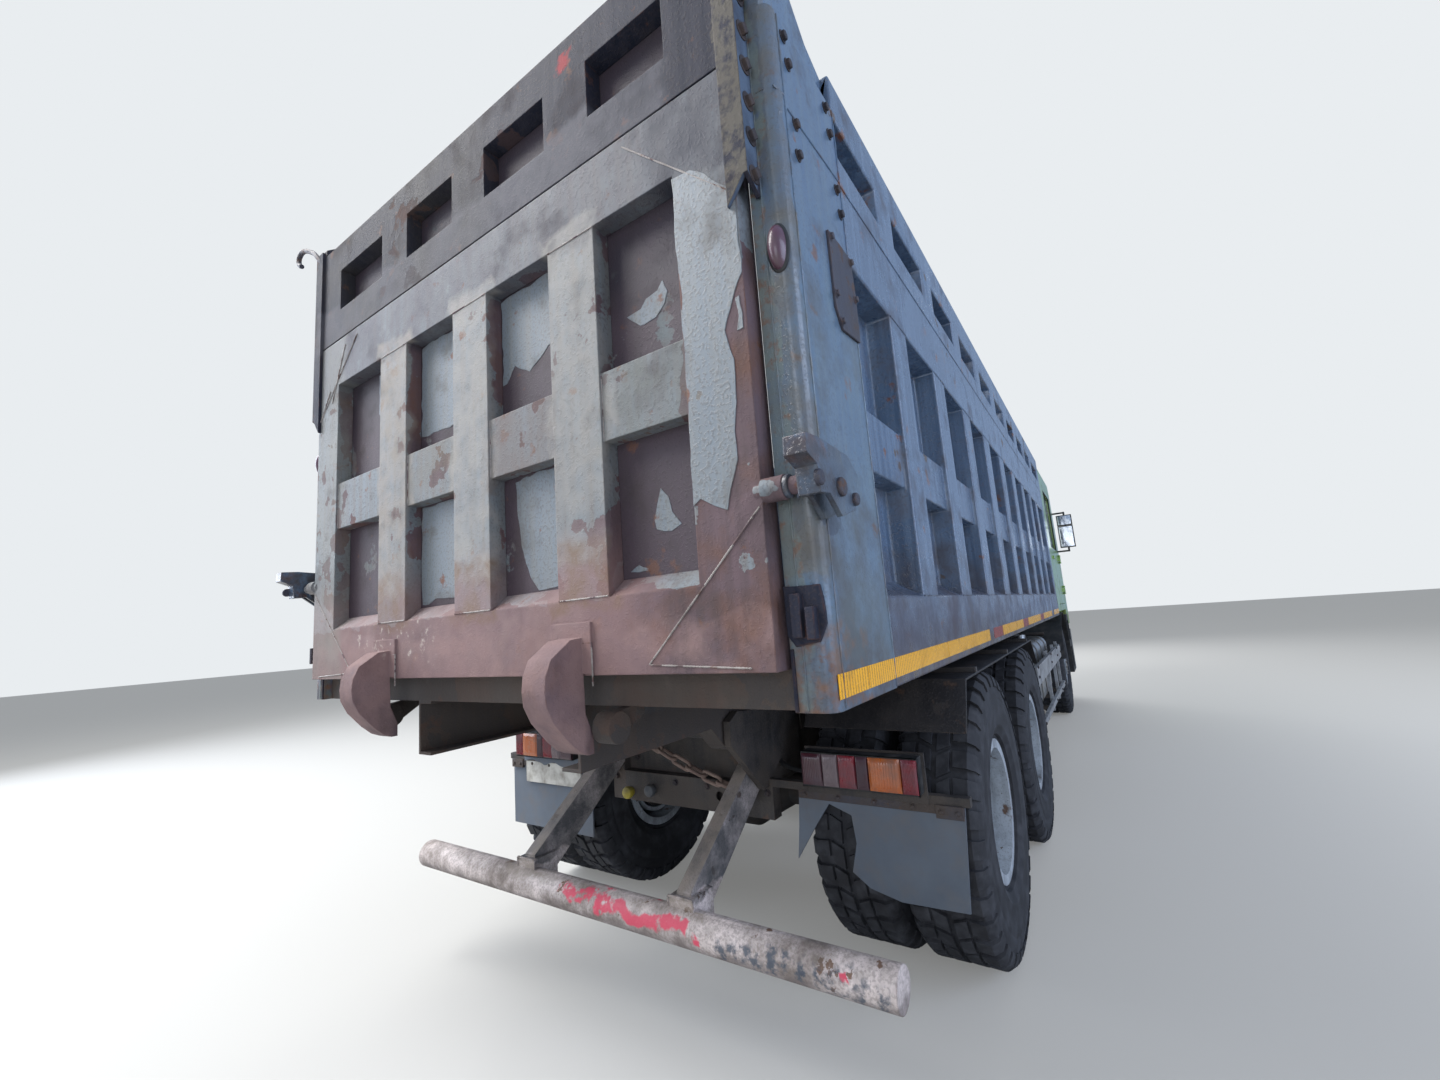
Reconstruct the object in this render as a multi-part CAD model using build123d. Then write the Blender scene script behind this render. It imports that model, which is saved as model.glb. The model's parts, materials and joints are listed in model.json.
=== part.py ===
from build123d import *
import math
import os

# A heavy rear dump truck: cab over engine, three axles, a ribbed steel body with a
# top-hung tailgate. All sizes are millimetres. X runs forward from the rear face of the
# body's rear posts, Y to the left and Z up from the ground. The export moves the model
# so that its origin is under the middle of its overall length.

# General clearances
FIT = 0.3             # seat between pieces that are clamped or bedded
BORE_PLAY = 0.05      # radial play of a pin in its bore
CLEAR = 6.0           # free gap between pieces that move past each other

# Driving sizes, which the rest follow
TYRE_R = 562.0
WHEELBASE = 4375.0    # second rear axle to front axle
TANDEM_SPREAD = 1350.0
BODY_HALF = 1225.0
CAB_STEP = 25.0       # the cab's side stands in from the body's
WALL_RISE = 1446.0    # load floor to the split between the gate and its extension
TIP_X = 800.0
FRAME_REAR = 1090.0

# Wheels and axles
CAB_HALF = BODY_HALF - CAB_STEP
TYRE_W = 310.0
RIM_R = 254.0
RIM_FLANGE_R = 280.0
RIM_W = 230.0
RIM_WALL = 12.0
DUAL_SPACING = 345.0
DUAL_OUTER_FACE = 1250.0
AXLE_1 = TYRE_R + 1038
AXLE_2 = AXLE_1 + TANDEM_SPREAD
TANDEM_X = (AXLE_1 + AXLE_2) / 2
FRONT_AXLE = AXLE_2 + WHEELBASE
FRONT_WHEEL_Y = CAB_HALF - 180
KINGPIN_Y = FRONT_WHEEL_Y - 90
KINGPIN_R = 30.0
DUAL_OUTER_Y = DUAL_OUTER_FACE - TYRE_W / 2
DUAL_INNER_Y = DUAL_OUTER_Y - DUAL_SPACING
DUAL_MIDDLE_Y = (DUAL_OUTER_Y + DUAL_INNER_Y) / 2
REAR_SPINDLE_R = 50.0
FRONT_SPINDLE_R = 40.0
HUB_INNER_Y = 700.0

# Heights
WALL_BOTTOM = 2 * TYRE_R + 94
FLOOR_TOP = WALL_BOTTOM + 120
RAIL_TOP = WALL_BOTTOM - 198
RAIL_BOTTOM = RAIL_TOP - 300
CAB_FLOOR = RAIL_TOP + 230

# Cab's and body's stations
CAB_REAR = FRONT_AXLE - 375
CAB_FRONT = CAB_REAR + 1840
BODY_LENGTH = CAB_REAR - 330

# Ladder frame
RAIL_OUTER_Y = 430.0
RAIL_FLANGE = 90.0
RAIL_WALL = 8.0
RAIL_INNER_Y = RAIL_OUTER_Y - RAIL_FLANGE
FRAME_FRONT = CAB_FRONT - 150
GEARBOX_REAR = CAB_REAR - 450
HOIST_X = AXLE_2 + 550
CROSSMEMBERS = (TANDEM_X, HOIST_X + 350, HOIST_X + 1200, GEARBOX_REAR - 800, GEARBOX_REAR - 120,
                FRAME_FRONT - 340)
TOW_BEAM_DEPTH = 60.0
TOW_BEAM_BOTTOM = RAIL_BOTTOM - 120
TOW_BEAM_TOP = RAIL_BOTTOM + 15
BEAM_HOLE_Y = -185.0
BEAM_HOLE_R = 20.0
CLOSING_PLATE = 12.0
EAR_WALL = 30.0
BRACKET_REACH = BODY_HALF - 55
BRACKET_FIRST = AXLE_2 + 750
BRACKET_LAST = FRONT_AXLE - 1375
SIDE_BRACKETS = [BRACKET_FIRST + (BRACKET_LAST - BRACKET_FIRST) * share for share in (0, 0.489, 0.8, 1)]
TANK_FLOOR = RAIL_BOTTOM - 240
GUARD_BAR = 20.0
GUARD_TOP = WALL_BOTTOM - 50
UNDERRIDE_R = 57.0
UNDERRIDE_HALF = BODY_HALF - 95
UNDERRIDE_X = FRAME_REAR - 622
UNDERRIDE_Z = RAIL_BOTTOM - 284
LAMP_REAR = FRAME_REAR - 160
LAMP_DEPTH = 60.0
LAMP_SPAN = (BODY_HALF - 575, BODY_HALF - 135)
LAMP_HEIGHT = (RAIL_BOTTOM + 62, RAIL_BOTTOM + 187)
FLAP_TOP = RAIL_BOTTOM + 22
FLAP_LOW = RAIL_BOTTOM - 320
FLAP_SPAN = (BODY_HALF - 635, BODY_HALF - 10)

# Leaf springs: thickness, count, half length, middle's rise above the ends
LEAF = 16.0
LEAF_SIDES = (RAIL_OUTER_Y - 85, RAIL_OUTER_Y - 5)
REAR_LEAVES = 6
REAR_LEAF_HALF = TANDEM_SPREAD / 2 + 40
REAR_LEAF_RISE = 50.0
REAR_PAD_TOP = TYRE_R + 86
TRUNNION_R = 50.0
TRUNNION_Z = REAR_PAD_TOP + REAR_LEAF_RISE - LEAF - TRUNNION_R
FRONT_LEAVES = 4
FRONT_LEAF_HALF = 760.0
FRONT_LEAF_RISE = 120.0
FRONT_LEAF_Z = TYRE_R - 62

# Chain across the rear: links, wire, link width, end places (Y, Z) and sag
CHAIN_LINKS = 7
CHAIN_WIRE = 16.0
CHAIN_WIDTH = 52.0
CHAIN_X = FRAME_REAR - 88
CHAIN_LEFT = (200.0, RAIL_TOP - 127)
CHAIN_RIGHT = (-372.0, TOW_BEAM_BOTTOM + 100)
CHAIN_SAG = 24.0

# Tipping hinge and hoist
TIP_Z = RAIL_TOP - 20
TIP_PIN_R = 35.0
HOIST_BASE_Z = RAIL_BOTTOM - 270
HOIST_PIN_Z = WALL_BOTTOM - 88
HOIST_Y = 200.0
HOIST_PIN_R = 25.0
HOIST_BARREL_R = 86.0
HOIST_WALL = 9.5
HOIST_STAGES = 4
HOIST_GAP = 0.5
HOIST_STEP = 5.0
HOIST_FOOT = 52.0
HOIST_HEAD = 66.0
CRADLE_WALL = 45.0

# Tailgate, hung from ears on the rear posts
GATE_REAR = -50.0
GATE_RIB_DEPTH = 60.0
GATE_HALF = BODY_HALF - 105
GATE_BOTTOM = FLOOR_TOP - 30
GATE_SILL_TOP = GATE_BOTTOM + 200
GATE_SPLIT = FLOOR_TOP + WALL_RISE
GATE_BEAM_BOTTOM = GATE_SPLIT - 214
GATE_TOP = GATE_SPLIT + 467
GATE_WINDOWS = (GATE_SPLIT + 141, GATE_SPLIT + 331)
GATE_STILE = 185.0
GATE_POSTS = [GATE_HALF * share for share in (-0.4866, -0.033, 0.4196)]
GATE_POST_WIDTH = 195.0
GATE_MIDDLE = (GATE_SILL_TOP + GATE_BEAM_BOTTOM) / 2
GATE_MID = (GATE_MIDDLE - 110, GATE_MIDDLE + 86)
GATE_HINGE_X = 140.0
GATE_HINGE_Z = GATE_SPLIT + 566
GATE_PIN_R = 25.0
GATE_ARM = 35.0
STRIP_BOTTOM = GATE_SPLIT - 394
CLAW_Y = 500.0
CLAW_WIDTH = 90.0
CLAW_REACH = 135.0
CLAW_BOSS_Z = GATE_BOTTOM - 140
LATCH_X = GATE_REAR + 14
LATCH_Z = GATE_BOTTOM + 392

# Load body
WALL_PLATE = 8.0
RIB_DEPTH = 90.0
WALL_RAIL_TOP = FLOOR_TOP + 121
MAIN_RAIL_BOTTOM = GATE_SPLIT - 351
MAIN_RAIL_TOP = GATE_SPLIT - 102
EXT_SILL_TOP = MAIN_RAIL_TOP + 106
EXT_WINDOW_TOP = MAIN_RAIL_TOP + 238
SIDE_TOP = MAIN_RAIL_TOP + 384
MID_MIDDLE = (WALL_RAIL_TOP + MAIN_RAIL_BOTTOM) / 2
MID_BLOCK = (MID_MIDDLE - 126, MID_MIDDLE + 63)
MID_BLOCK_SET_BACK = 20.0
RIB_WIDTH = 186.0
RIB_FIRST = 880.0
RIB_COUNT = 9
RIB_PITCH = (BODY_LENGTH - 250 - RIB_FIRST) / RIB_COUNT
FRONT_POST = 180.0
POST_LENGTH = 400.0
POST_TOP = GATE_SPLIT + 156
POST_EAR = 70.0
POST_CORNER = 34.0
BEARER_WIDTH = 80.0
BED_RAIL_BOTTOM = RAIL_TOP + 10
BED_RAIL_WALL = 10.0
HEADBOARD_DEPTH = 68.0

# Cab
CAB_WALL = 45.0
CAB_ROOF = CAB_FLOOR + 1800
CAB_NOSE_BOTTOM = CAB_FLOOR - 210
CAB_NOSE_X = CAB_REAR + 1380
DOOR_REAR = CAB_REAR + 380
DOOR_FRONT = CAB_REAR + 1480
DOOR_BOTTOM = CAB_FLOOR + 80
DOOR_SILL = CAB_FLOOR + 830
DOOR_TOP = CAB_FLOOR + 1650
DOOR_FRAME = 70.0
SCREEN_BOTTOM = CAB_FLOOR + 750
SCREEN_TOP = CAB_FLOOR + 1600
REAR_WINDOW = (CAB_HALF - 700, CAB_FLOOR + 900, CAB_FLOOR + 1450)
GLASS = 6.0
BUMPER_FRONT = CAB_FRONT + 70
BUMPER_BOTTOM = RAIL_BOTTOM - 320
BUMPER_TOP = RAIL_BOTTOM + 240
BUMPER_DEPTH = 160.0
CAB_TILT_X = CAB_FRONT - 50
CAB_TILT_Z = RAIL_TOP - 20
CAB_PIN_R = 20.0
ARCH_R = TYRE_R + 103
ARCH_SHEET = 8.0
TUNNEL = (CAB_REAR + 180, CAB_REAR + 1290, 400.0, CAB_FLOOR + 190)
HEADLAMP = (CAB_HALF - 420, CAB_HALF - 110, BUMPER_BOTTOM + 160, BUMPER_BOTTOM + 340)
GRILLE_HALF = CAB_HALF - 560
MIRROR_OUT = CAB_HALF + 240
DOOR_HINGE_X = DOOR_FRONT + 8
DOOR_HINGE_Y = CAB_HALF + 18
DOOR_PIN_R = 6.0
DOOR_BARREL_R = 12.0
DOOR_HINGE_Z = (CAB_FLOOR + 270, CAB_FLOOR + 710)

REAR_END = GATE_REAR - CLAW_REACH
ORIGIN_X = (REAR_END + BUMPER_FRONT) / 2


def box(x0, x1, y0, y1, z0, z1):
    """Block between two corners."""
    return Pos((x0 + x1) / 2, (y0 + y1) / 2, (z0 + z1) / 2) * Box(x1 - x0, y1 - y0, z1 - z0)


def side_plate(points, y0, y1):
    """Outline in X and Z, thickened from y0 to y1."""
    plane = Plane((0, y1, 0), x_dir=(1, 0, 0), z_dir=(0, -1, 0))
    return extrude(plane * make_face(Polyline(*points, close=True)), y1 - y0)


def cross_plate(points, x0, x1):
    """Outline in Y and Z, thickened from x0 to x1."""
    plane = Plane((x0, 0, 0), x_dir=(0, 1, 0), z_dir=(1, 0, 0))
    return extrude(plane * make_face(Polyline(*points, close=True)), x1 - x0)


def y_rod(x, z, radius, y0, y1):
    """Round bar along Y."""
    return Pos(x, (y0 + y1) / 2, z) * Rot(90, 0, 0) * Cylinder(radius, y1 - y0)


def x_rod(y, z, radius, x0, x1):
    """Round bar along X."""
    return Pos((x0 + x1) / 2, y, z) * Rot(0, 90, 0) * Cylinder(radius, x1 - x0)


def z_rod(x, y, radius, z0, z1):
    """Round bar along Z."""
    return Pos(x, y, (z0 + z1) / 2) * Cylinder(radius, z1 - z0)


def turned(points, x, z):
    """Outline in radius and Y, turned about an axle along Y at x, z."""
    return Pos(x, 0, z) * revolve(make_face(Polyline(*points, close=True)), Axis.Y)


def fuse(pieces):
    """All pieces joined into one shape."""
    pieces = list(pieces)
    return pieces[0].fuse(*pieces[1:]) if len(pieces) > 1 else pieces[0]


def mirrored(piece):
    """The piece on the other side of the vehicle."""
    return mirror(piece, about=Plane.XZ)


def pair(piece):
    """A piece and its mirror image."""
    return [piece, mirrored(piece)]


def save(name, pieces):
    """Write one sub-part, moved so that the origin is under the vehicle's middle."""
    solids = [solid for piece in pieces for solid in (Pos(-ORIGIN_X, 0, 0) * piece).solids()]
    shape = solids[0] if len(solids) == 1 else Compound(children=solids)
    export_step(shape, f"parts/{name}.step")


# Chassis

def frame_rail():
    """Left rail: a channel open towards the middle."""
    inner, web = RAIL_OUTER_Y - RAIL_FLANGE, RAIL_OUTER_Y - RAIL_WALL
    outline = [(RAIL_OUTER_Y, RAIL_BOTTOM), (RAIL_OUTER_Y, RAIL_TOP), (inner, RAIL_TOP),
               (inner, RAIL_TOP - RAIL_WALL), (web, RAIL_TOP - RAIL_WALL),
               (web, RAIL_BOTTOM + RAIL_WALL), (inner, RAIL_BOTTOM + RAIL_WALL), (inner, RAIL_BOTTOM)]
    return cross_plate(outline, FRAME_REAR, FRAME_FRONT)


def crossmember(x):
    """Channel between the rails' webs, open towards the front."""
    web, depth, wall = RAIL_OUTER_Y - RAIL_WALL, 90.0, 8.0
    low, high = RAIL_BOTTOM + 40, RAIL_TOP - 40
    block = box(x - depth / 2, x + depth / 2, -web, web, low, high)
    return block - box(x - depth / 2 + wall, x + depth / 2, -web + wall, web - wall, low + wall, high - wall)


def tow_beam():
    """Rear closing plate and the beam under it with its round bolt hole."""
    rear, half = FRAME_REAR - TOW_BEAM_DEPTH, RAIL_OUTER_Y + 25
    beam = box(rear, FRAME_REAR, -half, half, TOW_BEAM_BOTTOM, TOW_BEAM_TOP)
    beam -= box(rear + 10, FRAME_REAR, -half + 10, half - 10, TOW_BEAM_BOTTOM + 10, TOW_BEAM_TOP - 10)
    beam -= x_rod(BEAM_HOLE_Y, (TOW_BEAM_BOTTOM + TOW_BEAM_TOP) / 2, BEAM_HOLE_R, rear - 5, rear + 15)
    hanger = box(rear, FRAME_REAR, RAIL_OUTER_Y - 50, RAIL_OUTER_Y, TOW_BEAM_TOP - 10, RAIL_TOP)
    plate = box(FRAME_REAR - CLOSING_PLATE, FRAME_REAR, -RAIL_OUTER_Y, RAIL_OUTER_Y, TOW_BEAM_BOTTOM,
                RAIL_TOP)
    return fuse([beam, plate] + pair(hanger))


def tip_ear():
    """Left plate on the rail's web that carries the tipping shaft behind the rail's end."""
    outline = [(FRAME_REAR + 210, RAIL_TOP), (FRAME_REAR + 210, RAIL_BOTTOM + 40),
               (FRAME_REAR - 130, RAIL_BOTTOM + 20), (TIP_X - 60, TIP_Z - 45), (TIP_X - 60, TIP_Z + 45),
               (TIP_X, TIP_Z + 75)]
    return side_plate(outline, RAIL_OUTER_Y, RAIL_OUTER_Y + EAR_WALL)


def hoist_cradle():
    """Left plate under the rail's flange that holds the hoist's lower shaft."""
    outline = [(HOIST_X - 180, RAIL_BOTTOM), (HOIST_X + 180, RAIL_BOTTOM),
               (HOIST_X + 70, HOIST_BASE_Z - 45), (HOIST_X - 70, HOIST_BASE_Z - 45)]
    return side_plate(outline, RAIL_INNER_Y, RAIL_INNER_Y + CRADLE_WALL)


def side_bracket(x):
    """Left L-shaped arm for tanks and side guards."""
    outline = [(RAIL_OUTER_Y, RAIL_TOP - 30), (RAIL_OUTER_Y + 40, RAIL_TOP - 30),
               (RAIL_OUTER_Y + 40, TANK_FLOOR), (BRACKET_REACH, TANK_FLOOR), (BRACKET_REACH, TANK_FLOOR - 30),
               (RAIL_OUTER_Y, TANK_FLOOR - 60)]
    return cross_plate(outline, x - 30, x + 30)


def mudguard_bracket(x):
    """Left hanger over the twin wheels: an upright on the rail and a bar across."""
    top = GUARD_TOP
    upright = box(x - 30, x + 30, RAIL_OUTER_Y, RAIL_OUTER_Y + 10, RAIL_BOTTOM + 180, top)
    return upright + box(x - 15, x + 15, RAIL_OUTER_Y, BODY_HALF + 10, top - GUARD_BAR, top)


def arch_bracket(angle):
    """Left bar over the front mudguard at an angle about the wheel."""
    reach = ARCH_R + ARCH_SHEET + FIT + 18
    x = FRONT_AXLE + reach * math.cos(math.radians(angle))
    z = TYRE_R + reach * math.sin(math.radians(angle))
    upright = box(x - 25, x + 25, RAIL_OUTER_Y, RAIL_OUTER_Y + 12, RAIL_BOTTOM + 60, z + 18)
    return upright + y_rod(x, z, 18, RAIL_OUTER_Y, FRONT_WHEEL_Y)


def cab_pivot():
    """Left bracket at the rail's front end with the pin that the cab tilts about."""
    outline = [(FRAME_FRONT, RAIL_TOP), (FRAME_FRONT, BUMPER_TOP), (CAB_TILT_X + 25, BUMPER_TOP),
               (CAB_TILT_X + 25, CAB_TILT_Z + 20), (CAB_TILT_X - 20, RAIL_TOP)]
    plate = side_plate(outline, RAIL_INNER_Y + 10, RAIL_OUTER_Y)
    return plate + y_rod(CAB_TILT_X, CAB_TILT_Z, CAB_PIN_R, RAIL_OUTER_Y - 150, RAIL_OUTER_Y)


def trunnion():
    """Left bracket on the rail's web with the stub that the tandem spring rocks on."""
    plate = box(TANDEM_X - 90, TANDEM_X + 90, RAIL_OUTER_Y, RAIL_OUTER_Y + 18, TRUNNION_Z - 80,
                RAIL_BOTTOM + 160)
    return plate + y_rod(TANDEM_X, TRUNNION_Z, TRUNNION_R, RAIL_OUTER_Y, RAIL_OUTER_Y + 110)


def chassis_frame():
    """The ladder frame's two rails."""
    return pair(frame_rail())


def crossmembers():
    """Channels between the rails."""
    return [crossmember(x) for x in CROSSMEMBERS]


def rear_beam():
    """Closing plate and beam behind the rails with the chain's pins."""
    return [fuse([tow_beam()] + chain_pins())]


def frame_brackets():
    """Brackets and shafts on the rails: tipping gear, hoist, tanks, mudguards, springs and cab."""
    reach = RAIL_INNER_Y + CRADLE_WALL
    half = RAIL_OUTER_Y + EAR_WALL
    tipping = pair(tip_ear()) + [y_rod(TIP_X, TIP_Z, TIP_PIN_R, -half, half)]
    cradle = pair(hoist_cradle()) + [y_rod(HOIST_X, HOIST_BASE_Z, HOIST_PIN_R, -reach, reach)]
    left = [side_bracket(x) for x in SIDE_BRACKETS]
    left += [mudguard_bracket(x) for x in (AXLE_1 - 200, TANDEM_X, AXLE_2 + 200)]
    left += [arch_bracket(angle) for angle in (40, 140)] + [trunnion(), cab_pivot()]
    return [fuse(tipping), fuse(cradle)] + [side for piece in left for side in pair(piece)]


def underride_guard():
    """Round bar behind the wheels on two sloping struts with square feet."""
    bar = y_rod(UNDERRIDE_X, UNDERRIDE_Z, UNDERRIDE_R, -UNDERRIDE_HALF, UNDERRIDE_HALF)
    top = FRAME_REAR - TOW_BEAM_DEPTH
    outline = [(top, RAIL_BOTTOM + 210), (top, RAIL_BOTTOM + 60), (UNDERRIDE_X + 110, UNDERRIDE_Z + 10),
               (UNDERRIDE_X + 10, UNDERRIDE_Z + 40), (UNDERRIDE_X + 10, UNDERRIDE_Z + 100)]
    y = RAIL_OUTER_Y - 30
    strut = side_plate(outline, y - 30, y + 30)
    strut -= side_plate([(x + 14, z) for x, z in outline], y - 22, y + 22)
    foot = box(UNDERRIDE_X - 10, UNDERRIDE_X + 110, y - 50, y + 50, UNDERRIDE_Z, UNDERRIDE_Z + 90)
    return [fuse([bar, strut, foot, mirrored(strut), mirrored(foot)])]


def lamp_brackets():
    """Bars that carry the tail lamps and the mud flaps, bolted to the tipping ears."""
    back = LAMP_REAR + LAMP_DEPTH
    bar = box(back + 8, back + 38, RAIL_OUTER_Y + EAR_WALL, BODY_HALF + 10, FLAP_TOP, FLAP_TOP + 30)
    plate = box(back, back + 8, LAMP_SPAN[0] - 10, LAMP_SPAN[1] + 10, FLAP_TOP, LAMP_HEIGHT[1] + 8)
    return pair(bar + plate)


def tail_lamps():
    """Long lamp blocks on their plates."""
    lamp = box(LAMP_REAR, LAMP_REAR + LAMP_DEPTH, LAMP_SPAN[0], LAMP_SPAN[1], LAMP_HEIGHT[0], LAMP_HEIGHT[1])
    lamp = fillet(lamp.edges().filter_by(Axis.X), 14)
    return pair(lamp)


def mud_flaps():
    """Rubber sheets behind the twin wheels: the left one whole, the right one torn."""
    back = LAMP_REAR + LAMP_DEPTH
    (inner, outer), low = FLAP_SPAN, FLAP_LOW
    left = cross_plate([(inner, FLAP_TOP), (outer, FLAP_TOP), (outer, low), (inner, low)], back + 15,
                       back + 23)
    torn = [(inner, 342), (inner - 12, 200), (inner - 28, 78), (inner + 60, 210), (inner + 125, 300),
            (inner + 212, 268), (inner + 222, 170), (inner + 196, 66), (inner + 260, 20), (inner + 372, -6),
            (outer - 24, 0), (outer, 342)]
    torn = [(-y, low + z) for y, z in torn]
    return [left, cross_plate(torn, back + 15, back + 23)]


def rear_mudguards():
    """Folded sheet over the twin wheels on each side."""
    top = GUARD_TOP - GUARD_BAR
    outer = [(AXLE_1 - 520, top - 180), (AXLE_1 - 420, top), (AXLE_2 + 420, top), (AXLE_2 + 610, top - 180)]
    inner = [(x + (8 if x < AXLE_1 else -8), z - (8 if z == top else 0)) for x, z in reversed(outer)]
    return pair(side_plate(outer + inner, 600, BODY_HALF + 10))


def fuel_tank():
    """Long tank with rounded edges on the right side."""
    y0, y1 = -BRACKET_REACH + 50, -RAIL_OUTER_Y - 40
    tank = box(SIDE_BRACKETS[1] - 250, SIDE_BRACKETS[2] + 250, y0, y1, TANK_FLOOR, TANK_FLOOR + 560)
    tank = fillet(tank.edges().filter_by(Axis.X), 90)
    cap = z_rod(SIDE_BRACKETS[2], (y0 + y1) / 2 - 120, 50, TANK_FLOOR + 555, TANK_FLOOR + 590)
    return [tank + cap]


def air_tanks():
    """Air reservoirs on the left side's brackets."""
    radius = (BRACKET_REACH - RAIL_OUTER_Y - 220) / 4
    tanks = []
    for row in (0, 1):
        y = RAIL_OUTER_Y + 40 + FIT + radius + row * (2 * radius + 20)
        tank = x_rod(y, TANK_FLOOR + FIT + radius, radius, SIDE_BRACKETS[1] - 150, SIDE_BRACKETS[2] + 150)
        tanks.append(fillet(tank.edges().filter_by(GeomType.CIRCLE), 40))
    return tanks


def side_guards():
    """Guard rails between the axles on both sides, on posts from the brackets' tips."""
    x0, x1, y = SIDE_BRACKETS[0] - 70, SIDE_BRACKETS[-1] + 60, BRACKET_REACH
    rails = [box(x0, x1, y + 25, y + 50, TANK_FLOOR + z0, TANK_FLOOR + z1)
             for z0, z1 in ((320, 450), (30, 70))]
    posts = [box(x - 22, x + 22, y, y + 25, TANK_FLOOR - 40, TANK_FLOOR + 480) for x in SIDE_BRACKETS]
    return pair(fuse(rails + posts))


# Running gear

def front_axle():
    """Dropped beam with an eye for the kingpin at each end."""
    outline = [(0, -162), (420, -162), (620, -42), (KINGPIN_Y, -38), (KINGPIN_Y, 38), (620, 38), (440, -72),
               (0, -72)]
    half = cross_plate([(y, TYRE_R + z) for y, z in outline], FRONT_AXLE - 45, FRONT_AXLE + 45)
    half += z_rod(FRONT_AXLE, KINGPIN_Y, 60, TYRE_R - 80, TYRE_R + 80)
    half -= z_rod(FRONT_AXLE, KINGPIN_Y, KINGPIN_R + BORE_PLAY, TYRE_R - 90, TYRE_R + 90)
    return [half + mirrored(half)]


def leaf(x, half, rise, z, thickness, y0, y1):
    """One bent leaf: an arc over 2*half, its middle rise above its ends, its middle's underside at z."""
    ends = z - rise
    face = Plane((0, y1, 0), x_dir=(1, 0, 0), z_dir=(0, -1, 0)) * make_face(Curve() + [
        ThreePointArc((x - half, ends), (x, z), (x + half, ends)),
        Line((x + half, ends), (x + half, ends + thickness)),
        ThreePointArc((x + half, ends + thickness), (x, z + thickness), (x - half, ends + thickness)),
        Line((x - half, ends + thickness), (x - half, ends))])
    return extrude(face, y1 - y0)


def leaf_rise(half, longest, rise):
    """Rise of a leaf of one half length cut from the same arc as the longest leaf."""
    radius = (longest ** 2 + rise ** 2) / (2 * rise)
    return radius - math.sqrt(radius ** 2 - half ** 2)


def leaf_springs():
    """Tandem packs bridging the two rear axles and front packs on the beam, each a stack of bent leaves."""
    middle, y0, y1 = TANDEM_X, RAIL_OUTER_Y + 20, RAIL_OUTER_Y + 110
    low = REAR_PAD_TOP + REAR_LEAF_RISE + FIT
    rear = [box(middle - 80, middle + 80, y0, y1, TRUNNION_Z + TRUNNION_R + FIT,
                low + LEAF * REAR_LEAVES + 20)]
    for i in range(REAR_LEAVES):
        half = REAR_LEAF_HALF - 100 * i
        rear.append(leaf(middle, half, leaf_rise(half, REAR_LEAF_HALF, REAR_LEAF_RISE), low + LEAF * i, LEAF,
                         y0, y1))
    y0, y1 = LEAF_SIDES
    front = [box(FRONT_AXLE - 70, FRONT_AXLE + 70, y0, y1, FRONT_LEAF_Z - 10,
                 FRONT_LEAF_Z + LEAF * FRONT_LEAVES + 16)]
    for i in range(FRONT_LEAVES):
        half = FRONT_LEAF_HALF - 130 * (FRONT_LEAVES - 1 - i)
        rise = leaf_rise(half, FRONT_LEAF_HALF, FRONT_LEAF_RISE)
        front.append(leaf(FRONT_AXLE, half, -rise, FRONT_LEAF_Z + LEAF * i, LEAF, y0, y1))
    for x in (FRONT_AXLE - FRONT_LEAF_HALF + 20, FRONT_AXLE + FRONT_LEAF_HALF - 20):
        front.append(box(x - 35, x + 35, y0, y1, TYRE_R + 78, RAIL_BOTTOM))
    return pair(fuse(rear)) + pair(fuse(front))


def drive_axles():
    """Two axle housings with their round middles, spindles and the shafts between them."""
    pieces = []
    for x in (AXLE_1, AXLE_2):
        half = [(0, 0), (200, 0), (200, 60), (120, 190), (80, 260), (80, 560), (80, 640), (180, 640),
                (180, 650), (80, 650), (80, 690), (REAR_SPINDLE_R, 690), (REAR_SPINDLE_R, DUAL_OUTER_Y + 30),
                (0, DUAL_OUTER_Y + 30)]
        housing = turned(half, x, TYRE_R)
        pad = box(x - 60, x + 60, RAIL_OUTER_Y + 20, RAIL_OUTER_Y + 110, TYRE_R + 20, REAR_PAD_TOP)
        pieces += [housing, mirrored(housing), pad, mirrored(pad)]
    shaft_z = TYRE_R + 60
    pieces.append(x_rod(0, shaft_z, 45, AXLE_1 + 150, AXLE_2 - 150))
    pieces.append(x_rod(0, shaft_z, 55, AXLE_2 + 150, GEARBOX_REAR))
    return [fuse(pieces)]


def engine():
    """Engine and gearbox as one plain block under the cab."""
    rear, front, web = CAB_REAR + 250, CAB_REAR + 1250, RAIL_OUTER_Y - RAIL_WALL
    gearbox = box(GEARBOX_REAR, rear, -web / 2, web / 2, RAIL_BOTTOM - 190, RAIL_TOP - 90)
    block = box(rear, front, -web * 0.78, web * 0.78, RAIL_BOTTOM - 120, CAB_FLOOR + 150)
    feet = [box(x - 40, x + 40, -web, web, RAIL_BOTTOM + 60, RAIL_BOTTOM + 80)
            for x in (rear + 140, front - 140)]
    return [fuse([gearbox, block] + feet)]


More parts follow.
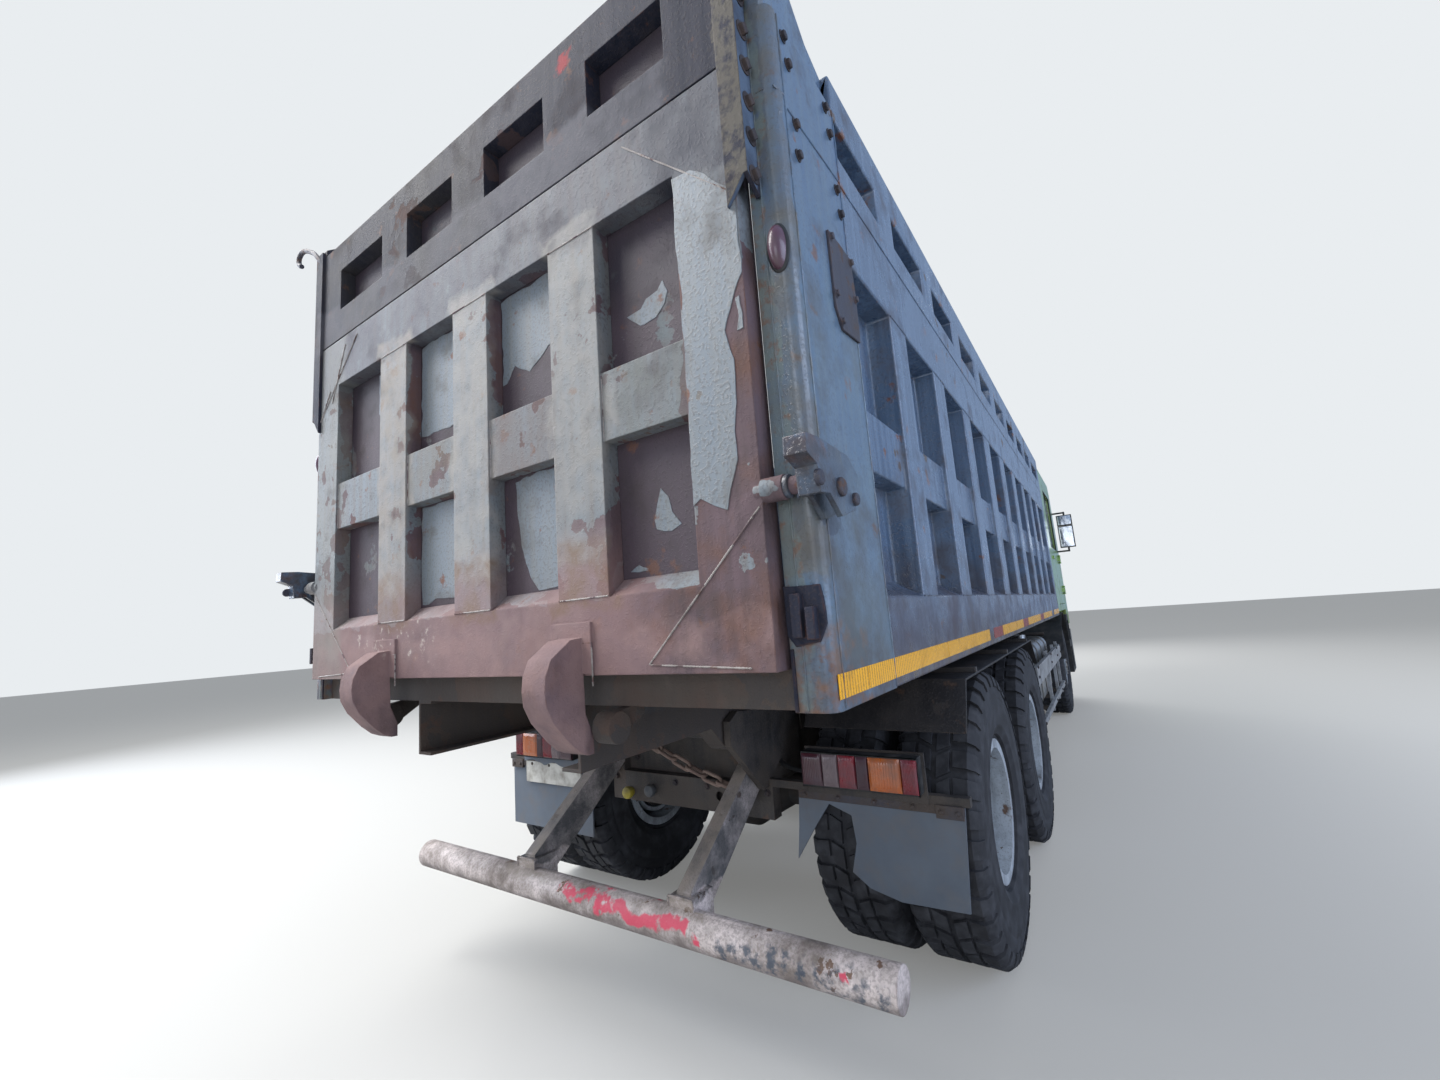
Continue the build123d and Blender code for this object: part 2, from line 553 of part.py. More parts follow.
def knuckle():
    """Left steering knuckle: a fork round the axle's eye, the kingpin and the wheel spindle."""
    eye_low, eye_high, web = TYRE_R - 80, TYRE_R + 80, KINGPIN_Y + 60 + CLEAR
    arms = [box(FRONT_AXLE - 55, FRONT_AXLE + 55, KINGPIN_Y - 50, web + 30, z0, z0 + 50)
            for z0 in (eye_low - CLEAR - 50, eye_high + CLEAR)]
    back = box(FRONT_AXLE - 60, FRONT_AXLE + 60, web, web + 30, eye_low - CLEAR - 50, eye_high + CLEAR + 50)
    pin = z_rod(FRONT_AXLE, KINGPIN_Y, KINGPIN_R, eye_low - CLEAR - 55, eye_high + CLEAR + 55)
    spindle = y_rod(FRONT_AXLE, TYRE_R, FRONT_SPINDLE_R, web + 10, FRONT_WHEEL_Y + 128)
    return fuse(arms + [back, pin, spindle])


# Wheels

def tyre(x, y):
    """Plain tyre round a rim at y."""
    bead, half = RIM_W / 2 - FIT, TYRE_W / 2
    side = [(RIM_R + FIT, bead), (RIM_FLANGE_R + 1, bead), (RIM_FLANGE_R + 20, half - 20),
            (RIM_FLANGE_R + 100, half), (TYRE_R - 82, half - 2), (TYRE_R - 22, half - 12),
            (TYRE_R, half - 36)]
    outline = [(r, y + w) for r, w in side] + [(r, y - w) for r, w in reversed(side)]
    return turned(outline, x, TYRE_R)


def ring(x, r0, r1, y0, y1):
    """Turned ring about an axle at x."""
    return turned([(r0, y0), (r1, y0), (r1, y1), (r0, y1)], x, TYRE_R)


def rim_barrel(x, y0, y1):
    """Rim well with a flange at each end; the flanges lie outside y0 and y1."""
    lip = 10.0
    return [ring(x, RIM_R - RIM_WALL, RIM_R, y0, y1), ring(x, RIM_R - RIM_WALL, RIM_FLANGE_R, y0 - lip, y0),
            ring(x, RIM_R - RIM_WALL, RIM_FLANGE_R, y1, y1 + lip)]


def disc(x, y, thickness, hub_r):
    """Wheel disc with hand holes."""
    plate = ring(x, hub_r, RIM_R - RIM_WALL / 2, y, y + thickness)
    for i in range(10):
        turn = 2 * math.pi * i / 10
        plate -= y_rod(x + 190 * math.cos(turn), TYRE_R + 190 * math.sin(turn), 26, y - 5, y + thickness + 5)
    return plate


def front_rim():
    """Left front rim with its disc, hub, cap and brake drum."""
    y, bore = FRONT_WHEEL_Y, FRONT_SPINDLE_R + BORE_PLAY
    web = KINGPIN_Y + 60 + CLEAR + 30
    parts = rim_barrel(FRONT_AXLE, y - RIM_W / 2, y + RIM_W / 2)
    parts += [disc(FRONT_AXLE, y + 42, 12, 85), ring(FRONT_AXLE, bore, 95, web + CLEAR, y + 130)]
    parts += [ring(FRONT_AXLE, 0, 95, y + 130, y + 150), ring(FRONT_AXLE, 185, 205, y - 70, y + 42)]
    parts += [ring(FRONT_AXLE, 90, 205, web + CLEAR, y + 42)]
    return fuse(parts)


def rear_rims(x):
    """Left pair of rims back to back on one hub with its brake drum."""
    bore, middle = REAR_SPINDLE_R + BORE_PLAY, DUAL_MIDDLE_Y
    parts = rim_barrel(x, DUAL_OUTER_Y - RIM_W / 2, DUAL_OUTER_Y + RIM_W / 2)
    parts += rim_barrel(x, DUAL_INNER_Y - RIM_W / 2, DUAL_INNER_Y + RIM_W / 2)
    parts += [ring(x, RIM_R - RIM_WALL, RIM_R, DUAL_INNER_Y, DUAL_OUTER_Y), disc(x, middle - 12, 24, 125)]
    parts += [ring(x, bore, 130, HUB_INNER_Y, DUAL_OUTER_Y + 40),
              ring(x, 0, 110, DUAL_OUTER_Y + 40, DUAL_OUTER_Y + 60)]
    parts += [ring(x, 190, 210, 660, middle - 12), ring(x, 125, 210, middle - 24, middle - 12)]
    return fuse(parts)


# Front end

def front_bumper():
    """Deep bumper with wings, lamp pockets and a tow recess, on brackets from the rails."""
    wing, middle, rear = HEADLAMP[0] - 40, BUMPER_FRONT - BUMPER_DEPTH, CAB_NOSE_X + 60
    outline = [(rear, -CAB_HALF), (BUMPER_FRONT - 110, -CAB_HALF), (BUMPER_FRONT, -CAB_HALF + 180),
               (BUMPER_FRONT, CAB_HALF - 180), (BUMPER_FRONT - 110, CAB_HALF), (rear, CAB_HALF),
               (rear, wing), (middle, wing), (middle, -wing), (rear, -wing)]
    shell = Pos(0, 0, BUMPER_BOTTOM) * extrude(make_face(Polyline(*outline, close=True)),
                                               BUMPER_TOP - BUMPER_BOTTOM)
    for s in (-1, 1):
        y0, y1 = sorted((s * (wing + 12), s * (CAB_HALF - 12)))
        shell -= box(rear - 5, middle, y0, y1, BUMPER_BOTTOM - 5, BUMPER_TOP - 12)
    for lamp in headlamp_blocks():
        shell -= lamp
    arms = [box(FRAME_FRONT, middle, s * 385 - 40, s * 385 + 40, RAIL_BOTTOM, BUMPER_TOP) for s in (-1, 1)]
    shell = fuse([shell] + arms)
    mouth = BUMPER_BOTTOM + 120
    return [shell - box(BUMPER_FRONT - 90, BUMPER_FRONT + 5, -70, 70, mouth, mouth + 110)]


def headlamp_blocks():
    """Lamp bodies that fill their pockets in the bumper."""
    y0, y1, z0, z1 = HEADLAMP
    outline = [(BUMPER_FRONT - 160, y0), (BUMPER_FRONT - 2, y0), (BUMPER_FRONT - 2, CAB_HALF - 182),
               (BUMPER_FRONT - 46, y1), (BUMPER_FRONT - 160, y1)]
    lamp = Pos(0, 0, z0) * extrude(make_face(Polyline(*outline, close=True)), z1 - z0)
    return pair(lamp)


def step_guards():
    """Mudguard arch over each front wheel, joined to the entry steps ahead of it."""
    y0, y1 = FRONT_WHEEL_Y - 230, CAB_HALF + 10
    arch = Pos(FRONT_AXLE, 0, TYRE_R) * Rot(90, 0, 0) * Cylinder(ARCH_R + ARCH_SHEET, y1 - y0)
    arch -= Pos(FRONT_AXLE, 0, TYRE_R) * Rot(90, 0, 0) * Cylinder(ARCH_R, y1 - y0 + 10)
    arch = Pos(0, (y0 + y1) / 2, 0) * arch
    arch -= box(FRONT_AXLE - 1000, FRONT_AXLE + 1000, y0 - 5, y1 + 5, TYRE_R - 800, TYRE_R + 150)
    front = FRONT_AXLE + ARCH_R * 0.97
    nose = CAB_NOSE_X - CLEAR
    low, high = CAB_FLOOR - 830, CAB_FLOOR - 70
    riser = box(front, nose, y0 + 60, y1, low, high)
    riser -= box(front - 5, nose - 12, y0 + 50, y1 - 150, low + 10, high - 12)
    for z in (low + 60, low + 410):
        riser -= box(front + 40, nose - 34, y1 - 140, y1 + 5, z, z + 270)
    return pair(fuse([arch, riser]))


def exhaust():
    """Silencer box on the left behind the front wheel with its outlet pipe."""
    rear, front, outer = FRONT_AXLE - 1245, FRONT_AXLE - 765, RAIL_OUTER_Y + 520
    silencer = box(rear, front, RAIL_OUTER_Y + 20, outer, RAIL_BOTTOM - 200, RAIL_BOTTOM + 210)
    silencer = fillet(silencer.edges().filter_by(Axis.X), 60)
    mount = box(rear + 120, front - 120, RAIL_OUTER_Y, RAIL_OUTER_Y + 30, RAIL_BOTTOM + 40, RAIL_BOTTOM + 180)
    outlet = y_rod((rear + front) / 2, RAIL_BOTTOM - 120, 60, outer - 20, outer + 130)
    return [fuse([silencer, mount, outlet])]


def chain_points():
    """Places where the chain's links meet, from its left end to its right end."""
    points = []
    for i in range(CHAIN_LINKS + 1):
        along = i / CHAIN_LINKS
        y = CHAIN_LEFT[0] + (CHAIN_RIGHT[0] - CHAIN_LEFT[0]) * along
        z = CHAIN_LEFT[1] + (CHAIN_RIGHT[1] - CHAIN_LEFT[1]) * along - CHAIN_SAG * math.sin(math.pi * along)
        points.append(Vector(CHAIN_X, y, z))
    return points


def chain_pins():
    """Pins on the frame's closing plate that hold the chain's end links."""
    points, radius = chain_points(), CHAIN_WIDTH / 2 - CHAIN_WIRE - FIT
    first, last = (points[1] - points[0]).normalized(), (points[-2] - points[-1]).normalized()
    ends = (points[0] + first * (radius + FIT), points[-1] + last * (radius + FIT))
    backs = (FRAME_REAR, FRAME_REAR - TOW_BEAM_DEPTH)
    return [x_rod(end.Y, end.Z, radius, CHAIN_X - CHAIN_WIRE, back) for end, back in zip(ends, backs)]


def tow_chain():
    """Short chain hung across the rear of the frame, its links turned by quarter turns."""
    points, links = chain_points(), []
    for i, (start, end) in enumerate(zip(points, points[1:])):
        step = end - start
        across = step.cross(Vector(1, 0, 0)) if i % 2 else Vector(1, 0, 0)
        length = step.length + 2 * CHAIN_WIRE + FIT
        hole = SlotOverall(length - 2 * CHAIN_WIRE, CHAIN_WIDTH - 2 * CHAIN_WIRE)
        link = Pos(0, 0, -CHAIN_WIRE / 2) * extrude(SlotOverall(length, CHAIN_WIDTH) - hole, CHAIN_WIRE)
        links.append(Plane((start + end) * 0.5, x_dir=step, z_dir=across) * link)
    return links


# Cab

def cab_outline(inset=0.0):
    """Side view of the cab, drawn in by a wall thickness."""
    points = [(CAB_REAR, CAB_FLOOR), (CAB_NOSE_X, CAB_FLOOR), (CAB_NOSE_X, CAB_NOSE_BOTTOM),
              (CAB_FRONT, CAB_NOSE_BOTTOM), (CAB_FRONT, SCREEN_BOTTOM - 80), (CAB_FRONT - 190, CAB_ROOF - 130),
              (CAB_FRONT - 330, CAB_ROOF), (CAB_REAR + 120, CAB_ROOF), (CAB_REAR, CAB_ROOF - 90)]
    face = make_face(Polyline(*points, close=True))
    return offset(face, -inset, kind=Kind.INTERSECTION) if inset else face


def cab_block(inset, half):
    """The cab's outline carried across the width."""
    plane = Plane((0, half, 0), x_dir=(1, 0, 0), z_dir=(0, -1, 0))
    return extrude(plane * cab_outline(inset), 2 * half)


def door_outline(gap=0.0):
    """Side view of a door, drawn in all round by a gap."""
    return [(DOOR_REAR + gap, DOOR_BOTTOM + gap), (DOOR_FRONT - gap, DOOR_BOTTOM + gap),
            (DOOR_FRONT - gap, DOOR_SILL), (DOOR_FRONT - gap - 90, DOOR_TOP - gap),
            (DOOR_REAR + gap, DOOR_TOP - gap)]


def window_outline(gap=0.0):
    """Side window inside the door's upper frame."""
    rear, front = DOOR_REAR + CLEAR + DOOR_FRAME, DOOR_FRONT - CLEAR - DOOR_FRAME
    top = DOOR_TOP - CLEAR - DOOR_FRAME
    return [(rear + gap, DOOR_SILL + gap), (front - gap, DOOR_SILL + gap), (front - gap - 80, top - gap),
            (rear + gap, top - gap)]


def screen_cutter(gap=0.0):
    """Block through the windscreen's opening."""
    half = CAB_HALF - 110 - gap
    return box(CAB_FRONT - 400, CAB_FRONT + 50, -half, half, SCREEN_BOTTOM + gap, SCREEN_TOP - gap)


def rear_window_cutter(gap=0.0):
    """Block through the rear window's opening."""
    half, low, high = REAR_WINDOW
    return box(CAB_REAR - 50, CAB_REAR + CAB_WALL + 50, gap - half, half - gap, low + gap, high - gap)


def cab_seams():
    """Thin slabs that part the cab's sides, roof, walls, floor and engine cover."""
    side, x0, x1 = CAB_HALF - CAB_WALL, CAB_REAR - 50, CAB_FRONT + 50
    levels = (CAB_FLOOR + CAB_WALL, CAB_ROOF - 90)
    seams = pair(box(x0, x1, side - FIT, side, CAB_NOSE_BOTTOM - 50, CAB_ROOF + 50))
    return seams + [box(x0, x1, -side, side, z, z + FIT) for z in levels]


def cab_shell():
    """Hollow cab of seamed panels with door, screen and rear window openings and the engine cover."""
    shell = cab_block(0, CAB_HALF) - cab_block(CAB_WALL, CAB_HALF - CAB_WALL)
    shell -= side_plate(door_outline(), -CAB_HALF - 20, CAB_HALF + 20)
    shell -= screen_cutter()
    shell -= rear_window_cutter()
    x0, x1, half, top = TUNNEL
    shell -= box(x0, x1, -half, half, CAB_FLOOR - 5, top)
    tunnel = box(x0 - 20, x1 + 20, -half - 20, half + 20, CAB_FLOOR, top + 20)
    tunnel -= box(x0, x1, -half, half, CAB_FLOOR - 5, top)
    whole = fuse([shell, tunnel] + pair(cab_lug()) + pair(door_hinge_pins()))
    for seam in cab_seams():
        whole -= seam
    return [whole]


def cab_lug():
    """Left lug under the nose that turns on the cab's tilt pin."""
    y0, y1 = RAIL_INNER_Y - 50, RAIL_INNER_Y
    lug = side_plate([(CAB_TILT_X - 70, CAB_NOSE_BOTTOM + 5), (CAB_TILT_X - 28, CAB_TILT_Z - 20),
                      (CAB_TILT_X + 28, CAB_TILT_Z - 20), (CAB_TILT_X + 40, CAB_NOSE_BOTTOM + 5)], y0, y1)
    lug += y_rod(CAB_TILT_X, CAB_TILT_Z, 32, y0, y1)
    return lug - y_rod(CAB_TILT_X, CAB_TILT_Z, CAB_PIN_R + BORE_PLAY, y0 - 5, y1 + 5)


def door_hinge_pins():
    """Left door's hinge pins with the barrels above and below each of the door's own."""
    parts = []
    for z in DOOR_HINGE_Z:
        parts.append(z_rod(DOOR_HINGE_X, DOOR_HINGE_Y, DOOR_PIN_R, z - 60, z + 60))
        for low in (z - 60, z + 35):
            parts.append(z_rod(DOOR_HINGE_X, DOOR_HINGE_Y, DOOR_BARREL_R, low, low + 25))
            parts.append(box(DOOR_HINGE_X, DOOR_HINGE_X + 40, CAB_HALF, DOOR_HINGE_Y + DOOR_BARREL_R, low,
                             low + 25))
    return fuse(parts)


def door_hinge_barrels():
    """Left door's own hinge barrels on their arms."""
    parts, outer = [], DOOR_HINGE_Y + DOOR_BARREL_R
    for z in DOOR_HINGE_Z:
        barrel = z_rod(DOOR_HINGE_X, DOOR_HINGE_Y, DOOR_BARREL_R, z - 30, z + 30)
        barrel += box(DOOR_HINGE_X - 60, DOOR_FRONT - CLEAR, CAB_HALF, outer, z - 30, z + 30)
        barrel += box(DOOR_FRONT - CLEAR, DOOR_HINGE_X, CAB_HALF + CLEAR, outer, z - 30, z + 30)
        parts.append(barrel - z_rod(DOOR_HINGE_X, DOOR_HINGE_Y, DOOR_PIN_R + BORE_PLAY, z - 35, z + 35))
    return parts


def cab_glass():
    """Windscreen and rear window, let into their openings."""
    pane = cab_block(18, CAB_HALF - 18) - cab_block(18 + GLASS, CAB_HALF + 20)
    screen = pane & screen_cutter(FIT)
    rear = pane & rear_window_cutter(FIT)
    return [screen, rear]


def door():
    """Left door: a panel as thick as the wall with its window opening, pull handle and hinge barrels."""
    panel = side_plate(door_outline(CLEAR), CAB_HALF - CAB_WALL, CAB_HALF)
    panel -= side_plate(window_outline(), CAB_HALF - CAB_WALL - 5, CAB_HALF + 5)
    handle = box(DOOR_REAR + 60, DOOR_REAR + 220, CAB_HALF, CAB_HALF + 18, DOOR_SILL - 160, DOOR_SILL - 120)
    return fuse([panel, handle] + door_hinge_barrels())


def door_glass():
    """Left side window."""
    return side_plate(window_outline(FIT), CAB_HALF - 27, CAB_HALF - 27 + GLASS)


def grille():
    """Front panel with slats between its frame, on the cab's nose."""
    z0, z1, half = CAB_NOSE_BOTTOM + 120, SCREEN_BOTTOM - 260, GRILLE_HALF
    frame = box(CAB_FRONT, CAB_FRONT + 30, -half, half, z0, z1)
    frame -= box(CAB_FRONT + 12, CAB_FRONT + 35, -half + 40, half - 40, z0 + 40, z1 - 40)
    count = 5
    pitch = (z1 - z0 - 80) / count
    slats = [box(CAB_FRONT + 8, CAB_FRONT + 26, -half + 20, half - 20, z0 + 40 + pitch * (i + 0.35),
                 z0 + 40 + pitch * (i + 0.65)) for i in range(count)]
    return [fuse([frame] + slats)]


def cab_interior():
    """Two seats on the floor."""
    floor, x, y0, y1 = CAB_FLOOR + CAB_WALL, CAB_REAR + 530, CAB_HALF - 700, CAB_HALF - 200
    base = box(x - 230, x + 250, y0, y1, floor, floor + 300)
    cushion = box(x - 240, x + 270, y0 - 10, y1 + 10, floor + 300, floor + 430)
    back = side_plate([(x - 240, floor + 430), (x - 120, floor + 430), (x - 250, floor + 1080),
                       (x - 350, floor + 1080)], y0, y1)
    return pair(fuse([base, cushion, back]))


def dashboard():
    """Dashboard across the cab with the steering column and wheel on the left."""
    back = CAB_FRONT - CAB_WALL
    outline = [(0, 250), (0, 650), (-130, 670), (-330, 590), (-300, 310)]
    board = side_plate([(back + x, CAB_FLOOR + z) for x, z in outline], -CAB_HALF + CAB_WALL + CLEAR,
                       CAB_HALF - CAB_WALL - CLEAR)
    lean = Pos(back - 380, CAB_HALF - 450, CAB_FLOOR + 580) * Rot(0, -35, 0)
    column = lean * Cylinder(35, 420)
    wheel = lean * Pos(0, 0, 190) * Torus(230, 16)
    spokes = [lean * Pos(0, 0, 190) * Rot(0, 0, a) * Box(450, 34, 18) for a in (0, 90)]
    return [fuse([board, column, wheel] + spokes)]


def mirrors():
    """Two-part mirror heads on tube arms from the cab's front corners."""
    x, low, high, tube_y = DOOR_FRONT + 130, DOOR_SILL, DOOR_SILL + 560, MIRROR_OUT - 90
    arm = fuse([y_rod(x, z, 12, CAB_HALF, tube_y) for z in (low, high)])
    arm += z_rod(x, tube_y, 12, low - 12, high + 12)
    heads = [box(x - 45, x + 35, MIRROR_OUT - 190, MIRROR_OUT, low + z0, low + z1)
             for z0, z1 in ((50, 360), (370, 520))]
    return pair(fuse([arm] + heads))


# Load body

def rib_stations():
    """Middles of the side ribs."""
    return [RIB_FIRST + RIB_PITCH * i for i in range(RIB_COUNT)]


def bed_floor():
    """Floor plate, cross bearers, the two long rails, tipping lugs, hoist ears and claw bosses."""
    half, rear = BODY_HALF - RIB_DEPTH - WALL_PLATE, GATE_REAR + GATE_RIB_DEPTH + WALL_PLATE + 12
    front = BODY_LENGTH - HEADBOARD_DEPTH
    parts = [box(rear, front, -half, half, FLOOR_TOP - WALL_PLATE, FLOOR_TOP)]
    for x in [rear + BEARER_WIDTH / 2] + rib_stations():
        parts.append(box(x - BEARER_WIDTH / 2, x + BEARER_WIDTH / 2, -half, half, WALL_BOTTOM,
                         FLOOR_TOP - WALL_PLATE))
    parts.append(box(front - BEARER_WIDTH, front, -half, half, WALL_BOTTOM, FLOOR_TOP - WALL_PLATE))
    outer, inner = RAIL_OUTER_Y - CLEAR, RAIL_INNER_Y + 5
    wall = BED_RAIL_WALL
    channel = [(outer, BED_RAIL_BOTTOM), (outer, WALL_BOTTOM), (inner, WALL_BOTTOM),
               (inner, WALL_BOTTOM - wall), (outer - wall, WALL_BOTTOM - wall),
               (outer - wall, BED_RAIL_BOTTOM + wall), (inner, BED_RAIL_BOTTOM + wall),
               (inner, BED_RAIL_BOTTOM)]
    rail = cross_plate(channel, rear, front)
    lug = side_plate([(TIP_X - 170, BED_RAIL_BOTTOM + 40), (TIP_X - 60, TIP_Z - 40), (TIP_X + 60, TIP_Z - 40),
                      (TIP_X + 170, BED_RAIL_BOTTOM + 40)], inner, outer)
    lug += y_rod(TIP_X, TIP_Z, 70, inner, outer)
    bored = fuse([rail, lug]) - y_rod(TIP_X, TIP_Z, TIP_PIN_R + BORE_PLAY, inner - 5, outer + 5)
    parts += pair(bored)
    for y in (HOIST_Y - 52, HOIST_Y + 52):
        ear = side_plate([(HOIST_X - 70, WALL_BOTTOM), (HOIST_X - 36, HOIST_PIN_Z),
                          (HOIST_X + 36, HOIST_PIN_Z), (HOIST_X + 70, WALL_BOTTOM)], y - 8, y + 8)
        ear += y_rod(HOIST_X, HOIST_PIN_Z, 38, y - 8, y + 8)
        ear -= y_rod(HOIST_X, HOIST_PIN_Z, HOIST_PIN_R, y - 10, y + 10)
        parts += pair(ear)
    bed_cross = box(HOIST_X - 90, HOIST_X + 90, -outer, outer, WALL_BOTTOM, FLOOR_TOP - WALL_PLATE)
    parts.append(bed_cross)
    y = CLAW_Y + CLAW_WIDTH / 2 + CLEAR
    boss = y_rod(0, CLAW_BOSS_Z, 42, y, y + 62)
    arm = side_plate([(0, CLAW_BOSS_Z + 40), (rear + 60, WALL_BOTTOM), (rear + 80, WALL_BOTTOM),
                      (rear + 80, WALL_BOTTOM - 30), (12, CLAW_BOSS_Z - 40)], y + 20, y + 50)
    parts += pair(fuse([boss, arm]))
    return [fuse(parts)]


def side_wall():
    """Left side wall: inner plate, sill, top rail, ribs, mid blocks and the front post."""
    plate_in, plate_out = BODY_HALF - RIB_DEPTH - WALL_PLATE, BODY_HALF - RIB_DEPTH
    x0, x1 = POST_LENGTH, BODY_LENGTH
    parts = [box(x0, x1, plate_in, plate_out, WALL_BOTTOM, MAIN_RAIL_TOP),
             box(x0, x1, plate_out, BODY_HALF, WALL_BOTTOM, WALL_RAIL_TOP),
             box(x0, x1, plate_out, BODY_HALF, MAIN_RAIL_BOTTOM, MAIN_RAIL_TOP),
             box(x1 - FRONT_POST, x1, plate_out, BODY_HALF, WALL_BOTTOM, MAIN_RAIL_TOP)]
    for x in rib_stations():
        parts.append(box(x - RIB_WIDTH / 2, x + RIB_WIDTH / 2, plate_out, BODY_HALF, WALL_BOTTOM,
                         MAIN_RAIL_TOP))
    parts.append(box(x0, x1, plate_out, BODY_HALF - MID_BLOCK_SET_BACK, *MID_BLOCK))
    return fuse(parts)


def side_extensions():
    """Windowed extension rail bolted on top of each side wall."""
    plate_in, plate_out = BODY_HALF - RIB_DEPTH - WALL_PLATE, BODY_HALF - RIB_DEPTH
    x0, x1 = POST_LENGTH, BODY_LENGTH
    parts = [box(x0, x1, plate_in, plate_out, MAIN_RAIL_TOP, SIDE_TOP),
             box(x0, x1, plate_out, BODY_HALF, MAIN_RAIL_TOP, EXT_SILL_TOP),
             box(x0, x1, plate_out, BODY_HALF, EXT_WINDOW_TOP, SIDE_TOP),
             box(x1 - FRONT_POST, x1, plate_out, BODY_HALF, EXT_SILL_TOP, EXT_WINDOW_TOP)]
    for x in rib_stations():
        parts.append(box(x - RIB_WIDTH / 2, x + RIB_WIDTH / 2, plate_out, BODY_HALF, EXT_SILL_TOP,
                         EXT_WINDOW_TOP))
    return pair(fuse(parts))


def headboard():
    """Front wall with upright ribs between a sill and a top rail."""
    half, x0, plate = BODY_HALF - RIB_DEPTH - WALL_PLATE, BODY_LENGTH - HEADBOARD_DEPTH, WALL_PLATE
    parts = [box(x0, x0 + plate, -half, half, WALL_BOTTOM, SIDE_TOP),
             box(x0 + plate, BODY_LENGTH, -half, half, WALL_BOTTOM, WALL_BOTTOM + 180),
             box(x0 + plate, BODY_LENGTH, -half, half, SIDE_TOP - 140, SIDE_TOP)]
    for i in range(5):
        y = -half + 90 + i * (2 * half - 180) / 4
        parts.append(box(x0 + plate, BODY_LENGTH, y - 60, y + 60, WALL_BOTTOM, SIDE_TOP))
    return [fuse(parts)]


def rounded_corner(block, radius):
    """The block with its rear outer upright edge rounded."""
    return fillet(block.edges().filter_by(Axis.Z).group_by(Axis.X)[0].sort_by(Axis.Y)[-1], radius)


def latch_lever():
    """Left latch on the post's side: two beaked plates under one web, over the gate's stud."""
    outline = [(-140, 35), (-138, 74), (-75, 78), (80, 70), (132, 34), (98, -52), (14, -76), (-42, -34),
               (-88, -38), (-94, 18)]
    shape = [(LATCH_X + 36 + x, LATCH_Z + z) for x, z in outline]
    y0, y1 = BODY_HALF, BODY_HALF + 50
    hollow = [(LATCH_X - 30, LATCH_Z + 60), (LATCH_X + 200, LATCH_Z + 60), (LATCH_X + 200, LATCH_Z - 90),
              (LATCH_X - 30, LATCH_Z - 90)]
    return side_plate(shape, y0, y1) - side_plate(hollow, y0 + 12, y1 - 12)


def rear_post():
    """Left rear corner post, open below, with the ear that carries the tailgate's pin."""
    inner = GATE_HALF + 10
    post = rounded_corner(box(0, POST_LENGTH, inner, BODY_HALF, WALL_BOTTOM, POST_TOP), POST_CORNER)
    post -= rounded_corner(box(WALL_PLATE, POST_LENGTH - WALL_PLATE, inner + WALL_PLATE,
                               BODY_HALF - WALL_PLATE, WALL_BOTTOM - 5, POST_TOP - WALL_PLATE),
                           POST_CORNER - WALL_PLATE)
    ear = side_plate([(0, POST_TOP), (POST_LENGTH, POST_TOP), (POST_LENGTH, SIDE_TOP - 6),
                      (POST_LENGTH - 100, SIDE_TOP + 30), (POST_LENGTH - 185, SIDE_TOP + 104),
                      (GATE_HINGE_X + 60, GATE_HINGE_Z + 50), (GATE_HINGE_X - 50, GATE_HINGE_Z + 60),
                      (10, GATE_HINGE_Z - 40)], inner, inner + POST_EAR)
    pin = y_rod(GATE_HINGE_X, GATE_HINGE_Z, GATE_PIN_R, GATE_HALF - GATE_ARM - 10, inner + POST_EAR + 12)
    return fuse([post, ear, pin, latch_lever()])


# Tailgate

def gate_panel():
    """Plate that closes the body's rear."""
    x = GATE_REAR + GATE_RIB_DEPTH
    return [box(x, x + WALL_PLATE, -GATE_HALF, GATE_HALF, GATE_BOTTOM, GATE_TOP)]


def gate_frame():
    """Sill, stiles, three posts, mid pieces and top beam of the main gate, with its two claws."""
    x0, x1, half = GATE_REAR, GATE_REAR + GATE_RIB_DEPTH, GATE_HALF
    parts = [box(x0, x1, -half, half, GATE_BOTTOM, GATE_SILL_TOP),
             box(x0, x1, -half, half, GATE_BEAM_BOTTOM, GATE_SPLIT - 3),
             box(x0, x1, half - GATE_STILE, half, GATE_BOTTOM, GATE_SPLIT - 3),
             box(x0, x1, -half, GATE_STILE - half, GATE_BOTTOM, GATE_SPLIT - 3),
             box(x0 + 8, x1, -half, half, *GATE_MID)]
    for y in GATE_POSTS:
        parts.append(box(x0, x1, y - GATE_POST_WIDTH / 2, y + GATE_POST_WIDTH / 2, GATE_BOTTOM,
                         GATE_SPLIT - 3))
    return [fuse(parts + pair(claw()) + pair(latch_stud()))]


def latch_stud():
    """Left stud on the gate's edge that the side latch holds."""
    stud = y_rod(LATCH_X, LATCH_Z, 28, GATE_HALF, GATE_HALF + 55)
    return stud + y_rod(LATCH_X, LATCH_Z, 20, GATE_HALF - 20, BODY_HALF - 10)


def claw():
    """Left hook lug on its pad: it bulges behind the gate's sill and curls under the floor."""
    x, z, reach = GATE_REAR, GATE_BOTTOM, CLAW_REACH
    pad = box(x - 10, x, CLAW_Y - 78, CLAW_Y + 78, z + 5, z + 140)
    outline = [(-8, 100), (-48, 96), (22 - reach, 52), (4 - reach, 12), (-reach, -24), (4 - reach, -62),
               (26 - reach, -106), (-62, -160), (-28, -190), (0, -203), (20, -203), (20, -158), (-5, -98),
               (-8, 5)]
    hook = side_plate([(x + dx, z + dz) for dx, dz in outline], CLAW_Y - CLAW_WIDTH / 2,
                      CLAW_Y + CLAW_WIDTH / 2)
    return pad + hook


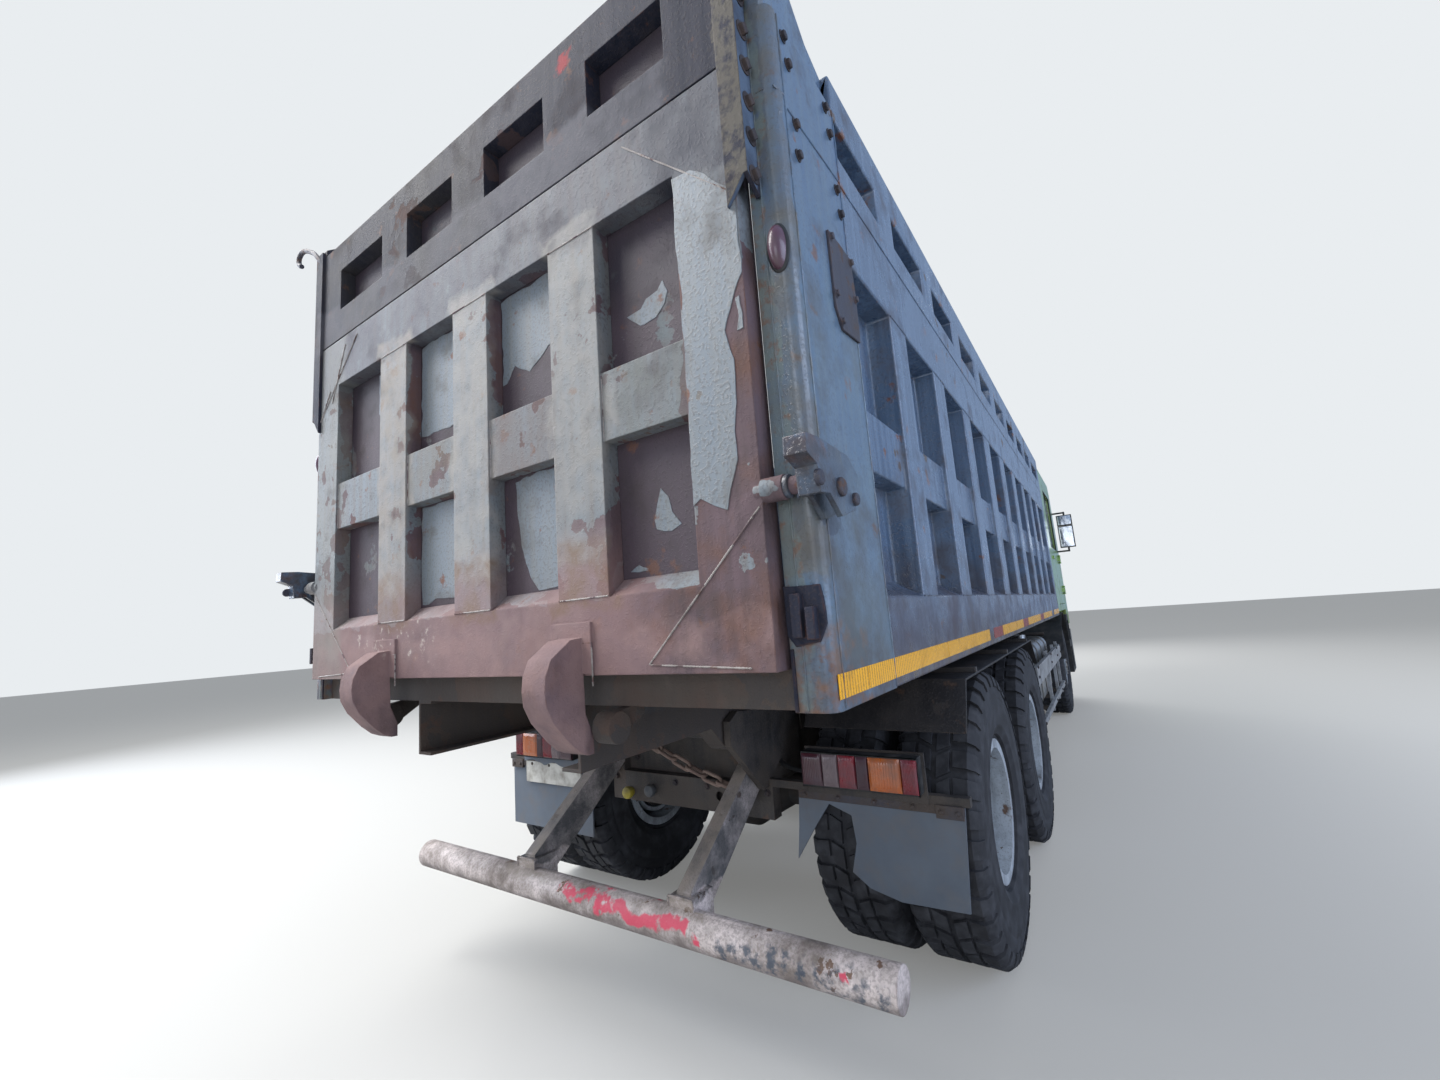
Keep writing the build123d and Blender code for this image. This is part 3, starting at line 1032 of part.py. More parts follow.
def gate_extension():
    """Windowed upper part of the gate with the side strips and the hinge arms."""
    x0, x1, half = GATE_REAR, GATE_REAR + GATE_RIB_DEPTH, GATE_HALF - 15
    low, high = GATE_WINDOWS
    parts = [box(x0, x1, -half, half, GATE_SPLIT + 3, low), box(x0, x1, -half, half, high, GATE_TOP)]
    for y in GATE_POSTS:
        parts.append(box(x0, x1, y - GATE_POST_WIDTH / 2, y + GATE_POST_WIDTH / 2, GATE_SPLIT + 3, GATE_TOP))
    for s in (-1, 1):
        inner, outer = sorted((s * (half - GATE_STILE + 15), s * half))
        parts.append(box(x0, x1, inner, outer, GATE_SPLIT + 3, GATE_TOP))
        near, far = sorted((s * (GATE_HALF - GATE_ARM), s * GATE_HALF))
        arm = side_plate([(x0, GATE_TOP - 120), (x1, GATE_TOP - 120), (x1 + 30, GATE_TOP),
                          (GATE_HINGE_X + 45, GATE_HINGE_Z - 30), (GATE_HINGE_X + 45, GATE_HINGE_Z + 40),
                          (GATE_HINGE_X - 45, GATE_HINGE_Z + 45), (x0, GATE_TOP + 30)], near, far)
        arm -= side_plate([(x1, GATE_TOP - 130), (x1 + WALL_PLATE, GATE_TOP - 130),
                           (x1 + WALL_PLATE, GATE_TOP), (x1, GATE_TOP)], near - 5, far + 5)
        arm -= y_rod(GATE_HINGE_X, GATE_HINGE_Z, GATE_PIN_R + BORE_PLAY, near - 5, far + 5)
        parts.append(arm)
        flange = cross_plate([(s * (GATE_HALF - 20), STRIP_BOTTOM), (s * (GATE_HALF + 42), STRIP_BOTTOM + 80),
                              (s * (GATE_HALF + 42), GATE_TOP + 20), (s * (GATE_HALF - 20), GATE_TOP + 20)],
                             x0 - 12, x0)
        edge_in, edge_out = sorted((s * (GATE_HALF + 30), s * (GATE_HALF + 42)))
        web = side_plate([(x0 - 12, STRIP_BOTTOM + 65), (-CLEAR, STRIP_BOTTOM + 30), (-CLEAR, GATE_TOP + 20),
                          (x0 - 12, GATE_TOP + 20)], edge_in, edge_out)
        parts += [flange, web]
    return [fuse(parts)]


# Hoist

def hoist_tube(stage):
    """Left tube of one hoist stage; stage 0 is the barrel and the last is the solid rod."""
    outer = HOIST_BARREL_R - stage * (HOIST_WALL + HOIST_GAP)
    low, high = HOIST_BASE_Z + HOIST_FOOT + HOIST_STEP * stage, HOIST_PIN_Z - HOIST_HEAD + HOIST_STEP * stage
    tube = z_rod(HOIST_X, HOIST_Y, outer, low, high)
    if stage < HOIST_STAGES:
        tube -= z_rod(HOIST_X, HOIST_Y, outer - HOIST_WALL, low + HOIST_STEP - FIT, high + 5)
    return tube


def hoist_barrels():
    """Both barrels with the eyes that turn on the lower shaft."""
    eye = y_rod(HOIST_X, HOIST_BASE_Z, 48, HOIST_Y - 45, HOIST_Y + 45)
    eye += box(HOIST_X - 48, HOIST_X + 48, HOIST_Y - 45, HOIST_Y + 45, HOIST_BASE_Z,
               HOIST_BASE_Z + HOIST_FOOT + 3)
    barrel = hoist_tube(0) + eye
    barrel -= y_rod(HOIST_X, HOIST_BASE_Z, HOIST_PIN_R + BORE_PLAY, HOIST_Y - 50, HOIST_Y + 50)
    return pair(barrel)


def hoist_rods():
    """Both inner rods with the eyes that the bed's ears hold."""
    top = HOIST_PIN_Z - HOIST_HEAD + HOIST_STEP * HOIST_STAGES
    eye = box(HOIST_X - 34, HOIST_X + 34, HOIST_Y - 36, HOIST_Y + 36, top, HOIST_PIN_Z)
    eye += y_rod(HOIST_X, HOIST_PIN_Z, 34, HOIST_Y - 36, HOIST_Y + 36)
    rod = hoist_tube(HOIST_STAGES) + eye
    return pair(rod - y_rod(HOIST_X, HOIST_PIN_Z, HOIST_PIN_R, HOIST_Y - 40, HOIST_Y + 40))


def write_all():
    """Write every sub-part."""
    os.makedirs("parts", exist_ok=True)
    whole = (chassis_frame, crossmembers, rear_beam, frame_brackets, underride_guard, lamp_brackets,
             tail_lamps, mud_flaps, rear_mudguards, fuel_tank, air_tanks, side_guards, front_axle,
             leaf_springs, drive_axles, engine, front_bumper, step_guards, exhaust, tow_chain, cab_shell,
             cab_glass, grille, cab_interior, dashboard, mirrors, bed_floor, side_extensions, headboard,
             gate_panel, gate_frame, gate_extension, hoist_barrels, hoist_rods)
    for make in whole:
        save(make.__name__, make())
    save("headlamps", headlamp_blocks())
    save("rear_posts", pair(rear_post()))
    for stage in range(1, HOIST_STAGES):
        save(f"hoist_stage_{stage}", pair(hoist_tube(stage)))
    handed = {"door": door(), "door_glass": door_glass(), "side_wall": side_wall(), "knuckle": knuckle(),
              "front_rim": front_rim(), "front_tyre": tyre(FRONT_AXLE, FRONT_WHEEL_Y)}
    for number, x in ((1, AXLE_1), (2, AXLE_2)):
        handed[f"rear_rims_{number}"] = rear_rims(x)
        handed[f"rear_tyres_{number}"] = Compound(children=[tyre(x, y) for y in (DUAL_OUTER_Y, DUAL_INNER_Y)])
    for name, piece in handed.items():
        save(f"{name}_left", [piece])
        save(f"{name}_right", [mirrored(piece)])


write_all()
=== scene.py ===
import json
import logging
import math
from dataclasses import dataclass, field
from enum import Enum
from typing import Any, Iterable, Sequence

import bmesh
import bpy
import numpy as np
from mathutils import Matrix, Vector

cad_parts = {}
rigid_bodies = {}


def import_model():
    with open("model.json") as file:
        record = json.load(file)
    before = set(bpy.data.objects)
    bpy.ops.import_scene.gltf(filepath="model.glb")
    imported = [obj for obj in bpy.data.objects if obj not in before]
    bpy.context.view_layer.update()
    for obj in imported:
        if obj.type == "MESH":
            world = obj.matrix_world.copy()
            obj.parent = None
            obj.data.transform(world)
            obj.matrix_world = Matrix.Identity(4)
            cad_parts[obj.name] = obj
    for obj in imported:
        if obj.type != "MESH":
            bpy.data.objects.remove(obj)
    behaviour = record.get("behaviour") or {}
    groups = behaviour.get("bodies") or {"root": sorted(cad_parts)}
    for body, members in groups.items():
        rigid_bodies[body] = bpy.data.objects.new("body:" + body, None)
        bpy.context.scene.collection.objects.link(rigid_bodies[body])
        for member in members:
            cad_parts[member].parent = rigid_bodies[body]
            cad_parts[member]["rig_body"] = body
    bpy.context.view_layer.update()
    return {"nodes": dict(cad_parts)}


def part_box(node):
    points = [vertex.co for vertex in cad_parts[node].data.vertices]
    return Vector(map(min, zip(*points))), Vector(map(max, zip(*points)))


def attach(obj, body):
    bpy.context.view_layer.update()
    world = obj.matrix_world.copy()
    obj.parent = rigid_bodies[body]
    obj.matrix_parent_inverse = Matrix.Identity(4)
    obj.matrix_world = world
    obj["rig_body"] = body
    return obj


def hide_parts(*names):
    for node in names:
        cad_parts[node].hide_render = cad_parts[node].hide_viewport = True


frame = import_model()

LOG = logging.getLogger("dump_truck")
Point = tuple[float, float, float]
Pair = tuple[float, float]
Mesh = tuple[np.ndarray, list[tuple[int, ...]]]

MM = 0.001
FULL_TURN = 2 * math.pi
SAME_POINT = 1e-6
SMOOTH_ANGLE = math.radians(35)
BEVEL_ANGLE = 40.0
BEAD_RIPPLE = 9 * MM
FLIP_Y = np.array([1.0, -1.0, 1.0])
REARWARDS: Point = (-1.0, 0.0, 0.0)
CLOTH_FRAMES = 20
CHANNEL_WIDTH = 9 * MM
NODES: dict[str, bpy.types.Object] = frame["nodes"]
POST_FACE_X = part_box("gate_panel")[0].x - 10 * MM


class Axis(Enum):
    """Axis of the row frame that a profile is carried along or turned about."""

    X = 0
    Y = 1
    Z = 2


# Meshes. Sizes are in millimetres.


def in_row(x: float, y: float, z: float) -> Point:
    """A place given in millimetres from the rear posts' rear face, the centre line and the ground, in metres."""
    return x * MM + POST_FACE_X, y * MM, z * MM


def grid_faces(rows: int, columns: int, close_rows: bool, close_columns: bool) -> list[tuple[int, ...]]:
    """Quads over a grid of rows by columns of points.

    Args:
        rows: Number of rows of points.
        columns: Number of points in a row.
        close_rows: Whether the last row joins the first.
        close_columns: Whether each row's last point joins its first.

    Returns:
        The faces as tuples of point numbers, row by row.
    """
    i, j = np.meshgrid(np.arange(rows - (not close_rows)), np.arange(columns - (not close_columns)), indexing="ij")
    i, j = i.ravel(), j.ravel()
    i2, j2 = (i + 1) % rows, (j + 1) % columns
    quads = np.stack([i * columns + j, i2 * columns + j, i2 * columns + j2, i * columns + j2], axis=1)
    return [tuple(q) for q in quads.tolist()]


def capped_faces(rows: int, columns: int) -> list[tuple[int, ...]]:
    """Quads round a row of rings, with the first and the last ring closed."""
    last = (rows - 1) * columns
    ends = [tuple(range(columns - 1, -1, -1)), tuple(range(last, last + columns))]
    return grid_faces(rows, columns, False, True) + ends


def joined(parts: Iterable[Mesh]) -> Mesh:
    """Several meshes as one, with the faces' numbers moved up."""
    points, faces, start = [], [], 0
    for verts, quads in parts:
        points.append(verts)
        faces += [tuple(k + start for k in q) for q in quads]
        start += len(verts)
    return np.concatenate(points), faces


def both_sides(parts: Iterable[Mesh]) -> Mesh:
    """A left-hand mesh joined with its mirror image in Y."""
    points, faces = joined(parts)
    return joined([(points, faces), (points * FLIP_Y, [tuple(reversed(f)) for f in faces])])


def turned(profile: Sequence[Pair], centre: Point, axis: Axis, steps: int = 48) -> Mesh:
    """A profile of radius and distance turned about an axis: point = centre + r cos t u + r sin t v + d w.

    Args:
        profile: Radius and distance along the axis of each point; the first and last may lie on the axis.
        centre: Where distance 0 is on the axis, in metres.
        axis: The axis, w; u and v are the next two axes in turn.
        steps: Points round a full turn.

    Returns:
        The surface's points and faces.
    """
    r, d = np.array(profile, float).T * MM
    t = np.linspace(0, FULL_TURN, steps, endpoint=False)
    out = np.zeros((len(r), steps, 3))
    w = axis.value
    out[..., (w + 1) % 3] = np.outer(r, np.cos(t))
    out[..., (w + 2) % 3] = np.outer(r, np.sin(t))
    out[..., w] = d[:, None]
    return (out + np.array(centre)).reshape(-1, 3), grid_faces(len(r), steps, False, True)


def prism(outline: Sequence[Pair], axis: Axis, low: float, high: float) -> Mesh:
    """A flat outline of the row frame carried straight along an axis, closed at both ends.

    Args:
        outline: Points in the other two axes, in the order X, Y, Z.
        axis: The axis that the outline is carried along.
        low: Where it starts on that axis.
        high: Where it ends.

    Returns:
        The solid's points and faces.
    """
    points = np.zeros((2, len(outline), 3))
    points[:, :, [k for k in range(3) if k != axis.value]] = np.array(outline, float)
    points[0, :, axis.value], points[1, :, axis.value] = low, high
    return points.reshape(-1, 3) * MM + np.array(in_row(0, 0, 0)), capped_faces(2, len(outline))


def slab(x: Pair, y: Pair, z: Pair) -> Mesh:
    """A box between limits."""
    return prism([(x[0], y[0]), (x[1], y[0]), (x[1], y[1]), (x[0], y[1])], Axis.Z, z[0], z[1])


def smooth_path(points: Sequence[Point], steps: int) -> np.ndarray:
    """A Catmull-Rom curve through points: each span is a cubic whose ends lean along its neighbours.

    Args:
        points: The points that the curve passes.
        steps: Points worked out on each span.

    Returns:
        The curve's points as rows of x, y, z.
    """
    p = np.array([points[0], *points, points[-1]], float)
    t = np.linspace(0, 1, steps, endpoint=False)[:, None]
    spans = [0.5 * (2 * b + (c - a) * t + (2 * a - 5 * b + 4 * c - d) * t ** 2 + (3 * b - a - 3 * c + d) * t ** 3)
             for a, b, c, d in zip(p, p[1:], p[2:], p[3:])]
    return np.concatenate(spans + [p[-1:]])


def rings(path: np.ndarray, n: np.ndarray, b: np.ndarray, radius: float | np.ndarray, sides: int) -> np.ndarray:
    """Rings of a tube: path + r (cos t n + sin t b), with n and b square to the path."""
    t = np.linspace(0, FULL_TURN, sides, endpoint=False)[None, :, None]
    r = np.broadcast_to(np.asarray(radius, float) * MM, len(path))[:, None, None]
    return (path[:, None, :] + r * (np.cos(t) * n[:, None, :] + np.sin(t) * b[:, None, :])).reshape(-1, 3)


def tube(path: Any, radius: float | np.ndarray, sides: int = 10) -> Mesh:
    """A round tube along a path, closed at both ends, whose rings are carried along without twist.

    Args:
        path: The middle line's points, in metres.
        radius: One radius, or one for each point.
        sides: Points round a ring.

    Returns:
        The tube's points and faces.
    """
    path = np.asarray(path, float)
    tangent = np.gradient(path, axis=0)
    tangent /= np.linalg.norm(tangent, axis=1)[:, None]
    first = np.cross(tangent[0], [0.0, 0.0, 1.0] if abs(tangent[0][2]) < 0.9 else [1.0, 0.0, 0.0])
    normals = [first / np.linalg.norm(first)]
    for along in tangent[1:]:
        carried = normals[-1] - along * (normals[-1] @ along)
        normals.append(carried / np.linalg.norm(carried))
    n = np.array(normals)
    return rings(path, n, np.cross(tangent, n), radius, sides), capped_faces(len(path), sides)


def bent_rod(path: Sequence[Point], steps: int, radius: float, sides: int = 8) -> Mesh:
    """A round tube along a smooth curve through places in the row frame.

    Args:
        path: The places, in millimetres.
        steps: Rings on each span between two places.
        radius: The tube's radius.
        sides: Points round a ring.

    Returns:
        The tube's points and faces.
    """
    return tube(smooth_path([in_row(*p) for p in path], steps), radius, sides)


def closed_tube(path: Any, across: Point, radius: float, sides: int = 8) -> Mesh:
    """A round tube along a closed flat path.

    Args:
        path: The middle line's points in metres, the last not repeating the first.
        across: Normal of the plane that the path lies in.
        radius: The tube's radius.
        sides: Points round a ring.

    Returns:
        The tube's points and faces.
    """
    path = np.asarray(path, float)
    tangent = np.roll(path, -1, axis=0) - np.roll(path, 1, axis=0)
    tangent /= np.linalg.norm(tangent, axis=1)[:, None]
    n = np.broadcast_to(np.array(across, float) / np.linalg.norm(across), path.shape)
    return rings(path, n, np.cross(tangent, n), radius, sides), grid_faces(len(path), sides, True, True)


def loop_points(corners: Sequence[Point], shares: Sequence[float]) -> list[np.ndarray]:
    """Points at some shares of each side of a closed loop of corners."""
    ends = [np.array(corner, float) for corner in corners]
    return [a + (b - a) * share for a, b in zip(ends, ends[1:] + ends[:1]) for share in shares]


def weld_bead(start: Point, end: Point, radius: float) -> Mesh:
    """A weld bead along a line: a tube whose radius swells and shrinks by a sine of the ripple's length."""
    a, b = np.array(start, float), np.array(end, float)
    length = float(np.linalg.norm(b - a))
    s = np.linspace(0, 1, max(4, min(160, int(length / BEAD_RIPPLE * 2))))
    wave = radius * (1 + 0.22 * np.sin(s * length / BEAD_RIPPLE * FULL_TURN) + 0.12 * np.sin(s * 37.0 + a[2] * 9))
    return tube(a + (b - a) * s[:, None], wave, 6)


def weld_lines(lines: Sequence[tuple[Point, Point]], radius: float) -> Mesh:
    """Weld beads between pairs of places in the row frame."""
    return joined(weld_bead(in_row(*a), in_row(*b), radius) for a, b in lines)


def bolt_heads(places: Sequence[Point], axis: Axis, sign: int, across: float, sides: int = 6) -> Mesh:
    """Bolt heads on washers, each a turned profile of few sides standing out along an axis.

    Args:
        places: Middle of each head on the surface that it sits on, in metres.
        axis: The axis that the heads stand out along.
        sign: 1 or -1, the way they point.
        across: Width of a head.
        sides: 4 for square heads, 6 for hexagons.

    Returns:
        All heads as one mesh.
    """
    r, h = across / 2 / math.cos(math.pi / sides), across * 0.55 * sign
    tip = 0.001 * r
    head = [(tip, 0.0), (r, 0.0), (r, h * 0.85), (r * 0.86, h), (tip, h)]
    washer = [(tip, 0.0), (r * 1.35, 0.0), (r * 1.35, h * 0.18), (tip, h * 0.18)]
    return joined(turned(profile, place, axis, steps) for place in places
                  for profile, steps in ((head, sides), (washer, 14)))


def ragged(outline: Sequence[Pair], step: float, amount: float, seed: int) -> list[Pair]:
    """An outline that wanders as torn paint does: its sides are cut every step and each point moves by seeded noise.

    Args:
        outline: Corners.
        step: Distance between the points.
        amount: Typical shift of a point.
        seed: Seed of the noise.

    Returns:
        The new corners.
    """
    corners = np.array(outline, float)
    sides = []
    for a, b in zip(corners, np.roll(corners, -1, axis=0)):
        count = max(1, int(np.linalg.norm(b - a) / step))
        sides.append(a + (b - a) * (np.arange(count) / count)[:, None])
    points = np.concatenate(sides)
    shift = np.random.default_rng(seed).normal(0.0, amount, points.shape)
    shift = (np.roll(shift, 1, axis=0) + 2 * shift + np.roll(shift, -1, axis=0)) / 4
    return [tuple(p) for p in (points + shift).tolist()]


def flake(outline: Sequence[Pair], x: float, thick: float, seed: int, step: float, amount: float) -> Mesh:
    """A layer of paint left on a plate that faces the rear, with a torn edge.

    Args:
        outline: Corners in Y and Z.
        x: Station of the plate's face.
        thick: Thickness of the layer.
        seed: Seed of the torn edge.
        step: Distance between the edge's points.
        amount: How far they wander.

    Returns:
        The layer's points and faces.
    """
    return prism(ragged(outline, step, amount, seed), Axis.X, x - thick, x + 0.5)


# Pieces


def placed(name: str, data: bpy.types.ID) -> bpy.types.Object:
    """A new object in the scene."""
    made = bpy.data.objects.new(name, data)
    bpy.context.scene.collection.objects.link(made)
    return made


def round_edges(piece: bpy.types.Object, width: float, angle: float) -> None:
    """Rounds the edges that are sharper than an angle in degrees."""
    rounding = piece.modifiers.new("rounding", "BEVEL")
    rounding.width, rounding.segments, rounding.limit_method = width * MM, 2, "ANGLE"
    rounding.angle_limit = math.radians(angle)


def new_piece(name: str, mesh: Mesh, body: str, finish: str, bevel: float = 0.0, smooth: bool = True,
              replaces: Sequence[str] = ()) -> bpy.types.Object:
    """Makes a piece of the truck that moves with one body.

    Args:
        name: The piece's name.
        mesh: Its points and faces.
        body: The body that it rides on.
        finish: Name of its finish.
        bevel: Width of rounded edges; 0 for none.
        smooth: Whether faces shade smoothly up to the smooth angle.
        replaces: CAD nodes that the piece stands for.

    Returns:
        The new object.
    """
    points, faces = mesh
    data = bpy.data.meshes.new(name)
    data.from_pydata(np.asarray(points, float).tolist(), [], faces)
    work = bmesh.new()
    work.from_mesh(data)
    bmesh.ops.remove_doubles(work, verts=work.verts, dist=SAME_POINT)
    bmesh.ops.recalc_face_normals(work, faces=work.faces)
    work.to_mesh(data)
    work.free()
    data.validate()
    data.materials.append(PALETTE[finish])
    piece = placed(name, data)
    if bevel:
        round_edges(piece, bevel, BEVEL_ANGLE)
    if smooth:
        data.shade_smooth()
        data.set_sharp_from_angle(angle=SMOOTH_ANGLE)
    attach(piece, body)
    if replaces:
        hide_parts(*replaces)
    LOG.info("%s: %d faces on %s", name, len(data.polygons), body)
    return piece


def new_pieces(body: str, rows: Sequence[tuple[str, Mesh, str, str, float]]) -> None:
    """Makes pieces on one body from rows of name, mesh, finish, slot and bevel."""
    for name, mesh, finish, slot, bevel in rows:
        new_piece(name, mesh, body, finish, bevel)


def rounded_copy(node: str, width: float, finish: str, angle: float = BEVEL_ANGLE) -> None:
    """Merged copy of a CAD node with rounded edges, which stands for it.

    Args:
        node: The CAD node.
        width: Width of the rounding.
        finish: Name of its finish.
        angle: Edges sharper than this, in degrees, are rounded.
    """
    source = NODES[node]
    data = bpy.data.meshes.new(node + "_rounded")
    work = bmesh.new()
    work.from_mesh(source.data)
    bmesh.ops.remove_doubles(work, verts=work.verts, dist=20 * SAME_POINT)
    bmesh.ops.dissolve_limit(work, angle_limit=math.radians(0.4), verts=work.verts, edges=work.edges)
    work.to_mesh(data)
    work.free()
    data.materials.clear()
    data.materials.append(PALETTE[finish])
    piece = placed(node + "_rounded", data)
    round_edges(piece, width, angle)
    data.shade_smooth()
    data.set_sharp_from_angle(angle=SMOOTH_ANGLE)
    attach(piece, source["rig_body"])
    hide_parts(node)
    LOG.info("%s: rounded copy of %d faces", node, len(data.polygons))


def read_array(items: Any, name: str) -> np.ndarray:
    """One vector of each item of a mesh, as rows."""
    values = np.empty(len(items) * 3)
    items.foreach_get(name, values)
    return values.reshape(-1, 3)


def swell(piece: bpy.types.Object, voxel: float, cap: float) -> None:
    """Remeshes a pad and runs it as cloth under pressure without gravity; each point keeps its move up to the cap.

    Args:
        piece: The pad, which is changed.
        voxel: Size of the new mesh's cells.
        cap: Furthest that a point may move.
    """
    scene = bpy.context.scene
    skin = piece.modifiers.new("skin", "REMESH")
    skin.mode, skin.voxel_size = "VOXEL", voxel * MM
    old = piece.data
    piece.data = bpy.data.meshes.new_from_object(piece.evaluated_get(bpy.context.evaluated_depsgraph_get()))
    piece.modifiers.remove(skin)
    bpy.data.meshes.remove(old)
    cloth = piece.modifiers.new("cloth", "CLOTH")
    cloth.settings.use_pressure = True
    cloth.settings.uniform_pressure_force = 4.0
    cloth.settings.effector_weights.gravity = 0.0
    for number in range(1, CLOTH_FRAMES + 1):
        scene.frame_set(number)
    start = read_array(piece.data.vertices, "co")
    end = read_array(piece.evaluated_get(bpy.context.evaluated_depsgraph_get()).data.vertices, "co")
    piece.modifiers.remove(cloth)
    scene.frame_set(1)
    move = end - start
    far = np.linalg.norm(move, axis=1, keepdims=True)
    move *= np.minimum(1.0, cap * MM / np.maximum(far, 1e-9))
    piece.data.vertices.foreach_set("co", (start + move).ravel())
    LOG.info("%s: moved up to %.1f mm", piece.name, min(float(far.max()) / MM, cap))


def press_channels(piece: bpy.types.Object, middle: float, place: float, depth: float = 6.0) -> None:
    """Presses two sewn channels into a pad, by depth exp(-((|y - middle| - place) / 9 mm)^2) along its normals.

    Args:
        piece: The pad, which is changed.
        middle: The pad's middle in Y.
        place: The channels' distance from it.
        depth: The channels' depth.
    """
    points, normals = read_array(piece.data.vertices, "co"), read_array(piece.data.vertex_normals, "vector")
    push = depth * MM * np.exp(-((np.abs(points[:, 1] - middle * MM) - place * MM) / CHANNEL_WIDTH) ** 2)
    piece.data.vertices.foreach_set("co", (points - normals * push[:, None]).ravel())
    piece.data.update()
    piece.data.shade_smooth()


def mirrored(piece: bpy.types.Object) -> Mesh:
    """Points and faces of a piece's mirror image in Y."""
    points = np.array([vertex.co for vertex in piece.data.vertices]) * FLIP_Y
    return points, [tuple(reversed(face.vertices)) for face in piece.data.polygons]


# Finishes


def linear(code: str) -> tuple[float, float, float, float]:
    """An sRGB hex value as linear red, green and blue with full alpha."""
    values = [int(code[k:k + 2], 16) / 255 for k in (1, 3, 5)]
    r, g, b = (v / 12.92 if v <= 0.04045 else ((v + 0.055) / 1.055) ** 2.4 for v in values)
    return r, g, b, 1.0


def socket_of(source: Any) -> Any:
    """A node's first output, or the socket itself."""
    return source.outputs[0] if isinstance(source, bpy.types.Node) else source


def add_node(tree: bpy.types.NodeTree, kind: str, settings: dict[Any, Any] | None = None,
             links: dict[Any, Any] | None = None) -> bpy.types.Node:
    """Adds a shader node.

    Args:
        tree: The material's node tree.
        kind: The node's type, without the words ShaderNode.
        settings: Properties by name, and input values by name or number.
        links: Sockets that feed the inputs, by the inputs' name or number. A node stands for its first output.

    Returns:
        The new node.
    """
    node = tree.nodes.new("ShaderNode" + kind)
    for key, value in (settings or {}).items():
        if isinstance(key, str) and hasattr(node, key):
            setattr(node, key, value)
        else:
            node.inputs[key].default_value = value
    for key, source in (links or {}).items():
        tree.links.new(socket_of(source), node.inputs[key])
    return node


def new_material(name: str) -> tuple[bpy.types.Material, bpy.types.NodeTree, Any]:
    """A material with nodes, its tree and the socket of its object coordinates."""
    made = bpy.data.materials.new(name)
    made.use_nodes = True
    return made, made.node_tree, add_node(made.node_tree, "TexCoord").outputs["Object"]


def set_shader(tree: bpy.types.NodeTree, values: dict[str, Any], links: dict[str, Any]) -> None:
    """Sets values of the principled shader's inputs and links sockets to others."""
    shader = tree.nodes["Principled BSDF"]
    for key, value in values.items():
        shader.inputs[key].default_value = value
    for key, source in links.items():
        tree.links.new(socket_of(source), shader.inputs[key])


def blended(tree: bpy.types.NodeTree, mask: Any, first: Any, second: Any, strength: float = 1.0) -> Any:
    """Colour that goes from first to second with a mask times a strength; each is a hex value or a socket."""
    if strength != 1.0:
        mask = add_node(tree, "Math", {"operation": "MULTIPLY", 1: strength}, {0: mask})
    mix = add_node(tree, "Mix", {"data_type": "RGBA"}, {0: mask})
    for number, colour in ((6, first), (7, second)):
        if isinstance(colour, str):
            mix.inputs[number].default_value = linear(colour)
        else:
            tree.links.new(colour, mix.inputs[number])
    return mix.outputs[2]


def patches(tree: bpy.types.NodeTree, coords: Any, size: float, share: float, soft: float, detail: float = 6.0,
            stretch: Point = (1.0, 1.0, 1.0), bias: Any = None) -> Any:
    """Mask of noise patches.

    Args:
        tree: The material's node tree.
        coords: Socket of coordinates in metres.
        size: Size of a patch in metres.
        share: About how much of the surface the patches take, 0 to 1.
        soft: Width of the patches' edge as a share of the noise's range.
        detail: Octaves of noise.
        stretch: How many times longer a patch is along each axis.
        bias: Socket or node added to the noise before it is cut.

    Returns:
        Socket with 1 in the patches and 0 outside.
    """
    where = add_node(tree, "Mapping", {"Scale": tuple(1 / s for s in stretch)}, {"Vector": coords})
    noise = add_node(tree, "TexNoise", {"Scale": 1 / size, "Detail": detail, "Roughness": 0.6}, {"Vector": where})
    if bias is not None:
        noise = add_node(tree, "Math", {"operation": "ADD"}, {0: noise, 1: bias})
    level = 0.5 + 0.34 * (0.5 - share)
    return add_node(tree, "MapRange", {"From Min": level - soft, "From Max": level + soft}, {0: noise}).outputs[0]


def zone(tree: bpy.types.NodeTree, coords: Any, low: Point, high: Point, soft: float) -> Any:
    """Mask that is 1 inside a box and falls to 0 over the soft width outside it.

    It takes the largest part of |p - middle| - half size, and turns that distance into a share.
    """
    middle = tuple((a + b) / 2 for a, b in zip(low, high))
    half = tuple((b - a) / 2 for a, b in zip(low, high))
    away = coords
    for settings in ({"operation": "SUBTRACT", 1: middle}, {"operation": "ABSOLUTE"},
                     {"operation": "SUBTRACT", 1: half}):
        away = add_node(tree, "VectorMath", settings, {0: away})
    x, y, z = add_node(tree, "SeparateXYZ", {}, {0: away}).outputs
    most = add_node(tree, "Math", {"operation": "MAXIMUM"}, {0: x, 1: y})
    most = add_node(tree, "Math", {"operation": "MAXIMUM"}, {0: most, 1: z})
    return add_node(tree, "MapRange", {"From Min": 0.0, "From Max": soft, "To Min": 1.0, "To Max": 0.0},
                    {0: most}).outputs[0]


@dataclass(frozen=True)
class Zone:
    """A box of the surface, in the row frame, whose top coat is kept or lost by an amount."""

    low: Point
    high: Point
    gain: float
    soft: float = 0.05


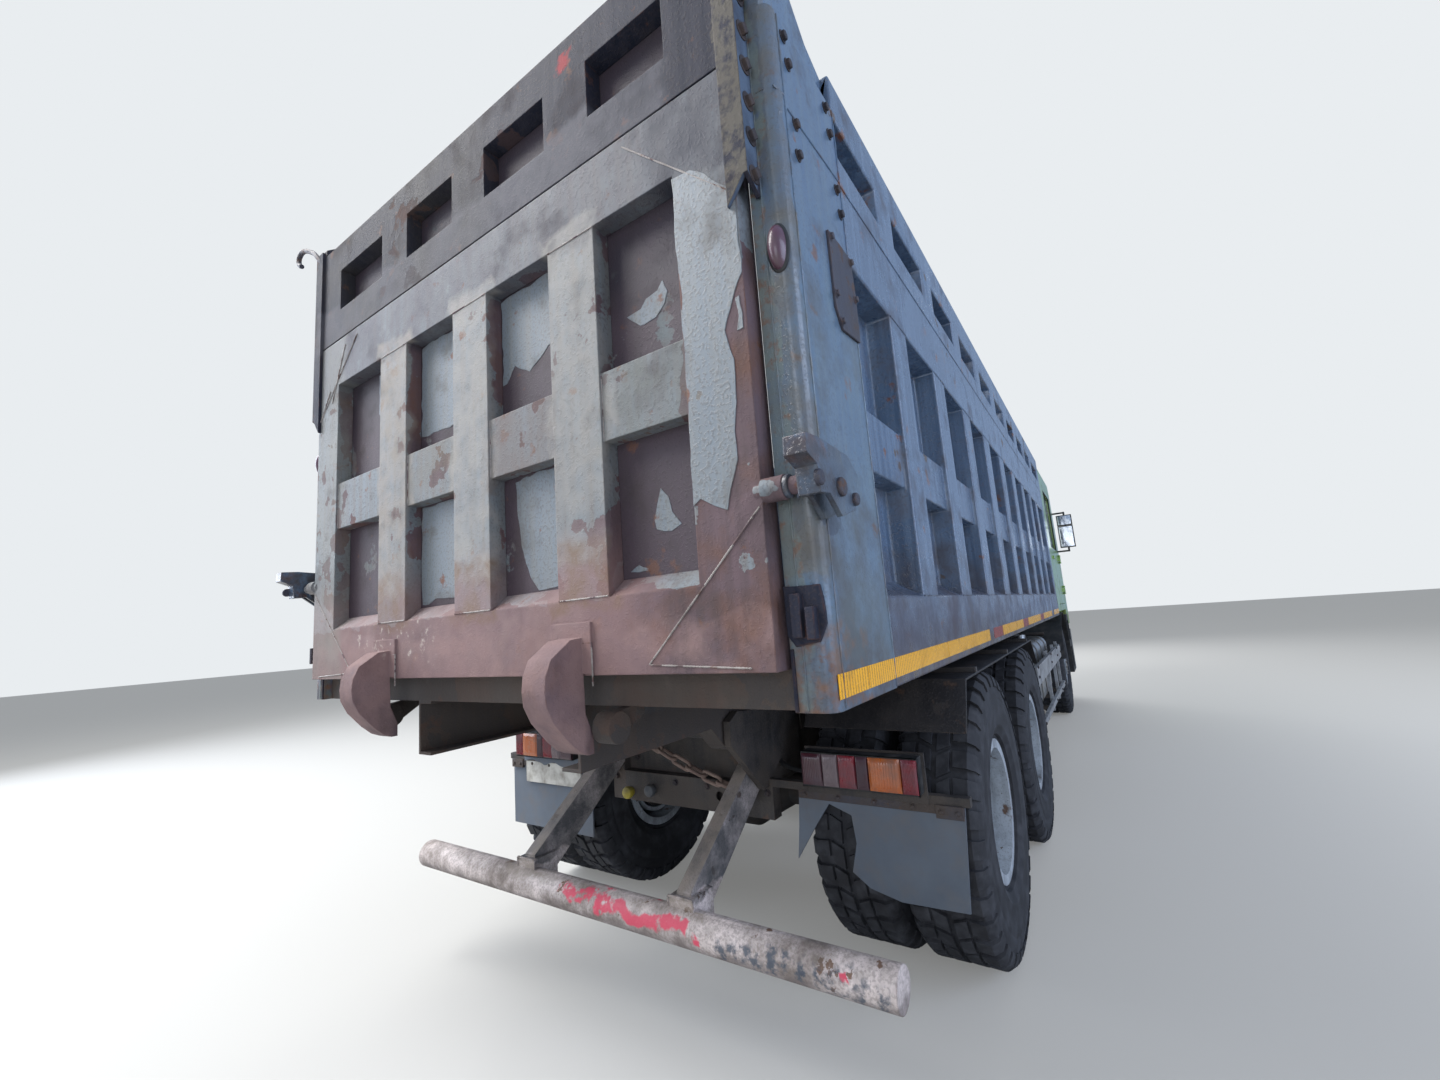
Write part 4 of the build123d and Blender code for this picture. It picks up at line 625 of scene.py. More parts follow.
@dataclass(frozen=True)
class Overlay:
    """Paint, rust, dust, painted shade or painted light that covers part of a box of the surface and breaks up into
    flecks.
    """

    low: Point
    high: Point
    colour: str
    share: float = 0.5
    size: float = 60 * MM
    soft: float = 0.03
    strength: float = 1.0
    fade: float = 0.05
    facing: Point = (0.0, 0.0, 0.0)

    def laid(self, tree: bpy.types.NodeTree, coords: Any, shaky: Any, colour: Any) -> Any:
        """The colour socket with this overlay laid over it."""
        inside = zone(tree, shaky, self.low, self.high, self.soft)
        flecks = patches(tree, coords, self.size, self.share, self.fade)
        mask = add_node(tree, "Math", {"operation": "MULTIPLY"}, {0: inside, 1: flecks})
        if any(self.facing):
            normal = add_node(tree, "NewGeometry").outputs["Normal"]
            toward = add_node(tree, "VectorMath", {"operation": "DOT_PRODUCT", 1: self.facing}, {0: normal})
            toward = add_node(tree, "MapRange", {"From Min": 0.5, "From Max": 0.7}, {0: toward.outputs["Value"]})
            mask = add_node(tree, "Math", {"operation": "MULTIPLY"}, {0: mask, 1: toward})
        return blended(tree, mask, colour, self.colour, self.strength)


def overlays(rows: Iterable[tuple[Any, ...]]) -> tuple[Overlay, ...]:
    """Overlays from rows of their fields."""
    return tuple(Overlay(*row) for row in rows)


class Pattern:
    """Sizes in metres of what the eye sees on weathered paint, and cosines between which an edge counts as arris."""

    SHADE = 0.55
    SHADE_PLAIN = 0.25
    RAIN = 30 * MM
    RAIN_STRETCH = (1.0, 1.0, 22.0)
    WEAR = 60 * MM
    SPOTS = 90 * MM
    PRIMER_RUST = 0.14
    MUD = 0.16
    DUST = 70 * MM
    TAPE_DIRT = 0.11
    ARRIS = (0.995, 0.93)
    WANDER = 0.12


@dataclass(frozen=True)
class SteelPaint:
    """Alkyd paint sprayed on rolled steel, aged outdoors: chalky top coat, primer where it peels, rust at edges.

    The eye sees slow shifts of shade, sharp-edged peeled patches, rain streaks down the plates, rust that starts
    at arrises and dust or mud low down. On some finishes the zones and overlays also carry painted shade and light.
    """

    name: str
    top: str
    top_shade: str
    primer: str
    rust: str
    streak: str
    dirt: str = "#4a4038"
    peel: float = 0.12
    peel_size: float = 0.35
    streaks: float = 0.35
    rusting: float = 0.3
    dirt_share: float = 0.15
    dirt_z: Pair = (0.4, 1.6)
    speckle: float = 0.25
    roughness: float = 0.5
    coat: float = 0.0
    edge: float = 5 * MM
    speck: float = 9 * MM
    ior: float = 1.5
    zones: tuple[Zone, ...] = ()
    overlays: tuple[Overlay, ...] = ()

    def shaken(self, tree: bpy.types.NodeTree, coords: Any) -> Any:
        """Coordinates that wander by some centimetres, so that the zones' borders aren't straight."""
        wobble = add_node(tree, "TexNoise", {"Scale": 9.0, "Detail": 5.0}, {"Vector": coords}).outputs[1]
        wobble = add_node(tree, "VectorMath", {"operation": "SUBTRACT", 1: (0.5, 0.5, 0.5)}, {0: wobble})
        return add_node(tree, "VectorMath", {"operation": "MULTIPLY_ADD", 1: (Pattern.WANDER,) * 3},
                        {0: wobble, 2: coords}).outputs[0]

    def zone_bias(self, tree: bpy.types.NodeTree, shaky: Any) -> Any:
        """What the zones add to the peeling, as one socket, or None."""
        bias = None
        for part in self.zones:
            inside = zone(tree, shaky, part.low, part.high, part.soft)
            gain = add_node(tree, "Math", {"operation": "MULTIPLY", 1: part.gain}, {0: inside})
            bias = gain if bias is None else add_node(tree, "Math", {}, {0: bias, 1: gain})
        return bias

    def rusty_places(self, tree: bpy.types.NodeTree, coords: Any, rounded: Any) -> Any:
        """Mask of rust at the arrises, where the rounded normal leaves the face's own, and in scattered spots."""
        flat = add_node(tree, "NewGeometry").outputs["Normal"]
        turn = add_node(tree, "VectorMath", {"operation": "DOT_PRODUCT"}, {0: rounded, 1: flat}).outputs["Value"]
        arris = add_node(tree, "MapRange", {"From Min": Pattern.ARRIS[0], "From Max": Pattern.ARRIS[1]}, {0: turn})
        wear = patches(tree, coords, Pattern.WEAR, self.rusting, 0.1, 5.0)
        arris = add_node(tree, "Math", {"operation": "MULTIPLY"}, {0: arris, 1: wear})
        spots = patches(tree, coords, Pattern.SPOTS, self.rusting * 0.16, 0.03)
        return add_node(tree, "Math", {"operation": "MAXIMUM"}, {0: arris, 1: spots})

    def low_mud(self, tree: bpy.types.NodeTree, coords: Any, shaky: Any) -> Any:
        """Mask of mud, which thickens from the upper to the lower height of dirt_z."""
        height = add_node(tree, "SeparateXYZ", {}, {0: shaky}).outputs[2]
        low = add_node(tree, "MapRange", {"From Min": self.dirt_z[1], "From Max": self.dirt_z[0]}, {0: height})
        more = add_node(tree, "Math", {"operation": "MULTIPLY", 1: 0.28}, {0: low})
        return patches(tree, coords, Pattern.MUD, self.dirt_share, 0.12, bias=more)

    def material(self) -> bpy.types.Material:
        """The finish as a Blender material."""
        made, tree, coords = new_material(self.name)
        shaky = self.shaken(tree, coords)
        bias = self.zone_bias(tree, shaky)
        peeled, lifting = (patches(tree, coords, self.peel_size, self.peel, soft, 7.0, bias=bias)
                           for soft in (0.006, 0.02))
        shade = patches(tree, coords, Pattern.SHADE, 0.5, 0.22, 4.0)
        rain = patches(tree, coords, Pattern.RAIN, self.streaks, 0.16, 3.0, Pattern.RAIN_STRETCH)
        specks = patches(tree, coords, self.speck, self.speckle, 0.06, 3.0)
        rust_in_primer = patches(tree, coords, Pattern.PRIMER_RUST, self.rusting * 0.7, 0.16, 5.0)
        rounded = add_node(tree, "Bevel", {"samples": 4, "Radius": self.edge})
        mud = self.low_mud(tree, coords, shaky)
        colour = blended(tree, shade, self.top, self.top_shade)
        colour = blended(tree, rain, colour, self.streak, 0.55)
        colour = blended(tree, specks, colour, self.dirt, 0.35)
        under = blended(tree, rust_in_primer, self.primer, self.rust)
        under = blended(tree, rain, under, self.dirt, 0.4)
        colour = blended(tree, peeled, colour, under)
        lip = add_node(tree, "Math", {"operation": "SUBTRACT"}, {0: lifting, 1: peeled})
        lip = add_node(tree, "Math", {"operation": "MULTIPLY", 1: 0.6, "use_clamp": True}, {0: lip})
        colour = blended(tree, lip, colour, self.top)
        colour = blended(tree, self.rusty_places(tree, coords, rounded), colour, self.rust)
        colour = blended(tree, mud, colour, self.dirt, 0.8)
        for part in self.overlays:
            colour = part.laid(tree, coords, shaky, colour)
        worn = add_node(tree, "Math", {"operation": "MAXIMUM"}, {0: peeled, 1: mud})
        rough = add_node(tree, "MapRange", {"To Min": self.roughness, "To Max": 0.8}, {0: worn})
        relief = add_node(tree, "Math", {"operation": "MULTIPLY_ADD", 1: -0.7}, {0: peeled, 2: specks})
        bump = add_node(tree, "Bump", {"Strength": 0.5, "Distance": 1.2 * MM}, {"Height": relief, "Normal": rounded})
        set_shader(tree, {"IOR": self.ior, "Coat Weight": self.coat, "Coat Roughness": 0.2},
                   {"Base Color": colour, "Roughness": rough, "Normal": bump})
        return made


@dataclass(frozen=True)
class Plain:
    """Moulded, cast or drawn material with a fine grain and a share of dust lying on it."""

    name: str
    colour: str
    shade: str
    dust: str = "#6b6258"
    dusty: float = 0.25
    grain: float = 3 * MM
    relief: float = 0.3
    roughness: float = 0.5
    metallic: float = 0.0
    coat: float = 0.0
    edge: float = 2 * MM
    transmission: float = 0.0
    ior: float = 1.5
    alpha: float = 1.0

    def material(self) -> bpy.types.Material:
        """The finish as a Blender material; metals keep the shader's own index of refraction."""
        made, tree, coords = new_material(self.name)
        shade = patches(tree, coords, Pattern.SHADE_PLAIN, 0.5, 0.2, 4.0)
        settled = patches(tree, coords, Pattern.DUST, self.dusty, 0.14)
        settled = add_node(tree, "Math", {"operation": "MULTIPLY", 1: 0.75}, {0: settled})
        colour = blended(tree, settled, blended(tree, shade, self.colour, self.shade), self.dust)
        rough = add_node(tree, "MapRange", {"To Min": self.roughness, "To Max": min(1.0, self.roughness + 0.35)},
                         {0: settled})
        links = {"Height": add_node(tree, "TexNoise", {"Scale": 1 / self.grain, "Detail": 3.0}, {"Vector": coords})}
        if self.edge:
            links["Normal"] = add_node(tree, "Bevel", {"samples": 4, "Radius": self.edge})
        bump = add_node(tree, "Bump", {"Strength": self.relief, "Distance": 0.6 * MM}, links)
        values = {"Metallic": self.metallic, "Coat Weight": self.coat, "Transmission Weight": self.transmission,
                  "Alpha": self.alpha}
        if not self.metallic:
            values["IOR"] = self.ior
        set_shader(tree, values, {"Base Color": colour, "Roughness": rough, "Normal": bump})
        return made


@dataclass(frozen=True)
class ReflectiveTape:
    """Prismatic vinyl tape: bright cells between thin wavy darker lines, with road dirt at its edges."""

    name: str
    colour: str
    line: str
    pitch: float = 16 * MM

    def material(self) -> bpy.types.Material:
        """The finish as a Blender material."""
        made, tree, coords = new_material(self.name)
        wave = add_node(tree, "TexWave", {"wave_type": "BANDS", "bands_direction": "X", "Scale": 0.314 / self.pitch,
                                          "Distortion": 2.2, "Detail": 1.0, "Detail Scale": 14.0}, {"Vector": coords})
        lines = add_node(tree, "MapRange", {"From Min": 0.18, "From Max": 0.34, "To Min": 1.0, "To Max": 0.0},
                         {0: wave.outputs["Fac"]})
        dirt = patches(tree, coords, Pattern.TAPE_DIRT, 0.2, 0.1)
        colour = blended(tree, dirt, blended(tree, lines, self.colour, self.line), "#6b5a44", 0.5)
        rough = add_node(tree, "MapRange", {"To Min": 0.25, "To Max": 0.7}, {0: dirt})
        set_shader(tree, {"Coat Weight": 0.1}, {"Base Color": colour, "Roughness": rough})
        return made


class Palette:
    """All finishes of the truck, each made once, when it is first asked for.

    Places of zones and overlays are in metres. The gate's face and half width and the posts' rear face carry them.
    """

    def __init__(self) -> None:
        """Lists the finishes."""
        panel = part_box("gate_panel")
        self.face, self.half, self.panel_x = panel[0].x - 60 * MM, panel[1].y, panel[0].x
        self.recipes: dict[str, Any] = {**self.gate_paints(), **self.body_paints(), **self.chassis_paints(),
                                        **self.plain_finishes()}
        self.made: dict[str, bpy.types.Material] = {}

    def __getitem__(self, name: str) -> bpy.types.Material:
        """The material of one finish."""
        if name not in self.made:
            self.made[name] = self.recipes[name].material()
        return self.made[name]

    def gate_paints(self) -> dict[str, SteelPaint]:
        """Paints of the tailgate."""
        face, half, px = self.face, self.half, POST_FACE_X
        zones = [Zone(*row) for row in (
            ((face - 0.2, -half - 0.2, 0.9), (self.panel_x, half + 0.2, 1.508), 0.36, 0.012),
            ((face - 0.01, -half - 0.2, 1.49), (px + 1, -half + 0.19, 2.3), 0.3, 0.02),
            # The third zone bares more primer on the recesses' flanks: partly peeling, partly painted shade in the
            # recesses.
            ((face + 0.012, -half, 1.52), (px + 1, half, 2.56), 0.14, 0.004),
            ((face - 0.01, -0.66, 1.49), (face + 0.02, -0.45, 1.72), 0.1, 0.03),
            ((face - 0.004, -0.92, 1.6), (face + 0.004, 0.92, 2.5), -0.16, 0.02),
            ((face - 0.004, -1.0, 2.57), (face + 0.004, 1.1, 2.784), -0.06, 0.02))]
        columns = ((-0.545, "#918f8b"), (-0.037, "#9b9791"), (0.47, "#958e86"))
        rows = [((face - 0.01, -half, 2.55), (px + 1, half, 2.8), "#413f49", 0.82, 0.2, 0.03, 0.9, 0.3),
                ((face - 0.01, -1.2, 2.44), (px, -0.88, 2.8), "#2d313e", 0.85, 0.2, 0.06, 0.85, 0.25),
                ((face - 0.01, -0.7, 1.28), (px + 1, half, 1.57), "#846b6b", 0.92, 0.3, 0.16, 0.85, 0.3),
                ((face - 0.01, -0.5, 1.4), (px + 1, half, 1.57), "#978381", 0.4, 0.12, 0.08, 0.5, 0.2),
                ((face - 0.01, 0.2, 1.38), (px + 1, 0.7, 1.5), "#b9b2ab", 0.1, 0.03, 0.03, 0.8),
                ((face - 0.5, -half, 0.95), (face - 0.012, half, 1.42), "#8c7371", 0.55, 0.1, 0.03, 0.8, 0.2),
                ((face - 0.01, 0.9, 1.3), (px, 1.2, 2.8), "#84857f", 0.6, 0.2, 0.05, 0.6, 0.25)]
        rows += [((face - 0.004, low, 1.9), (face + 0.02, high, 2.14), tone, share, 0.14, 0.02, strength, 0.2)
                 for low, high, tone, share, strength in ((-0.45, -0.13, "#675b56", 0.65, 0.7),
                                                          (-0.94, -0.64, "#686c69", 0.6, 0.7),
                                                          (0.06, 0.37, "#6f6b62", 0.6, 0.6))]
        rows += [((face - 0.004, y - 0.11, 1.62), (face + 0.003, y + 0.11, 2.6), tone, 0.8, 0.16, 0.03, 0.75, 0.25)
                 for y, tone in columns]
        rows += [((face - 0.004, y - 0.11, 1.5), (face + 0.003, y + 0.11, 1.66), "#76604f", 0.55, 0.09, 0.03, 0.8, 0.12)
                 for y, _ in columns]
        # Painted shade: the two dark overlays on the recess panel darken it under the beam and behind the extension.
        inside = [((face, -half, 2.4), (px + 1, half, 2.6), "#241f28", 0.95, 0.2, 0.14, 0.75, 0.3),
                  ((face, -half, 2.85), (px + 1, half, 3.2), "#241f28", 0.9, 0.2, 0.1, 0.7, 0.3)]
        top = [((face - 0.01, -0.9, 2.78), (px, half, 2.93), "#5f5f67", 0.85, 0.16, 0.04, 0.85, 0.25),
               ((face - 0.01, 0.0, 2.78), (px, half, 3.3), "#4b4843", 0.5, 0.2, 0.2, 0.6, 0.25),
               ((face - 0.01, -0.56, 3.15), (px, -0.53, 3.2), "#8a2630", 0.5, 0.05, 0.01),
               ((face - 0.1, -1.2, 2.3), (px - 0.04, -1.09, 3.4), "#5f5b54", 0.62, 0.03, 0.004, 0.85, 0.08, REARWARDS),
               # Painted sky light: blue-grey laid only on the strip's faces that point right, where blue light from the
               # sky falls.
               ((face - 0.1, -1.2, 2.3), (px, -1.1, 3.4), "#62758c", 0.85, 0.1, 0.004, 0.7, 0.2, (0.0, -1.0, 0.0))]
        return {
            "gate": SteelPaint(
                "alkyd_grey_green_on_primer", "#7b848b", "#6a7279", "#65545a", "#6b4a3a", "#6e6660", "#443b3c",
                peel=0.07, peel_size=0.24, streaks=0.4, rusting=0.2, dirt_share=0.03, speckle=0.3, roughness=0.6,
                ior=1.4, zones=tuple(zones), overlays=overlays(rows)),
            "gate_flake": SteelPaint(
                "alkyd_grey_flake_on_filler", "#78828b", "#6d7780", "#74726f", "#6b4534", "#7c7d7a", "#57504a",
                peel=0.0, streaks=0.3, rusting=0.05, dirt_share=0.02, speckle=0.34, edge=1.5 * MM),
            "gate_inside": SteelPaint(
                "alkyd_primer_scoured_with_painted_shade", "#4b3e46", "#3e333b", "#6b7377", "#5f4238", "#3f363b", "#3a3233",
                peel=0.1, peel_size=0.2, roughness=0.6, dirt_share=0.08, overlays=overlays(inside)),
            "gate_top": SteelPaint(
                "alkyd_grey_mauve_on_primer_with_painted_sky_light", "#272b3a", "#212531", "#4b3f43", "#5f4238", "#41404a", "#403a3c",
                peel=0.1, peel_size=0.3, streaks=0.4, rusting=0.25, dirt_share=0.05, speckle=0.3, roughness=0.62,
                ior=1.22, zones=(Zone((face - 0.1, -1.3, 2.3), (px + 0.01, -1.09, 3.4), -0.1, 0.01),),
                overlays=overlays(top)),
            "seam": SteelPaint(
                "pale_weld_scale", "#a29c98", "#8b8482", "#65545a", "#6b4534", "#7c7570", peel=0.35, peel_size=0.08,
                streaks=0.2, dirt_share=0.05, roughness=0.55, edge=0.5 * MM),
        }

    def body_paints(self) -> dict[str, SteelPaint]:
        """Paints of the load body, its rear posts and the cab."""
        px = POST_FACE_X
        side = [((px, -1.3, 1.2), (px + 9, 1.3, 1.46), "#393343", 0.7, 0.3, 0.05, 0.85, 0.2),
                ((px, -1.3, 1.2), (px + 9, 1.3, 1.26), "#4c4038", 0.45, 0.05, 0.02, 0.8, 0.1),
                ((px, -1.21, 1.45), (px + 9, 1.21, 1.6), "#463b38", 0.42, 0.12, 0.06, 0.6, 0.15)]
        post = [((px - 0.02, -1.3, 1.5), (px + 0.04, 1.3, 3.0), "#5d5a53", 0.68, 0.12, 0.008, 0.9, 0.2),
                ((px - 0.02, -1.172, 1.2), (px + 0.02, 1.172, 3.0), "#6b7673", 0.62, 0.1, 0.006, 0.85, 0.2),
                ((px - 0.02, -1.172, 1.3), (px + 0.02, 1.172, 3.0), "#6d5140", 0.22, 0.03, 0.006, 0.8, 0.06),
                ((px - 0.02, -1.3, 1.2), (px + 0.2, 1.3, 1.38), "#6e4c36", 0.45, 0.06, 0.03, 0.9, 0.08),
                ((px + 0.05, -1.3, 1.3), (px + 0.45, 1.3, 2.3), "#6e7f83", 0.4, 0.3, 0.06, 0.5, 0.25),
                ((px - 0.2, -1.3, 1.6), (px + 0.16, -1.227, 1.8), "#3f4856", 0.8, 0.08, 0.001, 0.85, 0.2),
                ((px - 0.2, 1.227, 1.6), (px + 0.16, 1.3, 1.8), "#3f4856", 0.8, 0.08, 0.001, 0.85, 0.2),
                ((px - 0.2, -1.3, 1.72), (px - 0.085, 1.3, 1.8), "#5a4238", 0.5, 0.03, 0.01, 0.85, 0.15),
                ((px - 0.2, -1.3, 1.6), (px - 0.02, 1.3, 1.76), "#3d3a3d", 0.7, 0.04, 0.01, 0.85, 0.15)]
        return {
            # Blue-grey paint whose blue is partly the paint's own and partly painted reflection of the blue sky.
            "side": SteelPaint(
                "alkyd_blue_grey_wet_with_painted_sky_blue", "#4d627d", "#3e516a", "#5b5049", "#6b4534", "#7086a0", "#463f40", peel=0.01,
                streaks=0.42, rusting=0.12, dirt_share=0.05, dirt_z=(0.9, 1.7), roughness=0.25, coat=0.4,
                overlays=overlays(side)),
            # The posts' paint made blue: partly the paint's own tone, partly painted reflection of the blue sky.
            "post": SteelPaint(
                "alkyd_grey_green_streaked_with_painted_sky_blue", "#4c6a8c", "#51647c", "#564a46", "#6b4534", "#667a88", "#463f3c",
                peel=0.03, streaks=0.45, rusting=0.25, dirt_share=0.06, dirt_z=(1.1, 1.7), roughness=0.3, coat=0.3,
                zones=(Zone((px - 1, -1.3, 1.2), (px + 0.03, 1.3, 3.0), 0.04, 0.01),), overlays=overlays(post)),
            "bed": SteelPaint(
                "alkyd_blue_grey_scoured", "#3c434b", "#333940", "#5c554e", "#6b4534", "#504a45", "#423a35",
                peel=0.35, streaks=0.4, rusting=0.5, dirt_share=0.35, dirt_z=(1.3, 1.8)),
            "cab": SteelPaint(
                "two_pack_lime_green", "#729f2a", "#699624", "#84906f", "#6b4534", "#789649", "#6d7043", peel=0.0,
                streaks=0.3, rusting=0.04, dirt_share=0.0, dirt_z=(0.7, 1.5), roughness=0.28, coat=0.6,
                speckle=0.05),
        }

    def chassis_paints(self) -> dict[str, SteelPaint]:
        """Paints of the frame, the mudguards, the underride bar and the rims."""
        px = POST_FACE_X
        bar = [((px + 0.4, -1.2, 0.36), (px + 0.53, 1.2, 0.405), "#716867", 0.75, 0.1, 0.02, 0.7, 0.2),
               ((px + 0.4, -1.1, 0.4), (px + 0.5, -0.56, 0.46), "#3f4b5a", 0.42, 0.03, 0.015, 0.85, 0.06),
               ((px + 0.4, -0.44, 0.437), (px + 0.475, -0.05, 0.474), "#cf4a62", 0.66, 0.05, 0.008, 0.95),
               ((px + 0.4, -0.1, 0.45), (px + 0.475, 0.18, 0.48), "#cf4a62", 0.6, 0.04, 0.006, 0.95),
               ((px + 0.4, -0.5, 0.43), (px + 0.48, -0.47, 0.455), "#cf4a62", 0.6, 0.05, 0.005),
               ((px + 0.4, -1.0, 0.43), (px + 0.48, -0.975, 0.455), "#cf4a62", 0.7, 0.05, 0.004),
               # Painted shade: the struts under the bed are darkened nearly to black, and their faces that point
               # rearwards get a lighter brownish grey as painted light.
               ((px + 0.46, -0.5, 0.525), (px + 2, 0.5, 1.0), "#2c3134", 0.92, 0.2, 0.01, 0.9, 0.2),
               ((px + 0.4, -0.5, 0.5), (px + 2, 0.5, 1.0), "#8b8178", 0.8, 0.08, 0.02, 0.85, 0.2, (-0.93, 0.0, 0.36))]
        return {
            "frame": SteelPaint(
                "chassis_enamel_under_mud", "#2c2a2b", "#242324", "#3f3733", "#4c382c", "#423d3a", "#4a433e",
                streaks=0.3, rusting=0.4, dirt_share=0.26, dirt_z=(0.3, 1.1), roughness=0.6),
            # Near-black mudguards: partly their own dark enamel and mud, partly painted shade under the bed.
            "guard_panel": SteelPaint(
                "mudguard_enamel_under_mud_and_painted_shade", "#1e1c1f", "#19181b", "#2c2727", "#3f3028", "#2b2828", "#332e2c",
                peel=0.08, streaks=0.3, rusting=0.2, dirt_z=(0.3, 1.1), roughness=0.55),
            "bar": SteelPaint(
                "worn_grey_paint_on_tube_and_painted_shade", "#ded2cf", "#c8bebe", "#968379", "#6e5140", "#8d8580", "#5f554d",
                peel=0.1, peel_size=0.09, streaks=0.2, rusting=0.25, dirt_share=0.06, dirt_z=(0.3, 0.6),
                speckle=0.42, overlays=overlays(bar)),
            "rim": SteelPaint(
                "silver_wheel_enamel", "#b6c0ca", "#a4adb8", "#68615e", "#5f493c", "#6d7176", "#5a5b5f", peel=0.04,
                peel_size=0.06, streaks=0.2, rusting=0.2, dirt_share=0.1, dirt_z=(-0.1, 0.5), roughness=0.36,
                edge=3 * MM),
            "rusty": SteelPaint(
                "bare_plate_brown_rust", "#3a3b49", "#30303c", "#4e423e", "#5f4337", "#45454d", peel=0.2,
                peel_size=0.06, streaks=0.3, rusting=0.35, dirt_share=0.04, speckle=0.4, roughness=0.55),
        }

    def plain_finishes(self) -> dict[str, Any]:
        """Rubber, castings, plastics, glass, cloth and tape: colour, shade, dust, its share, grain, relief, gloss."""
        rows = {
            "tyre": ("vulcanised_rubber_dusty", "#1b1b1f", "#232429", "#484a50", 0.24, 4 * MM, 0.5, 0.75),
            "rubber": ("reclaimed_rubber_sheet", "#535c68", "#616a76", "#67686c", 0.25, 5 * MM, 0.5, 0.7),
            "cast": ("sand_cast_iron_dusty", "#2c2a2a", "#232223", "#433c37", 0.4, 5 * MM, 0.7, 0.7),
            "chain": ("rusty_forged_chain", "#76625a", "#61504a", "#8a7a70", 0.35, 3 * MM, 0.8, 0.8),
            "spring": ("oiled_spring_steel", "#2a2929", "#202020", "#433c37", 0.4, 5 * MM, 0.4, 0.6, 0.3),
            "black": ("moulded_black_polypropylene", "#1b1c1d", "#242526", "#4b4845", 0.2, 2 * MM, 0.4, 0.6),
            "grey": ("moulded_grey_polypropylene", "#4b4f54", "#42464b", "#5e5a56", 0.3, 2 * MM, 0.4, 0.55),
            "tank": ("rolled_aluminium_sheet", "#b9bbbc", "#a6a8a9", "#6b6258", 0.25, 8 * MM, 0.15, 0.34, 0.9),
            "steel": ("zinc_plated_steel", "#8f8c86", "#7b7873", "#5b4d41", 0.35, 3 * MM, 0.3, 0.4, 0.8),
            "bolt": ("rusty_bolt_steel", "#2f2a2e", "#272328", "#55463f", 0.3, 2 * MM, 0.6, 0.55, 0.2),
            "chrome": ("hard_chrome_rod", "#c9cacb", "#bfc0c1", "#6b6258", 0.08, 3 * MM, 0.05, 0.12, 1.0),
            "black_enamel": ("black_enamel_steel", "#191a1b", "#232323", "#4c433c", 0.3, 6 * MM, 0.2, 0.45),
            "silver": ("silver_enamel_steel", "#9a9ea3", "#888c91", "#5f5a56", 0.3, 6 * MM, 0.2, 0.42, 0.2),
            "lens_red": ("red_acrylic_lens", "#731a27", "#84202d", "#54434a", 0.35, 4 * MM, 0.3, 0.25, 0.0, 0.3),
            "lens_dark": ("dark_red_acrylic_lens", "#47202b", "#3c1a23", "#4c4048", 0.4, 4 * MM, 0.3, 0.3, 0.0, 0.3),
            "lens_orange": ("amber_acrylic_lens", "#a9562a", "#b3632f", "#6b544a", 0.25, 4 * MM, 0.3, 0.25, 0.0, 0.3),
            "lens_clear": ("clear_acrylic_lens", "#7f7074", "#6b5d62", "#5c5054", 0.4, 4 * MM, 0.3, 0.25, 0.0, 0.3),
            "marker": ("faded_red_acrylic_lens", "#5d3d4c", "#503342", "#4c4244", 0.2, 4 * MM, 0.2, 0.3, 0.0, 0.3),
            "mirror": ("silvered_mirror_glass", "#d5d8da", "#d5d8da", "#8a857a", 0.05, 20 * MM, 0.0, 0.05, 1.0),
            "dash": ("grained_dashboard_skin", "#2b2c2e", "#333436", "#5c564e", 0.12, 2 * MM, 0.6, 0.65),
            "fabric": ("woven_polyester_seat_cloth", "#3a3d42", "#34373c", "#4a4947", 0.05, 1.5 * MM, 0.9, 0.9, 0.0,
                       0.0, 0.0),
            "plate": ("blank_white_sheet_steel", "#c4c4bf", "#b3b2ac", "#6b6258", 0.3, 8 * MM, 0.1, 0.4),
            "yellow": ("moulded_yellow_polyamide", "#a89a34", "#8d8029", "#5c5340", 0.4, 3 * MM, 0.3, 0.5),
        }
        clear = {
            "glass": Plain("tinted_float_glass", "#9fb0ad", "#9fb0ad", "#8a857a", 0.05, 20 * MM, 0.0, 0.03,
                           edge=0.0, transmission=1.0, ior=1.45, alpha=0.55),
            "lamp_glass": Plain("clear_polycarbonate_lens", "#dfe4e6", "#dfe4e6", "#8a857a", 0.1, 20 * MM, 0.0, 0.05,
                                edge=0.0, transmission=0.9, ior=1.3, alpha=0.35),
            "tape_yellow": ReflectiveTape("yellow_prismatic_tape", "#f7b40a", "#b5800a"),
            "tape_red": ReflectiveTape("red_prismatic_tape", "#93262b", "#6b1a1f"),
        }
        return {**{key: Plain(*row) for key, row in rows.items()}, **clear}


PALETTE = Palette()

FINISH_NODES = {
    "frame": ("chassis_frame", "crossmembers", "rear_beam", "frame_brackets", "lamp_brackets"),
    "cast": ("front_axle", "drive_axles", "engine", "knuckle_left", "knuckle_right"),
    "black": ("step_guards", "grille", "mirrors"), "black_enamel": ("air_tanks", "exhaust", "hoist_barrels"),
    "chrome": ("hoist_stage_1", "hoist_stage_2", "hoist_stage_3", "hoist_rods"),
    "cab": ("cab_shell", "door_left", "door_right"), "dash": ("cab_interior", "dashboard"),
    "glass": ("cab_glass", "door_glass_left", "door_glass_right"), "lamp_glass": ("headlamps",),
    "side": ("side_wall_left", "side_wall_right", "side_extensions", "headboard"), "bed": ("bed_floor",),
    "post": ("rear_posts",), "gate_inside": ("gate_panel",), "gate": ("gate_frame",),
    "gate_top": ("gate_extension",), "bar": ("underride_guard",), "lens_red": ("tail_lamps",),
    "rubber": ("mud_flaps",), "guard_panel": ("rear_mudguards",), "tank": ("fuel_tank",), "silver": ("side_guards",),
    "spring": ("leaf_springs",), "grey": ("front_bumper",), "chain": ("tow_chain",),
}
